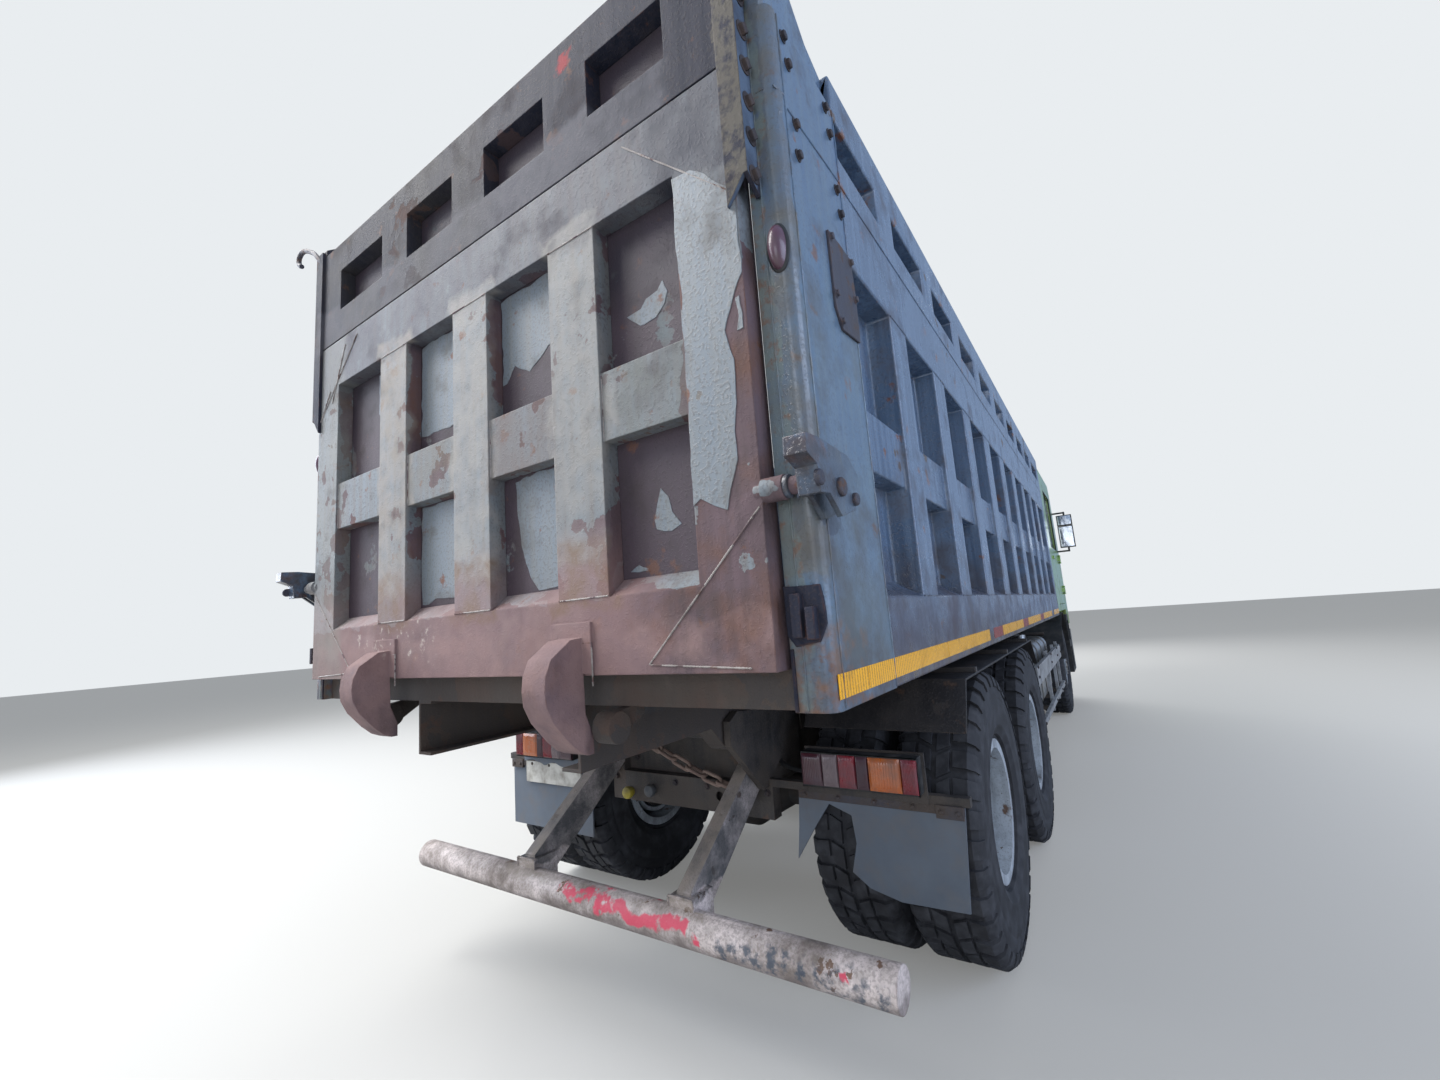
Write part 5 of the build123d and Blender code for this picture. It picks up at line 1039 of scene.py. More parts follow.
NODE_FINISH = {node: finish for finish, nodes in FINISH_NODES.items() for node in nodes}


def dress_nodes() -> None:
    """Gives each CAD node its finish."""
    for name, node in NODES.items():
        finish = NODE_FINISH.get(name) or ("tyre" if "tyre" in name else "rim")
        node.data.materials.clear()
        node.data.materials.append(PALETTE[finish])


# Tyres and wheels


@dataclass
class Tyre:
    """A 12.00R20 off-road tyre with shoulder bars and two rows of middle blocks, turned about Y."""

    radius: float = 562.0
    width: float = 310.0
    groove: float = 14.0
    bars: int = 36
    steps: int = 72

    def carcass(self, centre: Point) -> Mesh:
        """The casing without its tread, as a turned profile from bead to bead."""
        side = [(254.3, 114.7), (281, 114.7), (290, 120), (297, 121), (301, 135), (330, 147), (336, 151), (344, 151),
                (349, 149), (400, 154), (440, 154.5), (446, 152), (452, 152), (458, 153), (480, 151), (528, 138),
                (546, 116), (548, 60)]
        profile = side + [(self.radius - self.groove, 0.0)] + [(r, -w) for r, w in reversed(side)]
        return turned(profile + profile[:1], centre, Axis.Y, self.steps)

    def ring_of_blocks(self, centre: Point, section: Sequence[Pair], turn: Pair, slant: float, sign: int) -> Mesh:
        """Blocks evenly round the tyre: each is a section in r and y carried over a small angle.

        Args:
            centre: Middle of the tyre, in metres.
            section: Radius and distance from the middle plane of each corner.
            turn: First and last angle of a block as a share of the pitch.
            slant: Extra angle per metre of distance from the middle plane.
            sign: 1 for the left half, -1 for the right.

        Returns:
            All blocks as one mesh.
        """
        r, y = np.array(section, float).T * MM
        count, pitch = len(r), FULL_TURN / self.bars
        start = np.arange(self.bars)[:, None, None] * pitch
        angle = start + (np.array(turn) * pitch)[None, :, None] + slant * y[None, None, :]
        points = np.stack([centre[0] + r * np.cos(angle), np.broadcast_to(centre[1] + sign * y, angle.shape),
                           centre[2] + r * np.sin(angle)], axis=-1)
        one = grid_faces(2, count, False, True) + [tuple(range(count)), tuple(range(2 * count - 1, count - 1, -1))]
        faces = [tuple(k + b * 2 * count for k in f) for b in range(self.bars) for f in one]
        return points.reshape(-1, 3), faces

    def mesh(self, centre: Point) -> Mesh:
        """The whole tyre."""
        shoulder = [(544, 66), (561, 68), (562, 118), (541, 142.5), (512, 151), (500, 151.5), (500, 146), (528, 134)]
        middle = [(546, 8), (562, 10), (562, 56), (546, 58)]
        parts = [self.carcass(centre)]
        for sign in (1, -1):
            shift = 0.25 if sign < 0 else 0.0
            parts.append(self.ring_of_blocks(centre, shoulder, (0.06 + shift, 0.68 + shift), 0.15, sign))
            parts.append(self.ring_of_blocks(centre, middle, (0.42 + shift, 1.22 + shift), -0.9, sign))
        return joined(parts)


@dataclass
class Wheels:
    """All ten tyres, the wheel nuts and the hub trim."""

    tyre: Tyre = field(default_factory=Tyre)
    nuts: int = 10
    nut_circle: float = 335.0

    def centres(self, node: str) -> list[Point]:
        """Middle of each tyre in a node, from the node's box and the tyre's width."""
        low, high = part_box(node)
        x, z, w = (low.x + high.x) / 2, (low.z + high.z) / 2, self.tyre.width * MM
        if round((high.y - low.y) / w) <= 1:
            return [(x, (low.y + high.y) / 2, z)]
        return [(x, low.y + w / 2, z), (x, high.y - w / 2, z)]

    def ring(self, x: float, y: float, z: float, radius: float, turns: np.ndarray) -> list[Point]:
        """Places on a circle about a wheel's axis, with the middle in metres."""
        return [(x + radius * MM * math.cos(t), y, z + radius * MM * math.sin(t)) for t in turns]

    def nut_ring(self, x: float, y: float, z: float, sign: int, across: float) -> Mesh:
        """Wheel nuts on their circle with the stud ends standing out of them."""
        pitch = FULL_TURN / self.nuts
        places = self.ring(x, y, z, self.nut_circle / 2, (np.arange(self.nuts) + 0.5) * pitch)
        r, h = across * 0.32, sign * across
        stud = [(1, 0), (r, 0), (r, h * 1.1), (0.5, h * 1.15)]
        return joined([bolt_heads(places, Axis.Y, sign, across)] + [turned(stud, p, Axis.Y, 10) for p in places])

    def build(self) -> None:
        """Makes the tyres and dresses the wheels."""
        for node, owner in [(n, o) for n, o in NODES.items() if "tyre" in n]:
            body = owner["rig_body"]
            mesh = joined([self.tyre.mesh(c) for c in self.centres(node)])
            new_piece(node + "_tread", mesh, body, "tyre", replaces=[node])
            low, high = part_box(node.replace("tyre", "rim"))
            sign = 1 if high.y > 0 else -1
            x, z = (low.x + high.x) / 2, (low.z + high.z) / 2
            face, hub = (1074, 1170) if node.startswith("front") else (936, 1155)
            dome = [(0, 0), (60, 0), (64, -sign * 6), (64, -sign * 14)]
            cap = turned(dome, (x, sign * (hub + 2) * MM, z), Axis.Y, 28)
            places = self.ring(x, sign * (hub - 1) * MM, z, 84, np.arange(8) * FULL_TURN / 8)
            trim = [self.nut_ring(x, sign * face * MM, z, sign, 32), cap, bolt_heads(places, Axis.Y, sign, 17)]
            new_piece(node + "_nuts", joined(trim), body, "steel")


# Tailgate


@dataclass
class Tailgate:
    """The top-hung gate: rounded plate edges, weld seams, torn paint layers, strip bolts and the tarpaulin hook."""

    face: float = -50.0
    panel: float = 10.0
    stile: float = 935.0
    posts: tuple[float, ...] = (-545.0, -37.0, 470.0)
    post_half: float = 97.5
    sill_top: float = 1508.0
    mid: Pair = (1929.0, 2125.0)
    beam_bottom: float = 2570.0

    def recesses(self) -> list[Pair]:
        """Low and high Y of the four columns between the stiles and the posts."""
        edges = [-self.stile, *(y + side * self.post_half for y in self.posts for side in (-1, 1)), self.stile]
        return list(zip(edges[::2], edges[1::2]))

    def ledges(self) -> Mesh:
        """Sloping foot of each recess: a low wedge carried along Y between its posts."""
        return joined(prism([(self.face + inset, base - 1), (self.panel, base - 1), (self.panel, base + rise)],
                            Axis.Y, y0 - 0.5, y1 + 0.5)
                      for y0, y1 in self.recesses()
                      for base, rise, inset in ((self.sill_top, 46, 2), (self.mid[1], 20, 8)))

    def seams(self) -> Mesh:
        """Weld beads: gusset edges, the posts' feet, the mid pieces' ends and the claw pads."""
        x, pad, low, high, out = self.face - 0.5, self.face - 8, 1282, 1393, 79
        flat = [((s * 770, 2750), (s * 1110, 2432)) for s in (-1, 1)]
        flat += [((s * 770, 1332), (s * 1112, 1665)) for s in (-1, 1)]
        flat += [((s * 774, 1331), (s * 1060, 1318)) for s in (-1, 1)]
        flat += [((1115, 2424), (1010, 2560)), ((990, 2500), (878, 2740))]
        flat += [((y - 95, z), (y + 95, z)) for y in self.posts for z in (self.sill_top + 3, self.beam_bottom - 2)]
        lines = [((x, *a), (x, *b)) for a, b in flat]
        lines += [((x + 9, y, self.mid[0] + 4), (x + 9, y, self.mid[1] - 4)) for pair in self.recesses() for y in pair]
        for y in (-500, 500):
            lines += [((pad, y + a, z0), (pad, y + b, high)) for a, b, z0 in
                      ((-out, -out, low), (out, out, low), (-out, out, high))]
        return weld_lines(lines, 2.4)

    def flakes(self) -> Mesh:
        """Thick grey paint still standing on the primer, with torn edges, on the right stile and in the recesses."""
        stile = [(-938, 2566), (-990, 2556), (-1117, 2434), (-1119, 2221), (-1086, 2177), (-1059, 2099), (-1080, 2017),
                 (-1076, 1921), (-1065, 1852), (-1061, 1782), (-1039, 1717), (-1026, 1672), (-995, 1690), (-960, 1715),
                 (-938, 1700)]
        patch = [(-1104, 2170), (-1112, 2120), (-1108, 2085), (-1092, 2088), (-1098, 2120), (-1094, 2165)]
        inside = [[(-706, 2288), (-753, 2250), (-811, 2252), (-841, 2278), (-851, 2315), (-833, 2354), (-813, 2330),
                   (-776, 2318), (-756, 2296)],
                  [(-762, 1699), (-771, 1671), (-817, 1664), (-850, 1674), (-817, 1708), (-813, 1748), (-789, 1780),
                   (-772, 1742)],
                  [(-140, 2564), (-440, 2564), (-440, 2330), (-371, 2324), (-327, 2300), (-276, 2264), (-200, 2309),
                   (-156, 2260), (-140, 2257)],
                  [(-190, 1920), (-438, 1925), (-440, 1570), (-363, 1560), (-295, 1558), (-250, 1609), (-214, 1707)],
                  [(366, 2566), (70, 2566), (66, 2230), (180, 2195), (314, 2200), (366, 2204)],
                  [(368, 1924), (70, 1924), (72, 1580), (175, 1574), (301, 1570), (366, 1566)],
                  [(700, 2560), (580, 2563), (585, 2420), (640, 2330), (700, 2390)],
                  [(-700, 1590), (-735, 1574), (-742, 1560), (-700, 1562), (-670, 1570)]]
        parts = [flake(stile, self.face, 2.0, 3, 26, 4.0), flake(patch, self.face, 2.0, 5, 12, 4.0)]
        parts += [flake(outline, self.panel, 1.4, seed, 18, 4.5) for seed, outline in enumerate(inside, 11)]
        return joined(parts)

    def strip_bolts(self) -> Mesh:
        """Square bolts through both strips' outer flanges."""
        heights = (2960, 2861, 2761, 2660, 2565, 2462, 3060, 3160)
        return both_sides([bolt_heads([in_row(-31, 1162, z) for z in heights], Axis.Y, 1, 24, 4)])

    def hook(self) -> Mesh:
        """Bent round bar at the left top corner that holds the load cover's rope."""
        path = [(-30, 1100, 3205), (-52, 1130, 3236), (-60, 1158, 3270), (-60, 1200, 3310), (-60, 1251, 3344),
                (-60, 1300, 3370), (-60, 1345, 3379), (-60, 1376, 3360), (-60, 1370, 3325), (-60, 1342, 3306)]
        return bent_rod(path, 6, 11, 10)

    def studs(self) -> Mesh:
        """Collars and split pins on the latch studs' ends."""
        x, z = -36, 1700
        profile = [(2, 1175), (26, 1175), (27, 1179), (26, 1186), (21, 1188)]
        pin = tube([in_row(x, 1200, z - 30), in_row(x, 1200, z + 30)], 3, 6)
        return both_sides([turned(profile, in_row(x, 0, z), Axis.Y, 24), pin])

    def build(self) -> None:
        """Makes the gate's pieces."""
        rounded_copy("gate_frame", 7, "gate")
        rounded_copy("gate_extension", 6, "gate_top")
        new_pieces("tailgate", [
            ("recess_ledges", self.ledges(), "gate", "gate_primer", 3),
            ("gate_seams", self.seams(), "seam", "gate_primer", 0),
            ("paint_flakes", self.flakes(), "gate_flake", "gate_primer", 1),
            ("strip_bolts", self.strip_bolts(), "bolt", "gate_primer", 0),
            ("cover_hook", self.hook(), "rusty", "gate_primer", 0),
            ("stud_collars", self.studs(), "post", "gate_primer", 0)])


# Body


@dataclass
class RearPosts:
    """Corner posts: seams, bolts, oval marker lamps, cover plates and the latches' pins."""

    out: float = 1225.0
    marker_height: float = 2276.0

    def seams(self) -> Mesh:
        """Long weld beads where the side plate and the gate-side flange meet the round corner, and plate joints."""
        lines = [((46, self.out, 1222), (46, self.out, 2936)), ((0, 1160, 1222), (0, 1160, 2900)),
                 ((4, self.out - 8, 2700), (46, self.out, 2700)), ((60, self.out, 2672), (398, self.out, 2690)),
                 ((0, 1172, 2703), (0, 1192, 2703)), ((398, self.out, 1222), (398, self.out, 2936))]
        return both_sides([weld_lines(lines, 3.0)])

    def bolts(self) -> Mesh:
        """Bolts of the post's side plate, as the photograph shows them on the right."""
        places = [(73, 2894), (87, 2823), (99, 2658), (97, 2568), (362, 2644), (372, 2570), (340, 2900), (352, 2820)]
        return both_sides([bolt_heads([in_row(x, self.out, z) for x, z in places], Axis.Y, 1, 21)])

    def cover_plate(self) -> Mesh:
        """Rusty plate bolted over a slot in each post's side, with one cut corner."""
        edge = ragged([(238, 2445), (238, 2222), (276, 2170), (404, 2182), (411, 2330), (398, 2440)], 40, 2.0, 2)
        heads = ((252, 2430), (392, 2424), (272, 2192), (250, 2262), (400, 2312))
        places = [in_row(x, self.out + 7, z) for x, z in heads]
        return both_sides([prism(edge, Axis.Y, self.out - 0.5, self.out + 7), bolt_heads(places, Axis.Y, 1, 17)])

    def marker(self, grow: float) -> Mesh:
        """Oval lamp: an ellipse whose radii shrink as a quarter circle towards its crown, facing the rear.

        Args:
            grow: Millimetres added to the ellipse's radii, for the base under the lens.

        Returns:
            Points and faces of both lamps.
        """
        rise = 34 if grow == 0 else 12
        t = np.linspace(0, FULL_TURN, 40, endpoint=False)
        rows = []
        for k in np.linspace(0, math.pi / 2, 9):
            shrink = max(math.cos(k), 0.02)
            x, y, z = in_row(-rise * math.sin(k) + 1, 1192, self.marker_height)
            rows.append(np.stack([np.full_like(t, x), y + (24 + grow) * MM * shrink * np.cos(t),
                                  z + (57 + grow) * MM * shrink * np.sin(t)], axis=-1))
        return both_sides([(np.concatenate(rows), capped_faces(9, 40))])

    def latch_plates(self) -> Mesh:
        """Small ragged plate low on each post's rear face, with its lugs, and the block at the post's foot."""
        edge = ragged([(1132, 1490), (1218, 1484), (1222, 1400), (1205, 1362), (1150, 1356), (1132, 1380)], 24, 3.0, 8)
        return both_sides([prism(edge, Axis.X, -9, 0.5), slab((-26, -8), (1150, 1174), (1376, 1470)),
                           slab((-30, -8), (1186, 1206), (1372, 1440)), slab((-6, 0.5), (1131, 1139), (1219, 1352))])

    def latch_pins(self) -> Mesh:
        """Pin heads on the latches' outer faces."""
        inner, edge, outer = 1273, 1281, 1284
        return both_sides(
            turned([(1, inner), (r, inner), (r, edge), (r - 3, outer), (1, outer)], in_row(x, 0, z), Axis.Y, 20)
            for x, z, r in ((-97, 1690, 17), (17, 1688, 21), (96, 1672, 15)))

    def hinge_washers(self) -> Mesh:
        """Washers and nuts on the gate's hinge pins."""
        x, z = 140, 3350
        washer = turned([(1, 1200), (42, 1200), (42, 1206), (1, 1206)], in_row(x, 0, z), Axis.Y, 28)
        return both_sides([washer, bolt_heads([in_row(x, 1206, z)], Axis.Y, 1, 40)])

    def build(self) -> None:
        """Makes the posts' pieces."""
        rounded_copy("rear_posts", 4, "post", 50.0)
        new_pieces("bed", [
            ("post_seams", self.seams(), "post", "body_steel", 0),
            ("post_bolts", self.bolts(), "bolt", "body_steel", 0),
            ("cover_plates", self.cover_plate(), "rusty", "body_steel", 1),
            ("marker_bases", self.marker(6), "black", "lamp", 0),
            ("marker_lenses", self.marker(0), "marker", "lamp", 0),
            ("lower_latch_plates", self.latch_plates(), "gate_top", "body_steel", 1.5),
            ("latch_pins", self.latch_pins(), "rusty", "body_steel", 0),
            ("hinge_washers", self.hinge_washers(), "bolt", "body_steel", 0)])


@dataclass
class LoadBody:
    """Side walls, extensions and headboard with rounded folds, ledges, seams and reflective tape."""

    out: float = 1225.0
    rear: float = 400.0
    front: float = 6620.0
    sill_top: float = 1459.0
    rail: Pair = (2433.0, 2682.0)
    ribs: int = 9
    first_rib: float = 880.0
    rib_half: float = 93.0

    def rib_places(self) -> list[float]:
        """Middles of the ribs, evenly spaced from the first to the front post."""
        pitch = (self.front - 250 - self.first_rib) / self.ribs
        return [self.first_rib + pitch * k for k in range(self.ribs)]

    def seams(self) -> Mesh:
        """Weld beads at the ribs' feet and heads and along the joint of wall and extension."""
        half = self.rib_half - 2
        lines = [((self.rear, self.out, self.rail[1] + 1), (self.front, self.out, self.rail[1] + 1))]
        lines += [((x - half, self.out, z), (x + half, self.out, z)) for x in self.rib_places()
                  for z in (self.sill_top, self.rail[0])]
        return both_sides([weld_lines(lines, 2.6)])

    def ledges(self) -> Mesh:
        """Sloping foot of each side recess: a wedge carried along X between two ribs."""
        edges = [x + side * self.rib_half for x in self.rib_places() for side in (-1, 1)]
        ends = [self.rear, *edges, self.front - 180]
        outer, inner, foot = self.out - 3, self.out - 90, self.sill_top - 1
        outline = [(outer, foot), (inner, foot), (inner, self.sill_top + 52)]
        return both_sides(prism(outline, Axis.X, x0, x1) for x0, x1 in zip(ends[::2], ends[1::2]))

    def tape(self, spans: Sequence[Pair]) -> Mesh:
        """Strips of tape along the side sills."""
        return both_sides([slab(span, (self.out - 0.5, self.out + 1.2), (1243, 1295)) for span in spans])

    def build(self) -> None:
        """Makes the body's pieces."""
        for node in ("side_wall_left", "side_wall_right", "side_extensions", "headboard"):
            rounded_copy(node, 6, "side")
        new_pieces("bed", [("side_ledges", self.ledges(), "side", "body_steel", 3),
                           ("side_seams", self.seams(), "side", "body_steel", 0)])
        yellow = [(20, 196), (200, 1010), (1014, 1880), (2300, 3200), (3500, 4400), (4700, 5600), (5900, 6600)]
        red = [(2000, 2290), (3210, 3490), (4410, 4690)]
        new_piece("yellow_tape", self.tape(yellow), "bed", "tape_yellow", smooth=False)
        new_piece("red_reflectors", self.tape(red), "bed", "tape_red", smooth=False)


# Rear end of the chassis


@dataclass
class TailLamps:
    """Lamp bodies with their row of tinted lenses, and the blank plate under the left one."""

    rear: float = 930.0
    depth: float = 60.0
    span: Pair = (650.0, 1090.0)
    height: Pair = (782.0, 907.0)
    borders: tuple[float, ...] = (650.0, 735.0, 799.0, 868.0, 915.0, 1033.0, 1090.0)
    tints: tuple[str, ...] = ("lens_dark", "lens_clear", "lens_red", "lens_dark", "lens_orange", "lens_red")

    def lens(self, y0: float, y1: float) -> Mesh:
        """One ribbed lens: its face stands out by a low arch from edge to edge, with fine vertical flutes."""
        columns, rows = 24, 14
        y = np.linspace(y0 + 1.5, y1 - 1.5, columns)
        z = np.linspace(self.height[0] + 5, self.height[1] - 5, rows)
        u, v = np.linspace(-1, 1, columns)[:, None], np.linspace(-1, 1, rows)[None, :]
        arch = 7 * (1 - u ** 8) * (1 - v ** 8) + 0.8 * np.cos(np.arange(columns) * math.pi)[:, None]
        x = self.rear - np.clip(arch, 0, None)
        front = np.stack([in_row(0, 0, 0)[0] + x * MM, np.broadcast_to(y[:, None] * MM, x.shape),
                          np.broadcast_to(z[None, :] * MM, x.shape)], axis=-1)
        back = front.copy()
        back[..., 0] = in_row(self.rear + 20, 0, 0)[0]
        count = columns * rows
        face = grid_faces(columns, rows, False, False)
        faces = face + [tuple(k + count for k in reversed(f)) for f in face]
        number = np.arange(count).reshape(columns, rows)
        rim = [*number[:, 0], *number[-1, 1:], *number[-2::-1, -1], *number[0, -2:0:-1]]
        faces += [(int(a), int(b), int(b) + count, int(a) + count) for a, b in zip(rim, rim[1:] + rim[:1])]
        return np.concatenate([front.reshape(-1, 3), back.reshape(-1, 3)]), faces

    def body(self) -> Mesh:
        """Lamp housing behind the lenses with its thin frame."""
        (y0, y1), (z0, z1) = self.span, self.height
        frame_x = (self.rear + 1, self.rear + 14)
        return both_sides([slab((self.rear + 12, self.rear + self.depth), (y0, y1), (z0, z1)),
                           slab(frame_x, (y0, y1), (z0, z0 + 6)), slab(frame_x, (y0, y1), (z1 - 6, z1)),
                           slab(frame_x, (y0, y0 + 4), (z0, z1)), slab(frame_x, (y1 - 4, y1), (z0, z1))])

    def plate(self) -> Mesh:
        """Blank registration plate: a thin sheet with its edge folded back."""
        return joined([slab((992, 995), (656, 1089), (632, 742)), slab((992, 1001), (656, 660), (632, 742)),
                       slab((992, 1001), (1085, 1089), (632, 742))])

    def cover(self) -> Mesh:
        """Torn black sheet that hangs over the plate's top edge."""
        edge = ragged([(650, 784), (1095, 784), (1095, 745), (1010, 752), (930, 728), (850, 746), (760, 722),
                       (700, 748), (650, 738)], 16, 5.0, 21)
        return prism(edge, Axis.X, 984, 990)

    def wiring(self) -> Mesh:
        """Conduit clipped from each lamp's back to the frame."""
        path = [(986, 700, 800), (1020, 660, 812), (1062, 560, 800), (1100, 470, 812), (1150, 440, 830)]
        return both_sides([bent_rod(path, 8, 9)])

    def build(self) -> None:
        """Makes the lamps."""
        new_piece("lamp_bodies", self.body(), "chassis", "black", 2, replaces=["tail_lamps"])
        new_pieces("chassis", [
            *((f"lens_{number + 1}", both_sides([self.lens(y0, y1)]), tint, "lamp", 0)
              for number, (y0, y1, tint) in enumerate(zip(self.borders, self.borders[1:], self.tints))),
            ("blank_plate", self.plate(), "plate", "guard_silver", 1),
            ("plate_cover", self.cover(), "rubber", "rubber_sheet", 1),
            ("lamp_conduits", self.wiring(), "black", "grille_plastic", 0)])


@dataclass
class RearFrame:
    """Rear end of the frame: round-wire chain, air couplings, bolts, flap clamps and the underride bar's welds."""

    links: int = 7
    wire: float = 16.0
    width: float = 52.0
    left: Point = (1002.0, 200.0, 893.0)
    right: Point = (1002.0, -372.0, 700.0)
    sag: float = 24.0

    def chain(self) -> Mesh:
        """Links of round wire, each a loop of two half circles and two straight runs, turned by quarter turns."""
        s = np.linspace(0, 1, self.links + 1)[:, None]
        a, b = np.array(self.left), np.array(self.right)
        points = a + (b - a) * s - np.array([0, 0, 1]) * self.sag * np.sin(math.pi * s)
        loops = []
        half_turn = np.linspace(-math.pi / 2, math.pi / 2, 9)
        r = (self.width - self.wire) / 2
        for number, (start, end) in enumerate(zip(points, points[1:])):
            length = float(np.linalg.norm(end - start))
            along = (end - start) / length
            normal = np.array([1.0, 0.0, 0.0]) if number % 2 == 0 else np.cross(along, [1.0, 0.0, 0.0])
            side = np.cross(normal, along)
            run = (length + self.wire + 0.3) / 2 - r
            path = [in_row(*((start + end) / 2 + way * (along * (run + r * math.cos(t)) + side * r * math.sin(t))))
                    for way in (1, -1) for t in half_turn]
            loops.append(closed_tube(path, tuple(normal), self.wire / 2))
        return joined(loops)

    def coupling(self, y: float, z: float) -> Mesh:
        """Air coupling on the beam: a turned body with a domed cap that faces the rear."""
        profile = [(0.5, 0), (20, 0), (20, -14), (27, -16), (29, -30), (26, -40), (14, -46), (0.5, -48)]
        return turned(profile, in_row(1030, y, z), Axis.X, 24)

    def bolts(self) -> Mesh:
        """Bolts on the closing plate, the beam, the lamp bars and the struts' feet."""
        places = [in_row(1078, y, z) for y in (-395, -330, 330, 395) for z in (790, 960)]
        places += [in_row(1030, y, 705) for y in (-430, -300, -120, 60, 430)]
        feet = [in_row(456, s * 400 + dy, 478) for s in (-1, 1) for dy in (-32, 32)]
        return joined([bolt_heads(places, Axis.X, -1, 20), bolt_heads(feet, Axis.X, -1, 17)])

    def flap_clamps(self) -> Mesh:
        """Flat bars that press the mud flaps to their brackets, with bolts, and the outer end blocks."""
        heads = bolt_heads([in_row(998, y, 727) for y in (620, 760, 900, 1040)], Axis.X, -1, 15)
        ends = bolt_heads([in_row(990, y, 722) for y in (1140, 1192)], Axis.X, -1, 13)
        return both_sides([slab((998, 1004), (592, 1214), (712, 742)), slab((990, 1004), (1120, 1212), (700, 744)),
                           heads, ends])

    def pipes(self) -> Mesh:
        """Brake pipes clipped along the frame from the couplings forward."""
        return joined(bent_rod([(1092, y, z), (1130, y, z + 12), (1190, inner, z + 60), (1300, 405, z + 110),
                                (2400, 408, z + 110), (3600, 408, z + 112)], 10, 7)
                      for y, z, inner in ((338, 640, 360), (196, 662, 372)))

    def bar_welds(self) -> Mesh:
        """Beads round the struts' feet on the underride bar."""
        x, low, high = 458, 440, 526
        lines = []
        for middle in (-400, 400):
            y0, y1 = middle - 52, middle + 52
            lines += [((x, y, low), (x, y, high - 2)) for y in (y0, y1)] + [((x, y0, high), (x, y1, high))]
        return weld_lines(lines, 4.0)

    def build(self) -> None:
        """Makes the rear end's pieces."""
        new_piece("round_wire_chain", self.chain(), "chassis", "chain", replaces=["tow_chain"])
        new_pieces("chassis", [
            ("yellow_coupling", self.coupling(338, 640), "yellow", "grille_plastic", 0),
            ("grey_coupling", self.coupling(196, 662), "grey", "grille_plastic", 0),
            ("frame_bolts", self.bolts(), "bolt", "frame_paint", 0),
            ("flap_clamps", self.flap_clamps(), "rusty", "frame_paint", 1),
            ("brake_pipes", self.pipes(), "black", "frame_paint", 0),
            ("bar_welds", self.bar_welds(), "bar", "bare_bar", 0)])
        rounded_copy("underride_guard", 3, "bar", 30.0)


# Between the axles


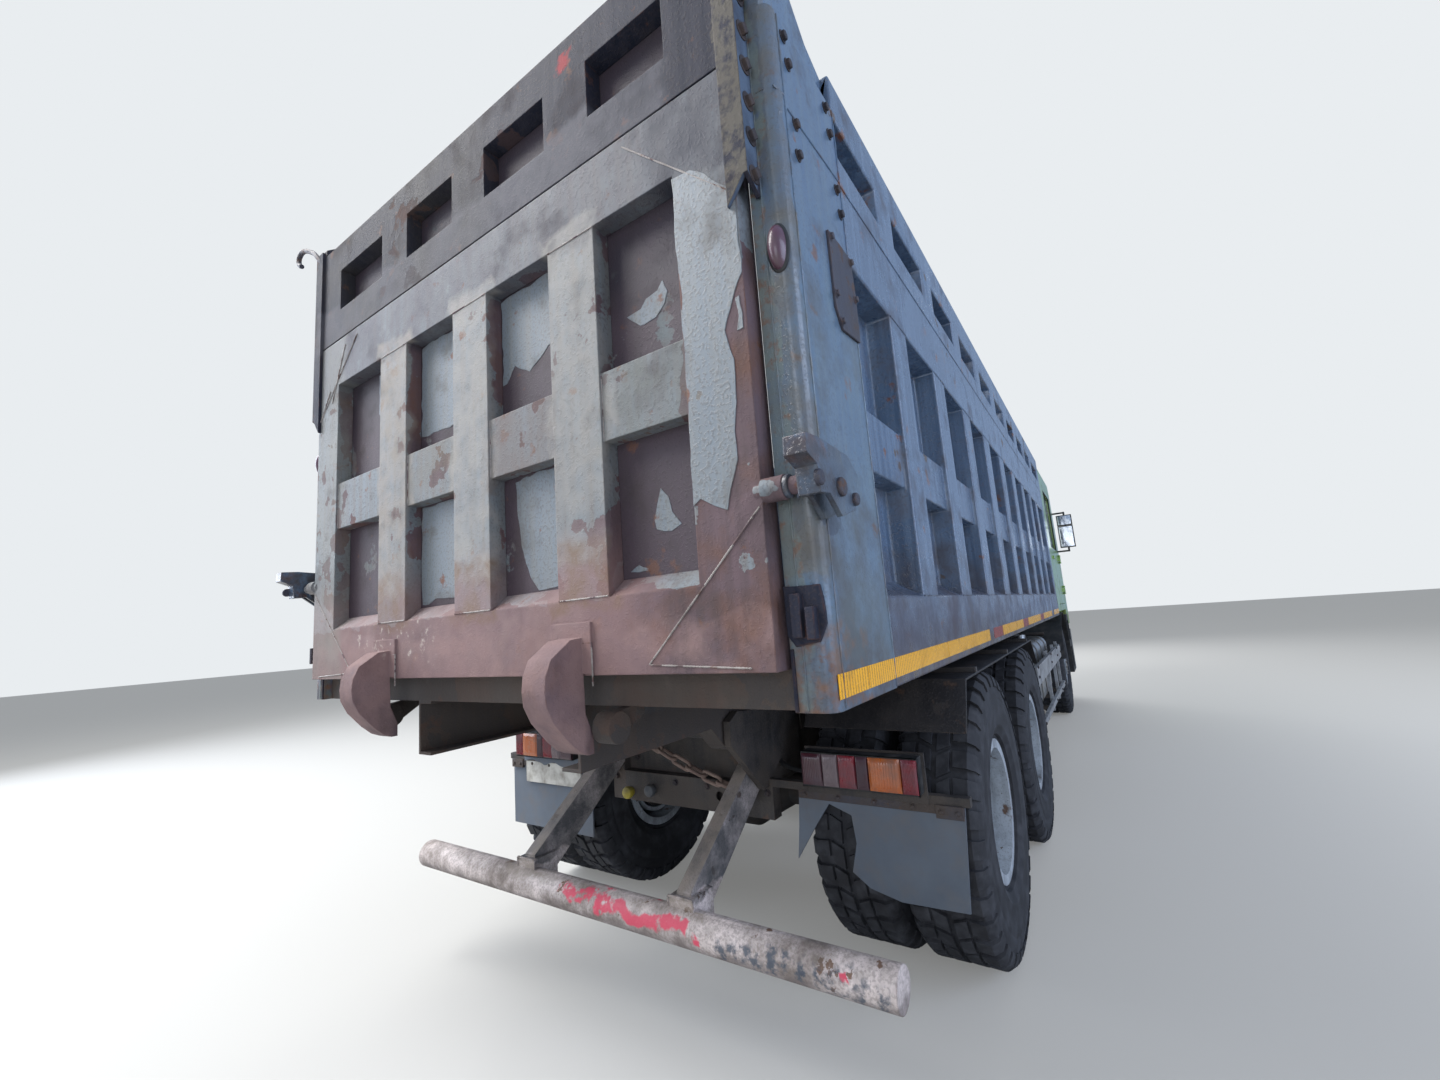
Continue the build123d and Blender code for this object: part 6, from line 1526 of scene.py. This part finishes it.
@dataclass
class MidChassis:
    """Tank straps, reservoir bands, guard bolts, spring clips and brake chambers."""

    axles: Pair = (1600.0, 2950.0)
    front_axle: float = 7325.0

    def along(self, node: str, shares: Sequence[float]) -> list[float]:
        """Stations at some shares of a node's length, in metres."""
        low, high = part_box(node)
        return [low.x + (high.x - low.x) * share for share in shares]

    def straps(self) -> Mesh:
        """Straps round the fuel tank: a rounded rectangle carried as a flat band."""
        low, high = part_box("fuel_tank")
        y0, y1, z0, z1 = low.y - 2 * MM, high.y + 2 * MM, low.z - 2 * MM, low.z + 562 * MM
        r, corner = 92 * MM, np.linspace(0, math.pi / 2, 7)
        centres = [(y1 - r, z1 - r, 0), (y0 + r, z1 - r, 1), (y0 + r, z0 + r, 2), (y1 - r, z0 + r, 3)]
        ring = [(cy + r * math.cos(t + q * math.pi / 2), cz + r * math.sin(t + q * math.pi / 2))
                for cy, cz, q in centres for t in corner]
        count = len(ring)
        middle = np.array([(y0 + y1) / 2, (z0 + z1) / 2])
        parts = []
        for x in self.along("fuel_tank", (0.18, 0.5, 0.82)):
            outer = np.array([(x + side * 20 * MM, y, z) for side in (-1, 1) for y, z in ring])
            grown = outer.copy()
            grown[:, 1:] = middle + (outer[:, 1:] - middle) * 1.012
            faces = []
            for k in range(count):
                j = (k + 1) % count
                faces += [(2 * count + k, 2 * count + j, 3 * count + j, 3 * count + k), (k, count + k, count + j, j),
                          (k, j, 2 * count + j, 2 * count + k), (count + k, 3 * count + k, 3 * count + j, count + j)]
            parts.append((np.concatenate([outer, grown]), faces))
        return joined(parts)

    def tank_cap(self) -> Mesh:
        """Knurled filler cap: a turned profile of many sides on the tank's neck."""
        low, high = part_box("fuel_tank")
        profile = [(0.5, 20), (46, 20), (54, 14), (56, -6), (50, -8)]
        return turned(profile, (self.along("fuel_tank", (0.73,))[0], low.y + 257 * MM, high.z), Axis.Z, 18)

    def bands(self) -> Mesh:
        """Bands round the air reservoirs."""
        low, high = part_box("air_tanks")
        r = (high.y - low.y - 20 * MM) / 4
        inner, outer = r / MM + 0.3, r / MM + 3
        profile = [(inner, -15), (outer, -15), (outer, 15), (inner, 15), (inner, -15)]
        return joined(turned(profile, (x, y, low.z + r), Axis.X, 40) for y in (low.y + r, high.y - r)
                      for x in self.along("air_tanks", (0.22, 0.78)))

    def guard_bolts(self) -> Mesh:
        """Bolts through the side guards' posts."""
        low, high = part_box("side_guards")
        places = [(x, high.y, low.z + dz * MM) for x in self.along("side_guards", (0.03, 0.5, 0.79, 0.97))
                  for dz in (88, 416, 486)]
        return both_sides([bolt_heads(places, Axis.Y, 1, 16)])

    def spring_clips(self) -> Mesh:
        """U-bolts round the springs over the front axle: bars bent twice and carried as tubes."""
        bend = [(340, 420), (340, 585), (342, 604), (352, 612), (418, 612), (428, 604), (430, 585), (430, 420)]
        return both_sides(bent_rod([(self.front_axle + side, y, z) for y, z in bend], 4, 9) for side in (-55, 55))

    def brake_chambers(self) -> Mesh:
        """Brake chambers behind the rear axles: two dished cans clamped by a band, turned about X."""
        profile = [(0.5, 0), (40, 0), (62, 12), (72, 40), (72, 52), (80, 54), (80, 66), (72, 68), (72, 84), (60, 112),
                   (44, 122), (44, 190), (36, 198), (0.5, 198)]
        return both_sides(part for x in self.axles for part in (
            turned(profile, in_row(x + 110, 300, 470), Axis.X, 28), slab((x + 60, x + 122), (270, 330), (450, 560))))

    def build(self) -> None:
        """Makes the pieces."""
        new_pieces("chassis", [
            ("tank_straps", self.straps(), "steel", "tank", 0),
            ("tank_cap", self.tank_cap(), "black", "grille_plastic", 1),
            ("reservoir_bands", self.bands(), "steel", "dark_tank", 0),
            ("guard_bolts", self.guard_bolts(), "bolt", "guard_silver", 0),
            ("spring_clips", self.spring_clips(), "spring", "spring_steel", 0),
            ("brake_chambers", self.brake_chambers(), "black_enamel", "cast", 0)])


# Cab


@dataclass
class FrontBumper:
    """Front bumper whose lamp pockets stand open, with wells, bowls and bulbs behind the headlamps' glass."""

    front: float = 8860.0
    middle: float = 8700.0
    rear: float = 8390.0
    half: float = 1200.0
    heights: tuple[float, ...] = (400.0, 520.0, 560.0, 630.0, 740.0, 960.0)
    lamp: Pair = (780.0, 1090.0)
    lamp_z: Pair = (560.0, 740.0)
    mouth: float = 70.0
    mouth_z: Pair = (520.0, 630.0)
    wall: float = 12.0
    wing: float = 740.0

    def edge(self) -> list[Pair]:
        """Plan of the left half's front: straight, then a slanted corner whose two bends are drawn as parabolas.

        Each bend is (1-t)^2 a + 2t(1-t) c + t^2 b, with c the sharp corner and a, b points 40 mm to either side of it.
        """
        slope = 110 / 180
        first, second = np.array([self.front, self.half - 180]), np.array([self.front - 110, self.half])
        way = (second - first) / np.linalg.norm(second - first)
        points = [(self.front, self.mouth), (self.front, self.lamp[0])]
        for corner, a, b in ((first, first - [0, 40], first + way * 40), (second, second - way * 40, second - [40, 0])):
            for t in np.linspace(0, 1, 6):
                x, y = (1 - t) ** 2 * a + 2 * t * (1 - t) * corner + t ** 2 * b
                points.append((float(x), float(y)))
        points.append((self.front - (self.lamp[1] - first[1]) * slope, self.lamp[1]))
        points = sorted(points, key=lambda p: (p[1], -p[0]))
        return points + [(self.middle + 1, self.half)]

    def shell(self) -> Mesh:
        """The front wall: two layers of a grid with the cells of the lamp pockets and the mouth left out."""
        left = self.edge()
        plan = [(x, -y) for x, y in reversed(left)] + left
        rows, columns = len(plan), len(self.heights)
        outer = np.array([[in_row(x, y, z) for z in self.heights] for x, y in plan])
        inner = outer.copy()
        inner[..., 0] = in_row(self.middle, 0, 0)[0]
        kept = np.ones((rows - 1, columns - 1), bool)
        for i in range(rows - 1):
            y = abs(plan[i][1] + plan[i + 1][1]) / 2
            for j in range(columns - 1):
                z = (self.heights[j] + self.heights[j + 1]) / 2
                in_pocket = self.lamp[0] < y < self.lamp[1] and self.lamp_z[0] < z < self.lamp_z[1]
                kept[i, j] = not (in_pocket or y < self.mouth and self.mouth_z[0] < z < self.mouth_z[1])
        points = np.concatenate([outer.reshape(-1, 3), inner.reshape(-1, 3)])
        back = rows * columns
        faces = []
        for i in range(rows - 1):
            for j in range(columns - 1):
                if not kept[i, j]:
                    continue
                a, b, c, d = i * columns + j, (i + 1) * columns + j, (i + 1) * columns + j + 1, i * columns + j + 1
                faces += [(a, b, c, d), (d + back, c + back, b + back, a + back)]
                sides = ((a, b, i, j - 1), (b, c, i + 1, j), (c, d, i, j + 1), (d, a, i - 1, j))
                for p, q, i2, j2 in sides:
                    if not (0 <= i2 < rows - 1 and 0 <= j2 < columns - 1 and kept[i2, j2]):
                        faces.append((q, p, p + back, q + back))
        return points, faces

    def wings(self) -> Mesh:
        """Thin returns towards the wheels, the plate behind the mouth and the arms from the rails."""
        low, high = self.heights[0], self.heights[-1]
        depth = (self.rear, self.middle + 1)
        return both_sides([slab(depth, (self.half - self.wall, self.half), (low, high)),
                           slab(depth, (self.wing, self.wing + self.wall), (low, high)),
                           slab(depth, (self.wing, self.half), (high - self.wall, high)),
                           slab((8640, self.middle + 1), (345, 425), (720, high)),
                           slab((self.middle, self.middle + 70), (0, self.mouth), self.mouth_z)])

    def bowls(self) -> Mesh:
        """Reflector bowls behind the headlamps' glass: parabolas turned about X."""
        profile = [(r, -70 + 62 * (r / 72) ** 2) for r in np.linspace(4, 72, 12)] + [(75, -8), (75, -14)]
        return both_sides([turned(profile, in_row(x, y, 650), Axis.X, 32) for x, y in ((8846, 862), (8836, 1006))])

    def wells(self) -> Mesh:
        """Dark back plates and bulbs' caps of the headlamps."""
        profile = [(0.5, 22), (15, 20), (17, 0), (17, -50)]
        return both_sides([slab((8704, 8724), (784, 1086), (564, 736)),
                           *(turned(profile, in_row(x, y, 650), Axis.X, 20) for x, y in ((8776, 862), (8766, 1006)))])

    def build(self) -> None:
        """Makes the bumper's pieces."""
        new_piece("open_bumper", self.shell(), "chassis", "grey", 7, replaces=["front_bumper"])
        new_pieces("chassis", [("bumper_wings", self.wings(), "grey", "bumper_plastic", 2),
                               ("headlamp_bowls", self.bowls(), "mirror", "headlamp", 0),
                               ("headlamp_wells", self.wells(), "black", "headlamp", 0)])


@dataclass
class Cab:
    """Seats, seals, lamps, wipers, mirrors' glass, visor and roof lamps of the cab."""

    rear: float = 6950.0
    front: float = 8790.0
    floor: float = 1250.0
    half: float = 1200.0
    seat_x: float = 7480.0
    seat_y: float = 750.0

    def screen_x(self, z: float) -> float:
        """Station of the sloping front at a height."""
        return self.front - 190 * (z - (self.floor + 670)) / 1000

    def cushion(self, middle: Point, size: Point, lean: float, crown: float) -> Mesh:
        """Stuffed pad: a rounded box |x|^n + |y|^n + |z|^n = 1 with its top crowned and its sides drawn in.

        Args:
            middle: Middle in the row frame.
            size: Full size in X, Y and Z before it leans.
            lean: Turn about Y in degrees; positive leans the top rearwards.
            crown: How far the top's middle stands over its edges.

        Returns:
            The pad's points and faces.
        """
        rows, columns = 25, 48
        u, v = np.meshgrid(np.linspace(-math.pi / 2, math.pi / 2, rows),
                           np.linspace(0, FULL_TURN, columns, endpoint=False), indexing="ij")
        waves = np.array([np.cos(u), np.sin(u), np.cos(v), np.sin(v)])
        cos_u, sin_u, cos_v, sin_v = np.sign(waves) * np.abs(waves) ** 0.42
        x, y, z = cos_u * cos_v, cos_u * sin_v, sin_u
        swell = np.clip(1 - x ** 2, 0, 1) * np.clip(1 - y ** 2, 0, 1)
        pinch = 1 - 0.05 * np.clip(1 - z ** 2, 0, 1) * (1 - np.clip(np.abs(x * y) * 1.4, 0, 1))
        x, y = x * pinch * size[0] / 2, y * pinch * size[1] / 2
        z = z * (size[2] / 2 - crown / 2) + crown * swell * (z > 0)
        c, s = math.cos(math.radians(lean)), math.sin(math.radians(lean))
        spot = np.stack([x * c - z * s, y, x * s + z * c], axis=-1).reshape(-1, 3) * MM
        return spot + np.array(in_row(*middle)), capped_faces(rows, columns)

    def seats(self) -> None:
        """Two seats: plinths, shells with their hinge plates, and padded cushions, backs and head pads."""
        x, y, z = self.seat_x, self.seat_y, self.floor + 45
        plinth = [slab((x - 225, x + 245), (y - 245, y + 245), (z, z + 60)),
                  slab((x - 170, x + 190), (y - 190, y + 190), (z + 58, z + 260)),
                  slab((x - 230, x + 250), (y - 250, y + 250), (z + 256, z + 302))]
        new_piece("seat_plinths", both_sides(plinth), "cab", "black", 12, replaces=["cab_interior"])
        back = [(-222, 296), (-176, 296), (-194, 420), (-322, 1040), (-338, 1036)]
        hinge = [(-232, 290), (-110, 290), (-128, 372), (-196, 508), (-240, 500)]
        shell = both_sides(prism([(x + a, z + b) for a, b in outline], Axis.Y, y + low, y + high)
                           for outline, low, high in ((back, -196, 196), (hinge, -242, -234), (hinge, 234, 242)))
        new_piece("seat_shells", shell, "cab", "black", 3)
        for name, mesh, channel, cap in (
                ("seat_cushion", self.cushion((x + 12, y, z + 364), (480, 485, 112), 0, 22), 125, 16),
                ("seat_back", self.cushion((x - 228, y, z + 729), (82, 470, 600), 10, 4), 120, 12),
                ("head_pad", self.cushion((x - 305, y, z + 1032), (66, 274, 96), 10, 4), 300, 8)):
            left = new_piece(f"{name}_left", mesh, "cab", "fabric")
            swell(left, 9, cap)
            press_channels(left, y, channel)
            right = new_piece(f"{name}_right", mirrored(left), "cab", "fabric")
            for pad in (left, right):
                finer = pad.modifiers.new("finer", "SUBSURF")
                finer.levels = finer.render_levels = 1

    def seals(self) -> None:
        """Rubber seals round the door windows, the screen and the rear window."""
        corners = [in_row(x, self.half - 4, z) for x, z in ((7406, 2080), (8354, 2080), (8274, 2824), (7406, 2824))]
        window = np.array(loop_points(corners, (0.02, 0.25, 0.5, 0.75, 0.98)))
        for side, flip in (("left", np.ones(3)), ("right", FLIP_Y)):
            new_piece(f"window_seal_{side}", closed_tube(window * flip, (0.0, 1.0, 0.0), 8), f"door_{side}", "black")
        low, high, wide = self.floor + 750, self.floor + 1600, self.half - 110
        corners = [in_row(self.screen_x(z) - 4, y, z)
                   for y, z in ((-wide, low), (wide, low), (wide, high), (-wide, high))]
        screen = closed_tube(loop_points(corners, (0.01, 0.25, 0.5, 0.75, 0.99)), (1.0, 0.0, 0.19), 11)
        low, high, wide = self.floor + 900, self.floor + 1450, self.half - 700
        middle = (low + high) / 2
        back = [in_row(self.rear + 4, y, z) for y, z in (
            (-wide, low), (0, low), (wide, low), (wide, middle), (wide, high), (0, high), (-wide, high),
            (-wide, middle))]
        new_pieces("cab", [("screen_seal", screen, "black", "grille_plastic", 0),
                           ("rear_window_seal", closed_tube(back, (1.0, 0.0, 0.0), 10), "black", "grille_plastic", 0)])

    def wipers(self) -> Mesh:
        """Two wiper arms and blades lying along the screen's foot."""
        foot = self.floor + 700

        def on_screen(y: float, rise: float, off: float) -> Point:
            """A place over the screen's foot, standing off the glass."""
            return in_row(self.screen_x(foot + rise) + off, y, foot + rise)

        parts = []
        for y in (-760, 120):
            parts.append(tube([on_screen(y, 0, 14), on_screen(y + 430, 120, 16)], np.array([9, 5]), 8))
            parts.append(tube([on_screen(y + 130 + 600 * k, 105 + 20 * k, 9) for k in (0, 0.33, 0.66, 1)], 7, 6))
            parts.append(turned([(0.5, 0), (20, 0), (18, 16), (0.5, 20)], on_screen(y, 0, 2), Axis.X, 20))
        return joined(parts)

    def visor(self) -> Mesh:
        """Sun visor over the screen: an arc sheet whose lip leans forward, carried across the width."""
        columns = 33
        y = np.linspace(-1, 1, columns)
        profile = np.array([(0, 2935), (62, 2905), (92, 2860), (88, 2856), (58, 2898), (-3, 2928)], float)
        out = profile[:, 0][:, None]
        x = self.screen_x(2920) + 2 + out + 26 * (1 - y ** 2)[None, :] * (out / 92)
        points = np.stack([in_row(0, 0, 0)[0] + x * MM, np.broadcast_to(y[None, :] * 1.08, x.shape),
                           np.broadcast_to(profile[:, 1][:, None] * MM, x.shape)], axis=-1)
        count = len(profile)
        faces = grid_faces(count, columns, True, False)
        faces += [tuple(k * columns for k in range(count)),
                  tuple(k * columns + columns - 1 for k in range(count - 1, -1, -1))]
        return points.reshape(-1, 3), faces

    def roof_lamps(self) -> Mesh:
        """Five amber domes on the roof's front edge, each a turned quarter ellipse."""
        profile = [(34 * math.cos(a) + 0.2, 26 * math.sin(a)) for a in np.linspace(0, math.pi / 2, 8)]
        return joined(turned(profile, in_row(8430, y, self.floor + 1798), Axis.Z, 24)
                      for y in (-900, -450, 0, 450, 900))

    def mirror_glass(self) -> Mesh:
        """Panes let into the mirror heads, facing the rear."""
        return both_sides(slab((8513, 8517), (1262, 1428), heights) for heights in ((2140, 2430), (2460, 2590)))

    def steps(self) -> Mesh:
        """Ribbed treads on the entry steps."""
        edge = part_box("step_guards")[1].y / MM - 128
        return both_sides(slab((8045, 8290), (edge + k * 18, edge + k * 18 + 9), (z - 8, z + 3))
                          for z in (480, 830) for k in range(7))

    def build(self) -> None:
        """Makes the cab's pieces."""
        self.seats()
        self.seals()
        rounded_copy("cab_shell", 10, "cab", 20.0)
        for side in ("left", "right"):
            rounded_copy(f"door_{side}", 5, "cab", 30.0)
        new_pieces("cab", [
            ("wipers", self.wipers(), "black", "grille_plastic", 0),
            ("sun_visor", self.visor(), "black", "grille_plastic", 0),
            ("roof_lamps", self.roof_lamps(), "lens_orange", "lamp", 0),
            ("mirror_panes", self.mirror_glass(), "mirror", "glass", 1)])
        new_piece("step_treads", self.steps(), "chassis", "grey", 1)


# Stage


@dataclass
class Studio:
    """Camera at the photograph's place, a pale floor and soft lamps."""

    place: Point = (-5.4635, -1.714, 1.421)
    yaw: float = 0.585
    pitch: float = 0.143
    roll: float = -0.074
    lens: float = 14.273
    sensor: float = 36.0
    near_and_far: Pair = (0.05, 300.0)
    floor_half: float = 60.0
    floor_colour: str = "#b2b2b0"
    floor_glow: float = 0.36
    sky_colour: str = "#e9edf0"
    sky_light: float = 0.45
    shine_colour: str = "#a9c0e2"
    shine_light: float = 0.8
    lamps: tuple[tuple[str, Point, Point, float, float, str], ...] = (
        ("key", (-7.6, 5.0, 10.0), (-4.0, 0, 1.8), 6.0, 1400.0, "#fdfaf6"),
        ("fill", (-7.0, 9.0, 5.0), (-2.0, 0, 1.2), 7.0, 800.0, "#eef4ff"),
        ("low", (-10.5, -3.0, 2.2), (-4.0, 0, 0.7), 4.0, 165.0, "#eef4ff"),
        ("side", (-2.0, -11.0, 4.6), (-0.5, 0, 1.2), 8.0, 780.0, "#d3e2ff"),
        ("front", (11.0, 3.0, 7.0), (2.0, 0, 1.5), 8.0, 700.0, "#ffffff"))

    def camera(self) -> None:
        """Camera that looks along its yaw and pitch and is rolled about that line."""
        level = math.cos(self.pitch)
        forward = Vector((math.cos(self.yaw) * level, math.sin(self.yaw) * level, math.sin(self.pitch)))
        right = forward.cross(Vector((0, 0, 1))).normalized()
        up = right.cross(forward)
        c, s = math.cos(self.roll), math.sin(self.roll)
        turn = Matrix((right * c + up * s, up * c - right * s, -forward)).transposed()
        data = bpy.data.cameras.new("camera")
        data.lens, data.sensor_width = self.lens, self.sensor
        data.clip_start, data.clip_end = self.near_and_far
        camera = placed("camera", data)
        camera.matrix_world = Matrix.Translation(self.place) @ turn.to_4x4()
        bpy.context.scene.camera = camera

    def floor(self) -> None:
        """Wide pale floor at ground level."""
        h = self.floor_half
        data = bpy.data.meshes.new("floor")
        data.from_pydata([(-h, -h, 0), (h, -h, 0), (h, h, 0), (-h, h, 0)], [], [(0, 1, 2, 3)])
        made, tree, _ = new_material("floor")
        direct = add_node(tree, "LightPath").outputs["Is Camera Ray"]
        seen = add_node(tree, "Math", {"operation": "MULTIPLY", 1: self.floor_glow}, {0: direct})
        tone = linear(self.floor_colour)
        set_shader(tree, {"Base Color": tone, "Roughness": 0.9, "Emission Color": tone}, {"Emission Strength": seen})
        data.materials.append(made)
        placed("floor", data)

    def lamp(self, name: str, place: Point, aim: Point, size: float, power: float, colour: str) -> None:
        """One large soft lamp.

        Args:
            name: The lamp's name.
            place: Where it hangs.
            aim: The point that it faces.
            size: Side of its square.
            power: Its power in watts.
            colour: Its colour.
        """
        data = bpy.data.lights.new(name, "AREA")
        data.size, data.energy, data.color = size, power, linear(colour)[:3]
        lamp = placed(name, data)
        lamp.location = place
        lamp.rotation_euler = (Vector(aim) - Vector(place)).to_track_quat("-Z", "Y").to_euler()

    def sky(self) -> None:
        """Even pale surroundings, white to the camera and through glass, pale blue in reflections."""
        world = bpy.data.worlds.new("surroundings")
        world.use_nodes = True
        tree = world.node_tree
        back = tree.nodes["Background"]
        back.inputs["Color"].default_value = linear(self.sky_colour)
        back.inputs["Strength"].default_value = self.sky_light
        seen = add_node(tree, "Background", {"Color": linear(self.sky_colour), "Strength": 1.0})
        shine = add_node(tree, "Background", {"Color": linear(self.shine_colour), "Strength": self.shine_light})
        path = add_node(tree, "LightPath").outputs
        direct = add_node(tree, "Math", {"operation": "MAXIMUM"},
                          {0: path["Is Camera Ray"], 1: path["Is Transmission Ray"]})
        glossy = add_node(tree, "MixShader", {}, {0: path["Is Glossy Ray"], 1: back, 2: shine})
        mix = add_node(tree, "MixShader", {}, {0: direct, 1: glossy, 2: seen})
        tree.links.new(mix.outputs[0], tree.nodes["World Output"].inputs["Surface"])
        bpy.context.scene.world = world

    def build(self) -> None:
        """Sets up the studio."""
        scene = bpy.context.scene
        scene.view_settings.view_transform = "Standard"
        self.camera()
        self.floor()
        for row in self.lamps:
            self.lamp(*row)
        self.sky()


def main() -> None:
    """Builds the truck's looks in order."""
    logging.basicConfig(level=logging.INFO, format="%(message)s")
    Studio().build()
    dress_nodes()
    for assembly in (Wheels, Tailgate, RearPosts, LoadBody, TailLamps, RearFrame, MidChassis, FrontBumper, Cab):
        LOG.info("building %s", assembly.__name__)
        assembly().build()


if __name__ == "__main__":
    main()
